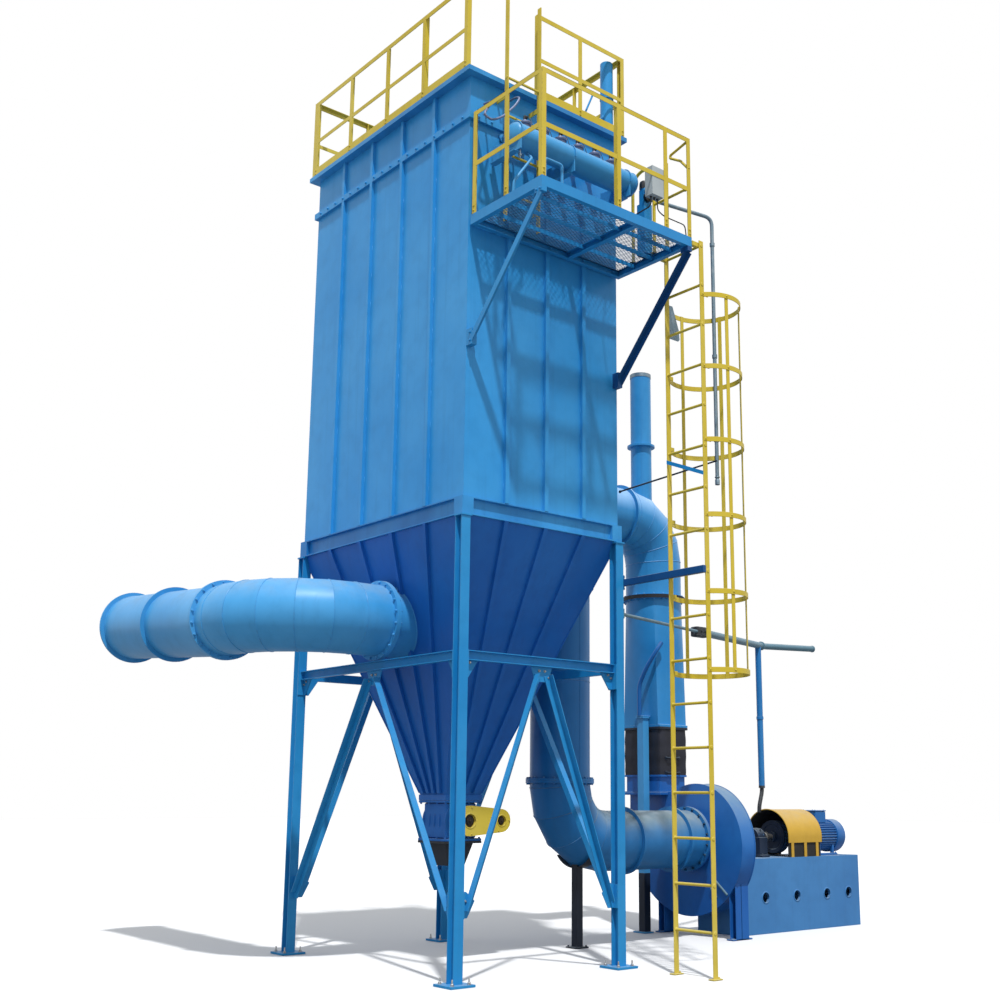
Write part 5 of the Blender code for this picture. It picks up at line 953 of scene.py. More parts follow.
DROP_LEVEL = 7.6403
GATE_POST_Y = -0.77

wear(yellow_paint, *("roof_railing_" + side for side in ("front", "back", "left", "right")))
bolt_places, bolt_ways, weld_from, weld_to = [], [], [], []
for start, end, shares, outward in ROOF_RUNS:
    start, end, outward = np.array(start), np.array(end), np.array(outward)
    way = (end - start) / np.linalg.norm(end - start)
    for share in shares:
        foot = start + (end - start) * share + way * (0.5 if share < 0.5 else -0.5) * RAIL_LEG
        bolt_places += [(*foot, ROOF_TOP + z) for z in RAIL_BOLT_LEVELS]
        bolt_ways += [(*outward, 0)] * len(RAIL_BOLT_LEVELS)
        inner = foot - outward * 0.007
        for z in (ROOF_RAIL_MIDDLE - 0.045, ROOF_RAIL_MIDDLE, ROOF_RAIL_TALL - 0.045):
            weld_from.append((*(inner - way * ROOF_WELD_LENGTH / 2), ROOF_TOP + z))
            weld_to.append((*(inner + way * ROOF_WELD_LENGTH / 2), ROOF_TOP + z))
piece("railing_bolts", yellow_paint, bolts(bolt_places, bolt_ways, RAIL_BOLT))
piece("railing_welds", yellow_paint, [stitches(weld_from, weld_to, ROOF_WELD_LENGTH, 0.040, 0.0035)])
solids = []
for start, end, shares, outward in PLATFORM_RUNS:
    start, end, inward = np.array(start), np.array(end), -np.array(outward)
    way = (end - start) / np.linalg.norm(end - start)
    for share in shares[1 if outward[0] else 0:]:
        foot, turn = start + (end - start) * share, way * (1 if share < 0.5 else -1)
        for near, deep, wide in ((0.0, RAIL_FLAT, RAIL_LEG), (RAIL_FLAT, RAIL_LEG, RAIL_FLAT)):
            corners = np.array([foot + inward * near, foot + turn * wide + inward * deep])
            low, high = (*corners.min(0), PLATFORM_TOP), (*corners.max(0), PLATFORM_TOP + RAIL_TALL - 0.001)
            solids.append(block(low, high, 0.0012))
        places = [(*(foot + turn * RAIL_LEG / 2), PLATFORM_TOP + z) for z in RAIL_BOLT_LEVELS]
        solids += bolts(places, (*outward, 0), RAIL_BOLT)
    for top, deep, high in ((RAIL_TALL, RAIL_LEG, RAIL_FLAT), (RAIL_TALL, RAIL_FLAT, RAIL_LEG),
                            (RAIL_MIDDLE, RAIL_FLAT, RAIL_LEG)):
        corners = np.array([start + way * 0.001 + inward * 0.002, end - way * 0.001 + inward * (deep + 0.002)])
        low, high = (*corners.min(0), PLATFORM_TOP + top - high), (*corners.max(0), PLATFORM_TOP + top)
        solids.append(block(low, high, 0.0012))
solids.append(tube(bent(GRIP, 0.012), 0.0135, 14, (1, 0, 0)))
piece("platform_railing", yellow_paint, solids, replaces=["front_railing", "left_railing"])
gate_x = PLATFORM_WIDE - DROP_BAR
reach = (ARCH_FAR - ARCH_NEAR) / 2
swing = np.linspace(np.pi, 0, 19)
over = xyz(gate_x, (ARCH_NEAR + ARCH_FAR) / 2 + reach * np.cos(swing), ARCH_TOP - reach + reach * np.sin(swing))
arch = np.vstack([(gate_x, ARCH_NEAR, PLATFORM_TOP + 0.001), over, (gate_x, ARCH_FAR, PLATFORM_TOP + 0.001)])
solids = [tube(arch, ARCH_BAR, 16, (1, 0, 0)), tube(xyz(gate_x, (-1.044, -0.8, ARCH_NEAR), DROP_LEVEL), DROP_BAR, 14)]
solids.append(slab(gate_x, GATE_POST_Y, 0.006, 0.025, PLATFORM_SEAT, 8.03, 0.002))
for y in (ARCH_NEAR, ARCH_FAR, GATE_POST_Y):
    solids.append(slab(PLATFORM_WIDE - 0.025, y, 0.025, 0.025, PLATFORM_SEAT, PLATFORM_SEAT + 0.006, 0.001))
    solids += bolts(xyz(1.931, (y - 0.016, y + 0.016), PLATFORM_SEAT + 0.006), (0, 0, 1), 0.006)
knob = [(0.004, -0.020), (0.020, -0.012), (0.020, 0.012), (0.004, 0.020)]
solids.append(laid(knob, 16, (gate_x, -1.035, DROP_LEVEL), (0, 1, 0)))
piece("ladder_gate", yellow_paint, solids, replaces=["right_railing"])


# The pulse air header on the platform: a drawn steel tube with dished ends, which feeds six diaphragm valves. Each
# valve blows through its own pipe and union into the plenum, and has a small solenoid with its cable.
HEADER_BLUE = (0.045, 0.300, 0.620)
HEADER_RADIUS = 0.13
HEADER_PLACE = (0.20, -0.36, 7.90)
HEADER_RIGHT = 1.88
HEADER_DOME = 0.07
VALVE_FIRST = 0.40
VALVE_PITCH = 0.231
VALVE_COUNT = 6
BLOW_PIPE = 0.030
SADDLES = (0.26, 0.95, 1.72)
SADDLE_PLATE = ((-0.117, -0.182), (0.3247, -0.182), (0.3247, 0.0), (0.14, -0.02), (-0.117, -0.02))
SADDLE_THICK = 0.012
ALLOY_COLOR = (0.16, 0.20, 0.34)
UNION_COLOR = (0.46, 0.56, 0.62)
CABLE_COLOR = (0.012, 0.014, 0.018)
LEAD_ROUTE = ((0, -0.034, 0.020), (0, -0.062, 0.016), (0.02, -0.090, -0.07), (0.05, -0.100, -0.16),
              (0.115, -0.105, -0.185))
DRAIN_ROUTE = ((0.429, -0.36, 7.76), (0.419, -0.45, 7.676), (0.198, -0.45, 7.358), (0.181, -0.45, 7.105))
STIRRUP_ROUTE = ((0.160, -0.95, 7.104), (0.160, -0.95, 7.375), (0.368, -0.95, 7.375), (0.368, -0.95, 7.104))
HOSE_ROUTE = ((0.139, -0.036, 8.329), (0.119, -0.2, 8.279), (-0.060, -0.3, 8.031), (-0.015, -0.3, 8.003),
              (0.055, -0.3, 8.006), (0.182, -0.3, 8.098), (0.329, -0.3, 8.273), (0.383, -0.3, 8.37),
              (0.42, -0.20, 8.44), (0.43, -0.036, 8.46))

header_paint = enamel("header_enamel", HEADER_BLUE, DUCT_FADED, streaks=0.2, dust=0.6, chips=0.5, waves=0.0003)
alloy = flecked("valve_alloy", ALLOY_COLOR, 0.50, 0.35, [(60.0, 4.0, 0.45, 0.72, 0.5, (0.16, 0.17, 0.18), 0.7)],
                (420.0, 3.0), 0.00015)
union_zinc = flecked("union_zinc", UNION_COLOR, 0.38, 0.5, [(70.0, 3.0, 0.50, 0.75, 0.5, (0.22, 0.24, 0.25), 0.7)],
                     (380.0, 2.0), 0.0001)
cable_black = flecked("cable_black", CABLE_COLOR, 0.55, 0.0, [(45.0, 3.0, 0.5, 0.8, 0.4, DUST_COLOR[:3], 0.85)],
                      (500.0, 2.0), 0.0001)
start = np.array(HEADER_PLACE)
length = HEADER_RIGHT - start[0]
rise = np.linspace(0.10, np.pi / 2, 9)
dome = np.column_stack([HEADER_RADIUS * np.sin(rise), HEADER_DOME * (1 - np.cos(rise))])
shell_line = [(0.004, 0.0), *dome, (HEADER_RADIUS, HEADER_DOME + 0.012), (HEADER_RADIUS, length - HEADER_DOME - 0.012),
              *((r, length - h) for r, h in dome[::-1]), (0.004, length)]
solids = [laid(shell_line, 64, start, (1, 0, 0))]
seams = [hoop_bead((x, *start[1:]), (1, 0, 0), HEADER_RADIUS, 0.005, 90)
         for x in (start[0] + HEADER_DOME, HEADER_RIGHT - HEADER_DOME)]
valve_x = VALVE_FIRST + VALVE_PITCH * np.arange(VALVE_COUNT)
valve_feet = xyz(valve_x, start[1], start[2] + HEADER_RADIUS * 0.96)
pipe_level = valve_feet[0, 2] + 0.035
sleeve = [(0.046, -0.010), (0.046, 0.004), (0.036, 0.010), (0.031, 0.010)]
for x in valve_x:
    solids.append(tube(xyz(x, (start[1], -0.12, -SEAT_GAP), pipe_level), BLOW_PIPE, 24))
    solids.append(laid(sleeve, 24, (x, -0.018, pipe_level), (0, 1, 0)))
strap = np.linspace(np.pi * 1.08, -np.pi * 0.08, 25)
for x in SADDLES:
    path = [(x + way * SADDLE_THICK / 2, *start[1:]) for way in (-1, 1)]
    solids.append(carried(SADDLE_PLATE, path, (0, 1, 0), (0, 0, 1)))
    solids.append(block((x - 0.035, -0.41, 7.712), (x + 0.035, -0.0353, 7.722), 0.002))
    bow = start + xyz(x - start[0], 0.137 * np.cos(strap), 0.137 * np.sin(strap))
    solids.append(tube(bow, 0.006, 8, (1, 0, 0)))
piece("header_shell", header_paint, solids, rings=[np.stack(seams)], replaces=["air_header"])
body = [(0.052, -0.014), (0.058, 0.004), (0.050, 0.010), (0.050, 0.026), (0.065, 0.030), (0.066, 0.036),
        (0.062, 0.0385), (0.062, 0.0395), (0.066, 0.042), (0.065, 0.050), (0.050, 0.056), (0.042, 0.066),
        (0.026, 0.074), (0.022, 0.084)]
cap = (np.arange(6) + 0.5) * np.pi / 3
cap_places = valve_feet[:, None] + xyz(0.058 * np.cos(cap), 0.058 * np.sin(cap), 0.049)
six = np.arange(6) * np.pi / 3
turn_six = np.stack([xyz(np.cos(six), -np.sin(six), 0), xyz(np.sin(six), np.cos(six), 0), xyz(0 * six, 0, 1)], axis=1)
rib = np.einsum("kij,rcj->krci", turn_six, block((-0.004, 0.02, 0.052), (0.004, 0.058, 0.062), 0.002))
ribs = rib[:, None] + valve_feet[None, :, None, None]
solids = [stamped(turned(body, 40), valve_feet), ribs.reshape(-1, 4, 8, 3)]
solids += bolts(cap_places.reshape(-1, 3), (0, 0, 1), 0.006)
piece("diaphragm_valves", alloy, solids)
nut = turned([(0.040, 0.0), (0.046, 0.004), (0.046, 0.020), (0.036, 0.022), (0.036, 0.034), (0.046, 0.036),
              (0.046, 0.056), (0.040, 0.060)], 12)
cock = [(0.012, 0.0), (0.012, 0.045), (0.020, 0.046), (0.020, 0.062), (0.010, 0.064), (0.010, 0.085)]
drain = laid(cock, 16, (0.34, start[1], start[2] - HEADER_RADIUS + 0.002), (0, 0, -1))
unions = stamped(nut, xyz(valve_x, start[1] + 0.15, pipe_level), (0, 1, 0))
piece("valve_unions", union_zinc, [unions, drain])
coil = [(0.012, 0.0), (0.018, 0.001), (0.018, 0.040), (0.015, 0.044), (0.008, 0.045), (0.008, 0.052), (0.005, 0.054)]
crowns = valve_feet + (0, 0, 0.083)
solids = [stamped(turned(coil, 24), crowns)]
for crown in crowns:
    solids.append(block(crown + (-0.012, -0.036, 0.010), crown + (0.012, -0.014, 0.034), 0.003))
    solids.append(tube(bent(crown + LEAD_ROUTE, 0.02, 6), 0.0035, 6, (1, 0, 0.2)))
trunk = np.linspace(0, 1, 60)
trunk = xyz(0.42 + 1.16 * trunk, -0.466 + 0.006 * np.sin(trunk * 40), 7.925 - 0.012 * np.abs(np.sin(trunk * np.pi * 5)))
solids.append(tube(trunk, 0.008, 8))
piece("valve_solenoids", cable_black, solids)

# A grey supply hose hangs in a bow at the header's left end; under it are the light blue drain pipe and a stirrup.
bars = [tube(bent(route, 0.03), 0.014, 12, (0.2, 1, 0.1)) for route in (DRAIN_ROUTE, STIRRUP_ROUTE)]
piece("header_drain", header_paint, bars)
piece("header_hose", alloy, [tube(bent(HOSE_ROUTE, 0.05), 0.011, 14, (0.2, 0.9, 0.3))])


# The small control box on the railing post: a folded grey cover over its back, with a cable gland for each lead.
COVER_INSET = 0.012
GLAND_X = (1.46, 1.505, 1.55)
LEFT_LEAD = ((1.46, -0.75, 7.28), (1.50, -0.46, 7.40), (1.56, -0.462, 7.915))
RIGHT_LEAD = ((1.60, -1.07, 7.22), (1.90, -1.07, 7.22), (1.94, -1.05, 7.105))

wear(grey_paint, "control_box")
box_low, box_high = map(np.array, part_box("control_box"))
solids = [block((box_low[0] + COVER_INSET, box_high[1] - 0.001, box_low[2] + 0.014),
                (box_high[0] - COVER_INSET, box_high[1] + 0.004, box_high[2] - 0.014), 0.002)]
screws = [(x, box_high[1] + 0.003, z) for x in (box_low[0] + 0.022, box_high[0] - 0.022)
          for z in (box_low[2] + 0.024, box_high[2] - 0.024)]
piece("control_box_cover", grey_paint, solids + bolts(screws, (0, 1, 0), 0.004))
glands = xyz(GLAND_X, (box_low[1] + box_high[1]) / 2, box_low[2])
gland = turned([(0.013, -0.001), (0.013, 0.008), (0.010, 0.009), (0.010, 0.020), (0.007, 0.024)], 12)
solids = [stamped(gland, glands, (0, 0, -1))]
for place, drop, route, corner, radius, reference in ((glands[0], 0.10, LEFT_LEAD, 0.05, 0.007, (1, 0, 0)),
                                                      (glands[2], 0.12, RIGHT_LEAD, 0.04, 0.006, (0, 1, 0.2))):
    line = bent([place - (0, 0, 0.022), place - (0, 0, drop), *route], corner)
    solids.append(tube(line, radius, 8, reference))
piece("control_cables", cable_black, solids)


# The air stand at the platform's right end: a square blue post with the pressure regulator on it, a black bowl and a
# round gauge. The grey air pipe leaves it over the ladder and goes down outside the cage.
STAND_PLACE = (1.915, -0.49)
REGULATOR_LEVEL = 0.56
REGULATOR_TALL = 0.16
BOWL_COLOR = (0.016, 0.018, 0.024)
DIAL_COLOR = (0.62, 0.66, 0.68)
DIAL_SWEEP = 0.75 * np.pi
DIAL_MARKS = 11
PIPE_COLOR = (0.17, 0.25, 0.31)
PIPE_RADIUS = 0.02
PIPE_JOINTS = (7.35, 6.10)
PIPE_CLIPS = (5.20, 4.82)

wear(platform_paint, "air_stand")
bowl_black = Layers("bowl_black", BOWL_COLOR, 0.28)
bowl_black.over(bowl_black.math("MULTIPLY", bowl_black.upward(), 0.45), DUST_COLOR, 0.8)
bowl_black.bump(bowl_black.noise(350.0, 2.0), 0.00008)
bowl_black = bowl_black.done()
pipe_zinc = flecked("pipe_zinc", PIPE_COLOR, 0.45, 0.5, [(14.0, 5.0, 0.45, 0.72, 0.7, (0.30, 0.36, 0.40), 0.6),
                                                         (55.0, 3.0, 0.58, 0.74, 0.5, (0.14, 0.09, 0.06), 0.85)],
                    (300.0, 2.0), 0.0001)
dial_white = flecked("dial_white", DIAL_COLOR, 0.35, 0.0, [(25.0, 3.0, 0.5, 0.8, 0.3, (0.42, 0.44, 0.44), 0.5)])
sx, sy = STAND_PLACE
head = PLATFORM_SEAT + REGULATOR_LEVEL
bowl = [(0.036, -0.002), (0.036, 0.006), (0.050, 0.012), (0.052, 0.020), (0.050, 0.080), (0.046, 0.096),
        (0.034, 0.106), (0.014, 0.109)]
cap = [(0.046, 0.0), (0.050, 0.004), (0.050, 0.030), (0.046, 0.034)]
solids = [laid(bowl, 40, (sx, sy, head + REGULATOR_TALL), (0, 0, 1)),
          laid(cap, 24, (sx, sy - 0.033, head + 0.07), (0, -1, 0))]
piece("regulator_bowl", bowl_black, solids)
gauge = np.array((sx - 0.045, sy - 0.075, head + 0.11))
case = [(0.040, 0.0), (0.046, 0.004), (0.046, 0.026), (0.043, 0.030), (0.040, 0.026), (0.010, 0.024)]
stem = tube([(sx, sy - 0.03, head + 0.11), gauge + (0.02, 0.02, 0), gauge + (0, 0.004, 0)], 0.009, 10)
foot_bolts = bolts([(sx - 0.03, sy, 7.112), (sx + 0.03, sy - 0.04, 7.112)], (0, 0, 1), 0.007)
piece("gauge_case", header_paint, [laid(case, 40, gauge, (0, -1, 0)), stem, *foot_bolts])
sweep = np.linspace(-DIAL_SWEEP, DIAL_SWEEP, DIAL_MARKS)
tick = np.stack([xyz(np.sin(sweep) * r, -0.0262, np.cos(sweep) * r) for r in (0.030, 0.037)], axis=1)
wide = xyz(np.cos(sweep), 0, -np.sin(sweep))[:, None] * 0.0009
deep = (0, -0.0006, 0)
ticks = np.stack([tick - wide, tick + wide, tick + wide + deep, tick - wide + deep], axis=2) + gauge
needle = block(gauge + (-0.0012, -0.0280, -0.008), gauge + (0.0012, -0.0270, 0.028), 0.0004)
dial = laid([(0.0395, 0.0), (0.0395, 0.0015)], 40, gauge + (0, -0.0245, 0), (0, -1, 0))
piece("gauge_dial", dial_white, [dial])
piece("gauge_marks", cable_black, [ticks, needle])
pipe_low, pipe_high = map(np.array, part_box("air_pipe"))
down_x, down_y = pipe_high[0] - PIPE_RADIUS, pipe_low[1] + PIPE_RADIUS
leave = pipe_high[2] - PIPE_RADIUS
route = [(1.9703, sy, leave), (2.0103, sy, leave), *xyz(down_x, down_y, (leave - 0.08, 6.2, pipe_low[2]))]
solids = [tube(bent(route, 0.09, 10), PIPE_RADIUS, 20, (0.1, 1, 0))]
socket = [(0.021, 0.0), (0.027, 0.003), (0.027, 0.040), (0.021, 0.043)]
solids += [laid(socket, 20, (down_x, down_y, z), (0, 0, 1)) for z in PIPE_JOINTS]
solids.append(laid(socket, 20, (1.985, sy, leave), (1, 0, 0)))
solids.append(laid([(0.026, 0.0), (0.026, 0.05), (0.022, 0.056)], 6, (down_x, down_y, pipe_low[2]), (0, 0, 1)))
round_pipe = np.linspace(0, 2 * np.pi, 25)
for z in PIPE_CLIPS:
    solids.append(tube(xyz(down_x + 0.024 * np.cos(round_pipe), down_y + 0.024 * np.sin(round_pipe), z), 0.004, 6))
piece("air_pipe_line", pipe_zinc, solids, replaces=["air_pipe"])


# The ladders: flat-bar rails with round rungs let in and welded. The long one stands on the ground, with its stays on
# the platform's edge, and a dark blue arm from the front leg steadies it. The short one climbs to the roof.
LADDER_X = 2.05
LADDER_DEEP = 0.06
LADDER_NEAR = -1.115
LADDER_FAR = -0.635
LADDER_THICK = 0.012
LADDER_TOP = 7.09
RUNG_RADIUS = 0.014
RUNG_PITCH = 0.415
RUNG_COUNT = 17
TOP_RUNG = 7.04
SHORT_RUNG_FIRST = 0.30
SHORT_RUNG_COUNT = 4
LEG_FACE_X = 2.0103
ARM_AND_SHADE_BLUE = (0.008, 0.060, 0.200)
ARM_FADED = (0.014, 0.090, 0.260)
GUSSET = ((0.0, 0.0), (0.0, 0.36), (0.05, 0.36), (0.14, 0.12), (0.15, 0.02), (0.13, 0.0))
GUSSET_FOOT = 6.20
GUSSET_THICK = 0.006
DIAGONAL_ENDS = (4.88, 4.68)

rung_z = TOP_RUNG - RUNG_PITCH * np.arange(RUNG_COUNT)
rung_x = LADDER_X + LADDER_DEEP / 2
solids = [slab(rung_x, y, LADDER_DEEP / 2, LADDER_THICK / 2, 0.0, LADDER_TOP) for y in (LADDER_NEAR, LADDER_FAR)]
rung = tube([(0, LADDER_NEAR - 0.010, 0), (0, -0.9, 0), (0, LADDER_FAR + 0.010, 0)], RUNG_RADIUS, 16)
solids.append(rung + xyz(rung_x, 0, rung_z)[:, None, None])
weld = turned([(0.015, -0.003), (0.020, -0.001), (0.020, 0.001), (0.015, 0.005)], 16)
for y, way in ((LADDER_NEAR + 0.006, 1), (LADDER_FAR - 0.006, -1), (LADDER_NEAR - 0.006, -1), (LADDER_FAR + 0.006, 1)):
    solids.append(stamped(weld, xyz(rung_x, y, rung_z), (0, way, 0)))
for y in (LADDER_NEAR + 0.03, LADDER_FAR):
    solids.append(block((1.9703, y - 0.02, 7.02), (2.07, y + 0.02, 7.07), 0.003))
for y in (LADDER_NEAR, LADDER_FAR):
    solids.append(slab(rung_x, y, 0.06, 0.035, 0.0, 0.010, 0.002))
    solids += bolts([(LADDER_X + LADDER_DEEP + 0.016, y, 0.010)], (0, 0, 1), 0.009)
piece("ladder_to_platform", yellow_paint, solids, replaces=["main_ladder"])
arm_and_shade_paint = enamel("arm_and_brace_shade_enamel", ARM_AND_SHADE_BLUE, ARM_FADED, streaks=0.3, dust=0.6, chips=0.8)
solids = [block((LEG_FACE_X, -1.127, 3.70), (2.052, 0.06, 3.77), 0.004),
          block((LEG_FACE_X, -0.045, 3.66), (LEG_FACE_X + 0.0117, 0.065, 3.81), 0.002)]
solids += bolts([(2.022, y, z) for y in (-0.03, 0.045) for z in (3.675, 3.795)], (1, 0, 0), 0.009)
piece("ladder_arm", arm_and_shade_paint, solids)
path = xyz(LADDER_X + LADDER_DEEP - 0.001, LADDER_FAR + np.array((-0.5, 0.5)) * GUSSET_THICK, GUSSET_FOOT)
piece("cage_gusset", pipe_zinc, [carried(GUSSET, path, (1, 0, 0), (0, 0, 1))])
path = xyz(LADDER_X - 0.004, (LADDER_FAR, LADDER_NEAR), DIAGONAL_ENDS)
flat = [(-0.02, -0.004), (0.02, -0.004), (0.02, 0.004), (-0.02, 0.004)]
piece("ladder_diagonal", leg_paint, [carried(flat, path, (0, 0, 1), (1, 0, 0))])
# Painted shade: the right knee brace takes the arm's dark navy for the shade that it lies in.
wear(arm_and_shade_paint, "knee_brace_right")
wear(yellow_paint, "roof_ladder")
short_z = PLATFORM_SEAT + SHORT_RUNG_FIRST + RUNG_PITCH * np.arange(SHORT_RUNG_COUNT)
solids = [stamped(weld, xyz(x, -0.155, short_z), (way, 0, 0))
          for x, way in ((0.336, 1), (0.744, -1), (0.324, -1), (0.756, 1))]
piece("roof_ladder_welds", yellow_paint, solids)


# The safety cage round the long ladder: hoops rolled from flat bar, riveted to four upright straps and to the rails.
HOOP_RADIUS = 0.36
HOOP_WIDE = 0.05
HOOP_THICK = 0.008
HOOP_EDGE = 0.0015
HOOP_FIRST = 2.757
HOOP_PITCH = 0.749
HOOP_COUNT = 6
STRAP_ANGLES = (-1.75, -0.62, 0.28, 1.45)
STRAP_HALF = 0.02

rail_face = LADDER_X + LADDER_DEEP + SEAT_GAP
rail_half = (LADDER_FAR - LADDER_NEAR) / 2
cage_middle = np.array((rail_face + np.sqrt(HOOP_RADIUS ** 2 - rail_half ** 2), (LADDER_NEAR + LADDER_FAR) / 2, 0.0))
open_half = np.pi - np.arcsin(rail_half / HOOP_RADIUS)
bow = np.linspace(-open_half, open_half, 61)
normal = xyz(np.cos(bow), np.sin(bow), 0)
thick, wide, cut = HOOP_THICK, HOOP_WIDE, HOOP_EDGE
bevelled = np.array([(0, cut), (cut, 0), (thick - cut, 0), (thick, cut), (thick, wide - cut), (thick - cut, wide),
                     (cut, wide), (0, wide - cut)])
hoop = (cage_middle + HOOP_RADIUS * normal)[:, None] + normal[:, None] * bevelled[:, :1] + xyz(0, 0, bevelled[:, 1])
hoop_levels = HOOP_FIRST + HOOP_PITCH * np.arange(HOOP_COUNT)
solids = [hoop[None] + xyz(0, 0, hoop_levels)[:, None, None]]
rivet = turned([(0.011, -0.001), (0.010, 0.003), (0.006, 0.006), (0.002, 0.0068)], 12)
half = STRAP_HALF
flat = [(-half, 0.001), (0.001 - half, 0), (half - 0.001, 0), (half, 0.001), (half, 0.007), (half - 0.001, 0.0079),
        (0.001 - half, 0.0079), (-half, 0.007)]
for angle in STRAP_ANGLES:
    out = np.array((np.cos(angle), np.sin(angle), 0.0))
    inner = cage_middle + out * (HOOP_RADIUS - 0.0075)
    path = inner + xyz(0, 0, (HOOP_FIRST, hoop_levels[-1] + HOOP_WIDE))
    solids.append(carried(flat, path, (-out[1], out[0], 0.0), out))
    heads = cage_middle + out * (HOOP_RADIUS + HOOP_THICK) + xyz(0, 0, hoop_levels + HOOP_WIDE / 2)
    solids.append(stamped(rivet, heads, out))
for y, way in ((LADDER_NEAR, -1), (LADDER_FAR, 1)):
    tab = y + way * LADDER_THICK / 2
    solids += [block((LADDER_X + 0.012, tab - 0.004, z + 0.004), (rail_face + 0.05, tab + 0.004, z + 0.046), 0.0015)
               for z in hoop_levels]
    solids.append(stamped(rivet, xyz(LADDER_X + 0.035, y + way * 0.010, hoop_levels + HOOP_WIDE / 2), (0, way, 0)))
piece("cage_hoops", yellow_paint, solids, replaces=["ladder_cage"])


# The suction duct: rolled sheet from the plenum's outlet box down the housing's side, round a mitred bend and along to
# the fan, with ring flanges. Dust and a painted highlight pale the top of its level run, and a dark post carries it.
SUCTION_BLUE = (0.014, 0.160, 0.430)
SUCTION_FADED = (0.030, 0.200, 0.480)
SUCTION_SHEEN = (0.125, 0.19, 0.21)
SUCTION_RADIUS = 0.33
SUCTION_X = 2.463
SUCTION_BEND = 0.60
SUCTION_GORES = 4
SUCTION_RINGS = (3.40, 4.17)
SUCTION_BOLTS = 18
RISER_RINGS = (3.9, 6.0)
RISER_BEADS = (2.85, 4.95, 7.05)
FAN_PLACE = (4.47, 1.45, 1.12)
POST_DARK = (0.010, 0.014, 0.024)
POST_FADED = (0.016, 0.030, 0.060)
POST_SHIFT = 0.257
POST_HALF = 0.045
POST_TOP = 0.895

# Painted highlight: the duct's upward faces are painted a pale grey, over the dust.
suction_paint = enamel("suction_enamel", SUCTION_BLUE, SUCTION_FADED, dust=1.0, chips=0.6, waves=0.0008,
                       sky_sheen=SUCTION_SHEEN)
post_paint = enamel("post_enamel", POST_DARK, POST_FADED, streaks=0.3, dust=0.6, chips=0.6)


def closed_duct(path, radius, flanges=(), up=(0, 0, 1), columns=DUCT_COLUMNS):
    """A duct whose ends are covered by what they bolt to, so that only its outside rows are made."""
    return mitred(stations(path, radius, flanges), up, columns)


fan_y, fan_z = FAN_PLACE[1:]
low, high = (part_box("suction_riser")[i][2] for i in (0, 1))
riser_path = xyz(SUCTION_X, fan_y, (low, high))
rings = ((0, 0.0), *((0, z - low) for z in RISER_RINGS), (0, None))
beads = [hoop_bead((SUCTION_X, fan_y, z), (0, 0, 1), SUCTION_RADIUS, 0.004, 96) for z in RISER_BEADS]
seam = bead(xyz(SUCTION_X, fan_y - SUCTION_RADIUS, (low + 0.03, high - 0.03)), 0.0035)
piece("suction_riser_pipe", suction_paint,
      [closed_duct(riser_path, SUCTION_RADIUS, rings, (0, 1, 0)), seam], rings=beads,
      replaces=["suction_riser"], crease=14.0)
swing = np.linspace(0, np.pi / 2, SUCTION_GORES + 1)
arc = xyz(SUCTION_X + SUCTION_BEND * (1 - np.cos(swing)), fan_y, fan_z + SUCTION_BEND * (1 - np.sin(swing)))
suction_path = np.vstack([(SUCTION_X, fan_y, low - 2 * SEAT_GAP), arc, FAN_PLACE])
last = len(suction_path) - 2
rings = ((0, 0.0), *((last, x - arc[-1, 0]) for x in SUCTION_RINGS), (last, None))
piece("suction_bend", suction_paint, [closed_duct(suction_path, SUCTION_RADIUS, rings, (0, 1, 0))],
      rings=seam_beads(suction_path, SUCTION_RADIUS, (0, 1, 0)), replaces=["suction_elbow"], crease=14.0)
bolt_rings = []
for place, axis in ((riser_path[0] - (0, 0, SEAT_GAP), (0, 0, 1)), (riser_path[1], (0, 0, -1)), (FAN_PLACE, (1, 0, 0))):
    bolt_rings += flange_bolts(place, axis, SUCTION_RADIUS, SUCTION_BOLTS)
for z in RISER_RINGS:
    middle = (SUCTION_X, fan_y, z + FLANGE_THICK / 2)
    bolt_rings += flange_bolts(middle, (0, 0, 1), SUCTION_RADIUS, SUCTION_BOLTS, thick=FLANGE_THICK / 2)
piece("suction_flange_bolts", suction_paint, bolt_rings)
post_x = SUCTION_X + POST_SHIFT
clasp = np.linspace(np.pi * 1.22, np.pi * 1.78, 15)
saddle = [xyz(post_x + x, fan_y + r * np.cos(clasp), 1.19 + r * np.sin(clasp))
          for x, r in ((-0.06, 0.345), (-0.06, 0.353), (0.06, 0.353), (0.06, 0.345))]
solids = [slab(post_x, fan_y, POST_HALF, POST_HALF, 0.0, POST_TOP, 0.004),
          slab(post_x, fan_y, POST_HALF * 2, POST_HALF * 2, 0.0, 0.014), np.stack(saddle, axis=1)]
solids += bolts(four(post_x, fan_y, 0.014, 0.068, 0.068), (0, 0, 1), 0.010)
piece("suction_post", post_paint, solids)
wear(suction_paint, "plenum_outlet_box")


# The fan: a welded scroll casing of sheet steel, with its flat sides bent over as a rim, a cone at the inlet, a shaft
# hub on the drive side and angle feet. Its outlet flange looks up under the black joint.
FAN_BLUE = (0.009, 0.100, 0.390)
FAN_FADED = (0.018, 0.145, 0.450)
FAN_SHEEN = (0.085, 0.20, 0.36)
FAN_FACE = 4.60
FAN_WIDTH = 0.24
FAN_RADIUS = 0.60
SCROLL_GROWTH = 0.45
SCROLL_RISE = 1.5
CUTOFF_ANGLE = 76.0
RIM = 0.04
RIM_THICK = 0.012
RIM_ROUND = 0.12
MOUTH_HEIGHT = 0.5397
MOUTH_DEPTH = 0.385
MOUTH_HALF = (0.25, 0.33)
CONE_FLANGE = 0.375
CONE_NARROWS = 0.046
FOOT_PLACES = (-0.62, 0.52)
FOOT_WIDE = 0.10
FOOT_TOP = 0.70
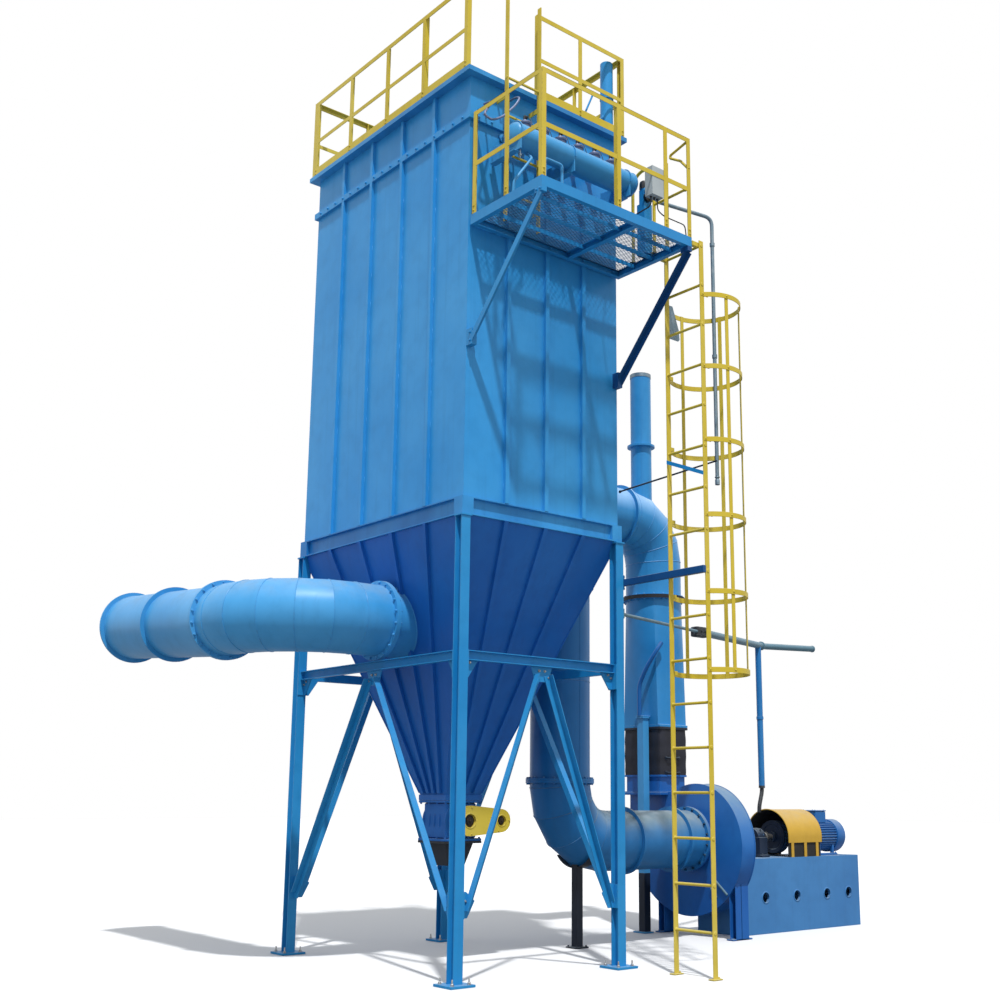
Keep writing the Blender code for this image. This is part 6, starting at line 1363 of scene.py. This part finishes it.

# Painted highlight: the casing's faces that look up are painted a paler blue.
fan_paint = enamel("fan_enamel", FAN_BLUE, FAN_FADED, streaks=0.25, dust=0.8, chips=0.6, waves=0.0006,
                   sky_sheen=FAN_SHEEN)
share = np.linspace(0, 1, 121)
angle = np.radians(CUTOFF_ANGLE + (360 - CUTOFF_ANGLE) * share)
reach = FAN_RADIUS + SCROLL_GROWTH * share ** SCROLL_RISE
outer = FAN_RADIUS + SCROLL_GROWTH
scroll = np.column_stack([reach * np.cos(angle), reach * np.sin(angle)])
scroll = np.vstack([scroll, (outer, MOUTH_HEIGHT), (MOUTH_DEPTH, MOUTH_HEIGHT)])
grown = scroll * (1 + RIM / np.linalg.norm(scroll, axis=1, keepdims=True))
grown[-2:, 1] = MOUTH_HEIGHT
eased = grown - (grown - scroll) * RIM_ROUND
axle = np.array(FAN_PLACE[1:])
half_rim = [(0.0, eased), (0.0012, grown), (RIM_THICK, grown), (RIM_THICK + 0.001, eased)]
rows = [*half_rim, *((FAN_WIDTH - x, line) for x, line in half_rim[::-1])]
cone_length = FAN_FACE - FAN_PLACE[0] + 0.002
taper = np.linspace(0, 1, 9)
cone = np.column_stack([SUCTION_RADIUS - CONE_NARROWS * (1 - np.cos(taper * np.pi / 2)),
                        FLANGE_THICK + (cone_length - FLANGE_THICK) * taper])
cone = [(CONE_FLANGE, 0.0004), (CONE_FLANGE, FLANGE_THICK), (SUCTION_RADIUS, FLANGE_THICK), *cone]
solids = [np.stack([xyz(FAN_FACE + x, *(line + axle).T) for x, line in rows])]
solids.append(laid(cone, DUCT_COLUMNS, FAN_PLACE, (1, 0, 0)))
far_face = FAN_FACE + FAN_WIDTH
hub = [(0.16, -0.001), (0.16, 0.030), (0.15, 0.040), (0.09, 0.044), (0.085, 0.050), (0.037, 0.050)]
solids.append(laid(hub, 48, (far_face, *axle), (1, 0, 0)))
eight = (np.arange(8) + 0.5) * np.pi / 4
hub_places = xyz(far_face + 0.035, axle[0] + 0.132 * np.cos(eight), axle[1] + 0.132 * np.sin(eight))
solids += bolts(hub_places, (1, 0, 0), 0.009)
mouth_middle = np.array((FAN_FACE + FAN_WIDTH / 2, FAN_PLACE[1] + outer - 0.30))
solids.append(slab(*mouth_middle, *MOUTH_HALF, 1.6297, 1.6597))
for y in FOOT_PLACES:
    low, high = axle[0] + y, axle[0] + y + FOOT_WIDE
    solids.append(block((FAN_FACE - 0.05, low, 0.0), (far_face + 0.05, high, 0.015), 0.003))
    for a, b in ((low, low + 0.010), (high - 0.010, high)):
        solids.append(block((FAN_FACE + 0.01, a, 0.0), (far_face - 0.01, b, FOOT_TOP), 0.002))
    solids.append(block((FAN_FACE + 0.10, low, 0.0), (FAN_FACE + 0.112, high, FOOT_TOP), 0.002))
    solids += bolts(xyz((FAN_FACE - 0.03, far_face + 0.03), (low + high) / 2, 0.015), (0, 0, 1), 0.011)
piece("fan_scroll", fan_paint, solids, replaces=["fan_casing"], crease=28.0)
piece("fan_cone_bolts", fan_paint, flange_bolts(FAN_PLACE, (1, 0, 0), SUCTION_RADIUS, SUCTION_BOLTS))


# The fan's pedestal: a light blue welded box with round hand holes in its sides. Two split bearings on it carry the
# shaft, and a dark belt pulley turns at its end, behind the guard.
PEDESTAL_BLUE = (0.045, 0.185, 0.440)
PEDESTAL_FADED = (0.060, 0.225, 0.500)
PEDESTAL_HOLES = (5.47, 6.07, 6.67, 7.12)
PEDESTAL_SIDES = (1.10, 1.80)
HOLE_LEVEL = 0.42
PEDESTAL_TOP = 0.88
BEARING_X = (5.20, 5.72)
BEARING_HALF = 0.071
PULLEY_LEFT = 6.05
PULLEY_WIDTH = 0.10
PULLEY_RADIUS = 0.20
BELT_GROOVES = 4
GROOVE_PITCH = 0.022
GROOVE_DEPTH = 0.014
SHAFT_RADIUS = 0.0363
SHAFT_ENDS = (4.8905, 6.252)
SHAFT_COLOR = (0.30, 0.30, 0.29)

pedestal_paint = enamel("pedestal_enamel", PEDESTAL_BLUE, PEDESTAL_FADED, streaks=0.3, dust=0.8, chips=0.8)
wear(pedestal_paint, "fan_pedestal")
lip = turned([(0.0610, -0.004), (0.0610, 0.005), (0.0640, 0.0065), (0.0730, 0.004), (0.0745, -0.001)], 40)
lips = [stamped(lip, xyz(PEDESTAL_HOLES, y, HOLE_LEVEL), (0, way, 0)) for y, way in zip(PEDESTAL_SIDES, (-1, 1))]
piece("pedestal_hole_lips", pedestal_paint, rings=lips)
cup = [(0.106, 0.0), (0.108, 0.004), (0.108, 0.020), (0.100, 0.028), (0.112, 0.040), (0.112, 0.100), (0.100, 0.112),
       (0.108, 0.120), (0.108, 0.138), (0.106, 0.142)]
cover_line = [(0.060, 0.0), (0.060, 0.010), (0.038, 0.014)]
solids, stools = [], []
for x in BEARING_X:
    solids.append(laid(cup, 48, (x - BEARING_HALF, *axle), (1, 0, 0)))
    solids += [laid(cover_line, 32, (x + way * BEARING_HALF, *axle), (way, 0, 0)) for way in (-1, 1)]
    solids.append(slab(x, axle[0], 0.075, 0.165, PEDESTAL_TOP, PEDESTAL_TOP + 0.030, 0.004))
    solids += bolts(four(x, axle[0], PEDESTAL_TOP + 0.030, 0.045, 0.145), (0, 0, 1), 0.011)
    solids += bolts(xyz(x, (axle[0] - 0.085, axle[0] + 0.085), axle[1] + 0.085), (0, 0, 1), 0.010)
    stools.append(slab(x, axle[0], 0.0735, 0.1335, PEDESTAL_TOP + 0.001, axle[1] + 0.0005, 0.004))
piece("shaft_bearings", post_paint, solids + stools)
shaft_steel = flecked("shaft_steel", SHAFT_COLOR, 0.34, 0.9, [(30.0, 5.0, 0.48, 0.70, 0.7, (0.15, 0.11, 0.08), 0.75)],
                      (300.0, 2.0, (1, 6, 6)), 0.0001)
rim = PULLEY_RADIUS + 0.004
groove = [(rim, 0.002)]
for left in 0.008 + GROOVE_PITCH * np.arange(BELT_GROOVES):
    groove += [(rim, left), (rim - GROOVE_DEPTH, left + 0.006), (rim - GROOVE_DEPTH, left + 0.012), (rim, left + 0.018)]
groove += [(rim, PULLEY_WIDTH - 0.002), (PULLEY_RADIUS - 0.03, PULLEY_WIDTH + 0.001), (0.05, PULLEY_WIDTH + 0.001)]
pulley = [(0.040, -0.030), (0.062, -0.030), (0.064, -0.002), (0.150, -0.002), (0.158, -0.010), (PULLEY_RADIUS, -0.010)]
piece("belt_pulley", post_paint, [laid(pulley + groove, 64, (PULLEY_LEFT, *axle), (1, 0, 0))])
r, (left, right) = SHAFT_RADIUS, SHAFT_ENDS
shaft_line = [(0.0005, left), (r, left), (r, 5.10), (r + 0.0042, 5.102), (r + 0.0042, 5.118), (r, 5.12),
              (r, right - 0.003), (0.0335, right), (0.0005, right)]
collar = [(0.037, -0.03), (0.058, -0.028), (0.062, -0.020), (0.062, 0.020), (0.058, 0.028), (0.037, 0.03)]
solids = [laid(shaft_line, 32, (0, *axle), (1, 0, 0)), laid(collar, 40, (5.90, *axle), (1, 0, 0))]
piece("fan_shaft", shaft_steel, solids)


# The drive guard: a half cylinder of yellow sheet over the pulley and the coupling, open towards the fan, with a rolled
# rim there and an end wall on the motor's side. Its inside is lined near-black as painted shade, flecked with belt
# dust.
HOOD_RADIUS = 0.34
HOOD_WALL = 0.006
HOOD_FOOT = 1.055
HOOD_YELLOW = (0.50, 0.285, 0.022)
HOOD_FADED = (0.56, 0.34, 0.040)
HOOD_SHADE_BLACK = (0.010, 0.010, 0.010)
BELT_DUST = (0.035, 0.032, 0.028)

hood_low, hood_high = map(np.array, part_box("drive_guard"))
left, right, seat = hood_low[0], hood_high[0], hood_low[2]
over = np.linspace(0, np.pi, 61)


def arch(radius):
    """The hood's outline about the axle: half a circle, with both ends brought down to the hood's foot."""
    drop = HOOD_FOOT - axle[1]
    return np.vstack([(radius, drop), np.column_stack([np.cos(over), np.sin(over)]) * radius, (-radius, drop)])


def banded(big, small, left, right):
    """The hood's arch as a closed band between two radii, from its left edge to its right one."""
    corners = ((left, big), (right, big), (right, small), (left, small))
    return np.stack([xyz(x, *(arch(radius) + axle).T) for x, radius in corners], axis=1)


hood_paint = enamel("hood_enamel", HOOD_YELLOW, HOOD_FADED, streaks=0.25, dust=0.35, chips=0.6, waves=0.0006)
outer_arch = (arch(HOOD_RADIUS) + axle).T
solids = [banded(HOOD_RADIUS, HOOD_RADIUS - 0.003, left, right - 0.001)]
solids.append(tube(xyz(left + 0.006, *outer_arch), 0.0075, 8, (1, 0, 0)))
solids.append(np.stack([xyz(x, *outer_arch) for x in (right - HOOD_WALL, right)]))
for way in (-1, 1):
    side = axle[0] + way * HOOD_RADIUS
    for x in (left + 0.08, (left + right) / 2, right - 0.10):
        solids.append(slab(x, side - way * 0.02, 0.025, 0.0205, seat, seat + 0.005, 0.001))
        solids.append(slab(x, side - way * 0.0045, 0.025, 0.0035, seat, HOOD_FOOT + 0.03, 0.001))
piece("drive_guard_hood", hood_paint, solids, replaces=["drive_guard"], crease=40.0)
# Painted shade: a near-black lining inside the hood, flecked with belt dust, stands for the shade in it.
hood_shade_black = flecked("hood_shade_black", HOOD_SHADE_BLACK, 0.85, 0.0, [(12.0, 5.0, 0.45, 0.72, 0.5, BELT_DUST, 0.9)],
                     (180.0, 3.0), 0.0003)
back = arch(HOOD_RADIUS) * (0.975, 1.0)
back[:, 1] = np.minimum(back[:, 1], back[:, 1] * 0.975 + 0.0001)
lining = [banded(HOOD_RADIUS - 0.0032, HOOD_RADIUS - HOOD_WALL, left + 0.010, right - HOOD_WALL - 0.001)]
lining.append(np.stack([xyz(right - HOOD_WALL - x, *(back + axle).T) for x in (0.004, 0.0005)]))
lining += [slab((left + right) / 2, axle[0] + way * 0.317, (right - left) / 2 - 0.02, 0.009, seat + 0.0005,
                HOOD_FOOT + 0.02, 0.002) for way in (-1, 1)]
piece("drive_guard_shade_lining", hood_shade_black, lining, crease=40.0)


# The fan's motor: a cast frame with cooling fins along it, end bells, a cowl over its fan and a terminal box on top,
# bolted by its feet to the pedestal.
MOTOR_BLUE = (0.010, 0.110, 0.360)
MOTOR_FADED = (0.020, 0.150, 0.420)
MOTOR_RADIUS = 0.20
MOTOR_ENDS = (6.68, 7.28)
MOTOR_SEAT = 0.8803
MOTOR_FOOT = 0.905
TERMINAL_HALF = 0.11

motor_paint = enamel("motor_enamel", MOTOR_BLUE, MOTOR_FADED, streaks=0.2, dust=0.7, chips=0.6, waves=0.0)
(left, right), r, cowl = MOTOR_ENDS, MOTOR_RADIUS, MOTOR_RADIUS * 1.05
bell = [(0.060, -0.012), (0.075, 0.0), (0.150, 0.004), (r - 0.012, 0.012), (r, 0.018), (r, 0.046), (r - 0.006, 0.050)]
cowl_line = [(cowl - 0.004, -0.002), (cowl, 0.0), (cowl, 0.150), (cowl - 0.012, 0.170), (cowl * 0.80, 0.179),
             (cowl * 0.30, 0.180)]
solids = [finned(r - 0.002, 0.022, 36, (left + 0.040, *axle), right - left - 0.16, (1, 0, 0)),
          laid(bell, 56, (left, *axle), (1, 0, 0)), laid(cowl_line, 56, (right - 0.14, *axle), (1, 0, 0)),
          tube(xyz(left + np.array((-0.0597, -0.03, 0.01)), *axle), 0.035, 24)]
middle, half = (left + right) / 2 - 0.04, (right - left) / 2
for way in (-1, 1):
    solids.append(slab(middle, axle[0] + way * 0.165, half - 0.12, 0.035, MOTOR_SEAT, MOTOR_FOOT, 0.004))
    solids += [slab(x, axle[0] + way * 0.145, 0.020, 0.020, 0.900, 1.02, 0.004) for x in (left + 0.12, right - 0.20)]
solids += bolts(four(middle, axle[0], MOTOR_FOOT, half - 0.14, 0.184), (0, 0, 1), 0.010)
middle, half, top = left + 0.23, TERMINAL_HALF, axle[1] + 0.312
solids.append(slab(middle, axle[0], half, half, axle[1] + 0.165, top, 0.008))
solids.append(slab(middle, axle[0], half + 0.005, half + 0.005, top, top + 0.016, 0.005))
solids += bolts(four(middle, axle[0], top + 0.0155, half - 0.02, half - 0.02), (0, 0, 1), 0.005)
piece("fan_motor", motor_paint, solids, replaces=["drive_motor"])


# The joint over the fan's outlet: a sleeve of black rubber cloth between a blue sheet collar and a steel frame, which
# keeps the fan's shake from the duct. Two bar handles stand out on its near side.
JOINT_LOW = 1.66
JOINT_HIGH = 2.46
FRAME_THICK = 0.03
COLLAR_TOP = 1.87
CLOTH_BLACK = (0.007, 0.008, 0.015)
CLOTH_FADED = (0.012, 0.015, 0.032)
CLOTH_HALF = (0.240, 0.318)
CLOTH_COLUMNS = 96
COLLAR_LINE = ((JOINT_LOW, (0.244, 0.325)), (JOINT_LOW + 0.012, (0.244, 0.325)), (JOINT_LOW + 0.014, (0.232, 0.300)),
               (COLLAR_TOP - 0.02, (0.232, 0.300)), (COLLAR_TOP - 0.018, (0.246, 0.326)),
               (COLLAR_TOP + 0.004, (0.246, 0.326)))
HANDLE_LEVELS = (1.90, 2.08)
HANDLE_ENDS = (4.58, 4.80)

rubber_cloth = Layers("joint_cloth", CLOTH_BLACK, 0.72)
rubber_cloth.over(rubber_cloth.ramp(rubber_cloth.noise(3.0, 4.0), 0.46, 0.66, 0.0, 0.6), (*CLOTH_FADED, 1.0), 0.66)
rubber_cloth.over(rubber_cloth.math("MULTIPLY", rubber_cloth.upward(0.1, 0.9), 0.7), DUST_COLOR, 0.9)
rubber_cloth.bump(rubber_cloth.noise(9.0, 3.0), 0.004)
rubber_cloth.bump(rubber_cloth.noise(700.0, 1.0), 0.00025)
rubber_cloth = rubber_cloth.done()
angle = np.arange(CLOTH_COLUMNS) * 2 * np.pi / CLOTH_COLUMNS
circle = np.column_stack([np.cos(angle), np.sin(angle)])
rounded = np.sign(circle) * np.abs(circle) ** 0.12


def lofted(rows):
    """A solid over the fan's mouth through level outlines, each given about the mouth's middle and with its height."""
    return np.stack([xyz(*(line + mouth_middle).T, z) for line, z in rows])


tall = np.linspace(0, 1, 33)
swell = 0.004 * np.sin(tall * np.pi) + 0.0015 * np.sin(tall * 19)
cloth = lofted([(rounded * (np.array(CLOTH_HALF) + bulge), COLLAR_TOP + share * (JOINT_HIGH - COLLAR_TOP - 0.002))
                for share, bulge in zip(tall, swell)])
piece("joint_cloth", rubber_cloth, [cloth], replaces=["outlet_joint"], crease=50.0)
piece("outlet_collar", fan_paint, [lofted([(rounded * half, z) for z, half in COLLAR_LINE])])
solids = [slab(*mouth_middle, *MOUTH_HALF, JOINT_HIGH - FRAME_THICK, JOINT_HIGH)]
edge = [(x, side * 0.312) for side in (-1, 1) for x in np.linspace(-0.21, 0.21, 5)]
edge += [(side * 0.240, y) for side in (-1, 1) for y in np.linspace(-0.29, 0.29, 6)[1:5]]
solids += bolts(xyz(*(edge + mouth_middle).T, JOINT_HIGH - FRAME_THICK), (0, 0, -1), 0.0075)
near = mouth_middle[1] - CLOTH_HALF[1]
for z in HANDLE_LEVELS:
    a, b = HANDLE_ENDS
    grip = bent([(a, near + 0.004, z), (a, near - 0.035, z), (b, near - 0.035, z), (b, near + 0.004, z)], 0.02)
    solids += [tube(grip, 0.009, 10), *(slab(x, near - 0.004, 0.02, 0.008, z - 0.02, z + 0.02, 0.002) for x in (a, b))]
piece("joint_frames", post_paint, solids)


# The discharge side: a taper from the joint's oblong to a round, a mitred bend back over the run, and a vent stack let
# into the bend. A black gasket ring shows at the lower flange, and a square post carries the taper's foot.
DISCHARGE_BLUE = (0.020, 0.225, 0.540)
DISCHARGE_FADED = (0.045, 0.290, 0.610)
DISCHARGE_SHEEN = (0.36, 0.57, 0.83)
DISCHARGE_RADIUS = 0.355
TAPER_TOP = 4.10
TAPER_LOW = 2.4603
TAPER_HALF = (0.25, 0.30)
ELBOW_AXIS = 5.12
ELBOW_BEND = 0.55
ELBOW_GORES = 4
LEG_END_X = 3.30
STACK_PLACE = (4.52, 2.20)
STACK_FOOT = 5.3446
STACK_TOP = 7.10
STACK_RADIUS = 0.135
STACK_WALL = 0.005
STACK_RING = 6.10
POST_BLUE = (0.050, 0.290, 0.600)
TAPER_BENT_PIPE = ((4.485, 1.838, 3.50), (4.40, 1.855, 3.38), (4.352, 1.965, 3.20), (4.336, 2.09, 2.98), (4.345, 2.10, 2.60))

# Painted highlight: the bend's faces that look up are painted a pale sky blue.
discharge_paint = enamel("discharge_enamel", DISCHARGE_BLUE, DISCHARGE_FADED, dust=0.3, waves=0.0008,
                         sky_sheen=DISCHARGE_SHEEN)
stand_paint = enamel("stand_enamel", POST_BLUE, DUCT_FADED, streaks=0.3, dust=0.6, chips=0.7)
wear(stand_paint, "discharge_post")
oblong = circle / np.abs(circle).max(axis=1, keepdims=True) * TAPER_HALF
low, high = TAPER_LOW + 0.029, TAPER_TOP - FLANGE_THICK
rows = [(oblong * (1 - share) + circle * DISCHARGE_RADIUS * share, low + share * (high - low))
        for share in np.linspace(0, 1, 11)]
rim = DISCHARGE_RADIUS + FLANGE_PROUD
solids = [lofted([*rows, (circle * rim, high), (circle * rim, TAPER_TOP)]),
          slab(*mouth_middle, *MOUTH_HALF, TAPER_LOW, TAPER_LOW + 0.030),
          block((4.34, 2.035, 2.5803), (4.515, 2.165, 2.595), 0.002)]
piece("discharge_transition", discharge_paint, solids, replaces=["discharge_taper"], crease=20.0)
mouth_x, mouth_y = mouth_middle
swing = np.linspace(0, np.pi / 2, ELBOW_GORES + 1)
bend_x, bend_z = mouth_x - ELBOW_BEND, ELBOW_AXIS - ELBOW_BEND
arc = xyz(bend_x + ELBOW_BEND * np.cos(swing), mouth_y, bend_z + ELBOW_BEND * np.sin(swing))
discharge_path = np.vstack([(mouth_x, mouth_y, TAPER_TOP + SEAT_GAP), arc, (LEG_END_X, mouth_y, ELBOW_AXIS)])
last = len(discharge_path) - 2
rings = [open_duct(discharge_path, DISCHARGE_RADIUS, INLET_WALL, ((0, 0.0), (last, 0.08), (last, None)), (0, 1, 0))]
rings += list(seam_beads(discharge_path, DISCHARGE_RADIUS, (0, 1, 0)))
stack_path = xyz(*STACK_PLACE, (STACK_FOOT, STACK_TOP))
rings.append(open_duct(stack_path, STACK_RADIUS, STACK_WALL, ((0, STACK_RING - STACK_FOOT),), (0, 1, 0), 48))
round_x, round_y = (circle * STACK_RADIUS + STACK_PLACE).T
torus = np.sqrt(DISCHARGE_RADIUS ** 2 - (round_y - mouth_y) ** 2)
foot_z = bend_z + np.sqrt((ELBOW_BEND + torus) ** 2 - (round_x - bend_x) ** 2)
rings.append(weld_ring(xyz(round_x, round_y, foot_z - 0.006), xyz(*circle.T, 0), (0, 0, 1), FILLET, ripple=0.0))
piece("discharge_bend", discharge_paint, rings=rings, replaces=["discharge_elbow"], crease=14.0)
half = FLANGE_THICK / 2
bolt_rings = flange_bolts((*mouth_middle, TAPER_TOP), (0, 0, 1), DISCHARGE_RADIUS)
bolt_rings += flange_bolts((LEG_END_X + half, mouth_y, ELBOW_AXIS), (1, 0, 0), DISCHARGE_RADIUS, thick=half)
piece("discharge_flange_bolts", discharge_paint, bolt_rings)
band = [(rim - 0.001, -0.024), (rim + 0.0015, -0.024), (rim + 0.0015, 0.024), (rim - 0.001, 0.024)]
piece("flange_gasket", rubber_cloth, rings=[laid(band, 96, (*mouth_middle, TAPER_TOP), (0, 0, 1))])
r = STACK_RADIUS
stack_rim = [(r + 0.001, -0.05), (r + 0.004, -0.048), (r + 0.004, 0.002), (r - 0.004, 0.002), (r - 0.004, 0.0005),
             (r + 0.001, 0.0005)]
piece("stack_rim", pipe_zinc, rings=[laid(stack_rim, 64, stack_path[1], (0, 0, 1))])
# Painted shade: a near-black band over the post's lower part stands for the shadow of the ducts above it.
foot = block((4.3535, 2.0485, 0.0005), (4.4565, 2.1515, 0.70))
piece("discharge_post_shade_band", post_paint, [foot])
# A dark blue bent pipe lies along the taper.
piece("taper_bent_pipe", motor_paint, [tube(bent(TAPER_BENT_PIPE, 0.08, 8), 0.026, 16, (0.3, 1, 0))])


# The cable conduit: a thin pipe from the front leg to a black clamp, then a thick pale pipe with a capped end over the
# drive. A drop of pipe with a black hose elbow brings the cable down to the fan's guard.
CONDUIT_BLUE = (0.085, 0.175, 0.230)
CONDUIT_FADED = (0.115, 0.225, 0.290)
CONDUIT_START = (LEG_FACE_X, 0.01, 3.42)
CONDUIT_CORNER = (6.03, 1.58, 3.57)
CONDUIT_FURTHER = (7.2, 1.6, 3.616)
CONDUIT_CLAMP = 0.515
CONDUIT_RADIUS = 0.043
CONDUIT_THIN = 0.018
CONDUIT_PAST = 0.14
DROP_RADIUS = 0.039

conduit_paint = enamel("conduit_enamel", CONDUIT_BLUE, CONDUIT_FADED, streaks=0.3, dust=0.8, chips=0.6, waves=0.0)
start, corner = np.array(CONDUIT_START), np.array(CONDUIT_CORNER)
way = (corner - start) / np.linalg.norm(corner - start)
clamp, end, r = start + (corner - start) * CONDUIT_CLAMP, corner + way * CONDUIT_PAST, CONDUIT_RADIUS
solids = [tube(np.linspace(start, clamp, 3), CONDUIT_THIN, 20), tube(np.linspace(clamp, end, 3), r, 32)]
solids.append(laid([(r + 0.002, -0.030), (r + 0.015, -0.026), (r + 0.015, -0.002), (r, 0.0)], 32, end, way))
solids.append(block((LEG_FACE_X, -0.04, 3.37), (LEG_FACE_X + 0.015, 0.06, 3.47)))
piece("cable_pipe", conduit_paint, solids, replaces=["cable_conduit"])
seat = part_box("cable_conduit")[0][2]
pipe_foot = seat + 0.28
x, y, z = corner
dropped = [tube(xyz(x, y, (z, 2.5, pipe_foot)), DROP_RADIUS, 28, (1, 0, 0))]
dropped.append(laid([(0.0385, -0.02), (0.046, -0.018), (0.046, 0.018), (0.0385, 0.02)], 28, (x, y, 2.62), (0, 0, 1)))
piece("cable_drop", suction_paint, dropped)
run_on = bent([end - way * 0.04, end + way * 0.05, CONDUIT_FURTHER], 0.10, 12)
cap = [(r + 0.001, -0.012), (r + 0.003, -0.008), (r + 0.003, 0.010), (r - 0.004, 0.014)]
further = [tube(run_on, r - 0.002, 32), laid(cap, 32, run_on[-1], run_on[-1] - run_on[-2])]
piece("cable_pipe_further", conduit_paint, further)
solids = [block(clamp - (0.11, 0.055, 0.060), clamp + (0.11, 0.055, 0.055), 0.010)]
solids += bolts([clamp + (dx, -0.06, 0.0) for dx in (-0.035, 0.035)], (0, -1, 0), 0.010)
hose = [(x, y, pipe_foot + 0.03), (x, y, pipe_foot - 0.05), (x - 0.085, y - 0.02, seat + 0.05),
        (x - 0.088, y - 0.02, seat - 0.03)]
solids.append(tube(bent(hose, 0.05, 8), 0.026, 16, (0.2, 1, 0)))
solids.append(laid([(0.040, 0.0), (0.040, 0.030), (0.034, 0.036)], 24, (x, y, pipe_foot - 0.005), (0, 0, 1)))
piece("conduit_clamp", cable_black, solids)


# A thin dark rod steadies the cage from the housing's corner, and two pale stay bars cross the fan's lower side. All
# three are thinner than the solids of the CAD go.
CAGE_ROD = ((2.004, 0.0, 4.69), (2.567, -0.836, 4.952))
FAN_STAYS = ((((4.588, 1.162, 0.689), (4.588, 0.937, 0.499)), 0.013),
             (((4.588, 1.19, 0.56), (4.588, 1.10, 0.46)), 0.012))

rod = np.linspace(*CAGE_ROD, 9)
piece("cage_rod", post_paint, [tube(rod, 0.009, 10), *bolts([rod[0] + (0.001, 0, 0)], (1, 0, 0), 0.012)])
stays = [tube(np.linspace(*ends, 4), radius, 10, (1, 0, 0)) for ends, radius in FAN_STAYS]
piece("fan_stays", conduit_paint, stays)
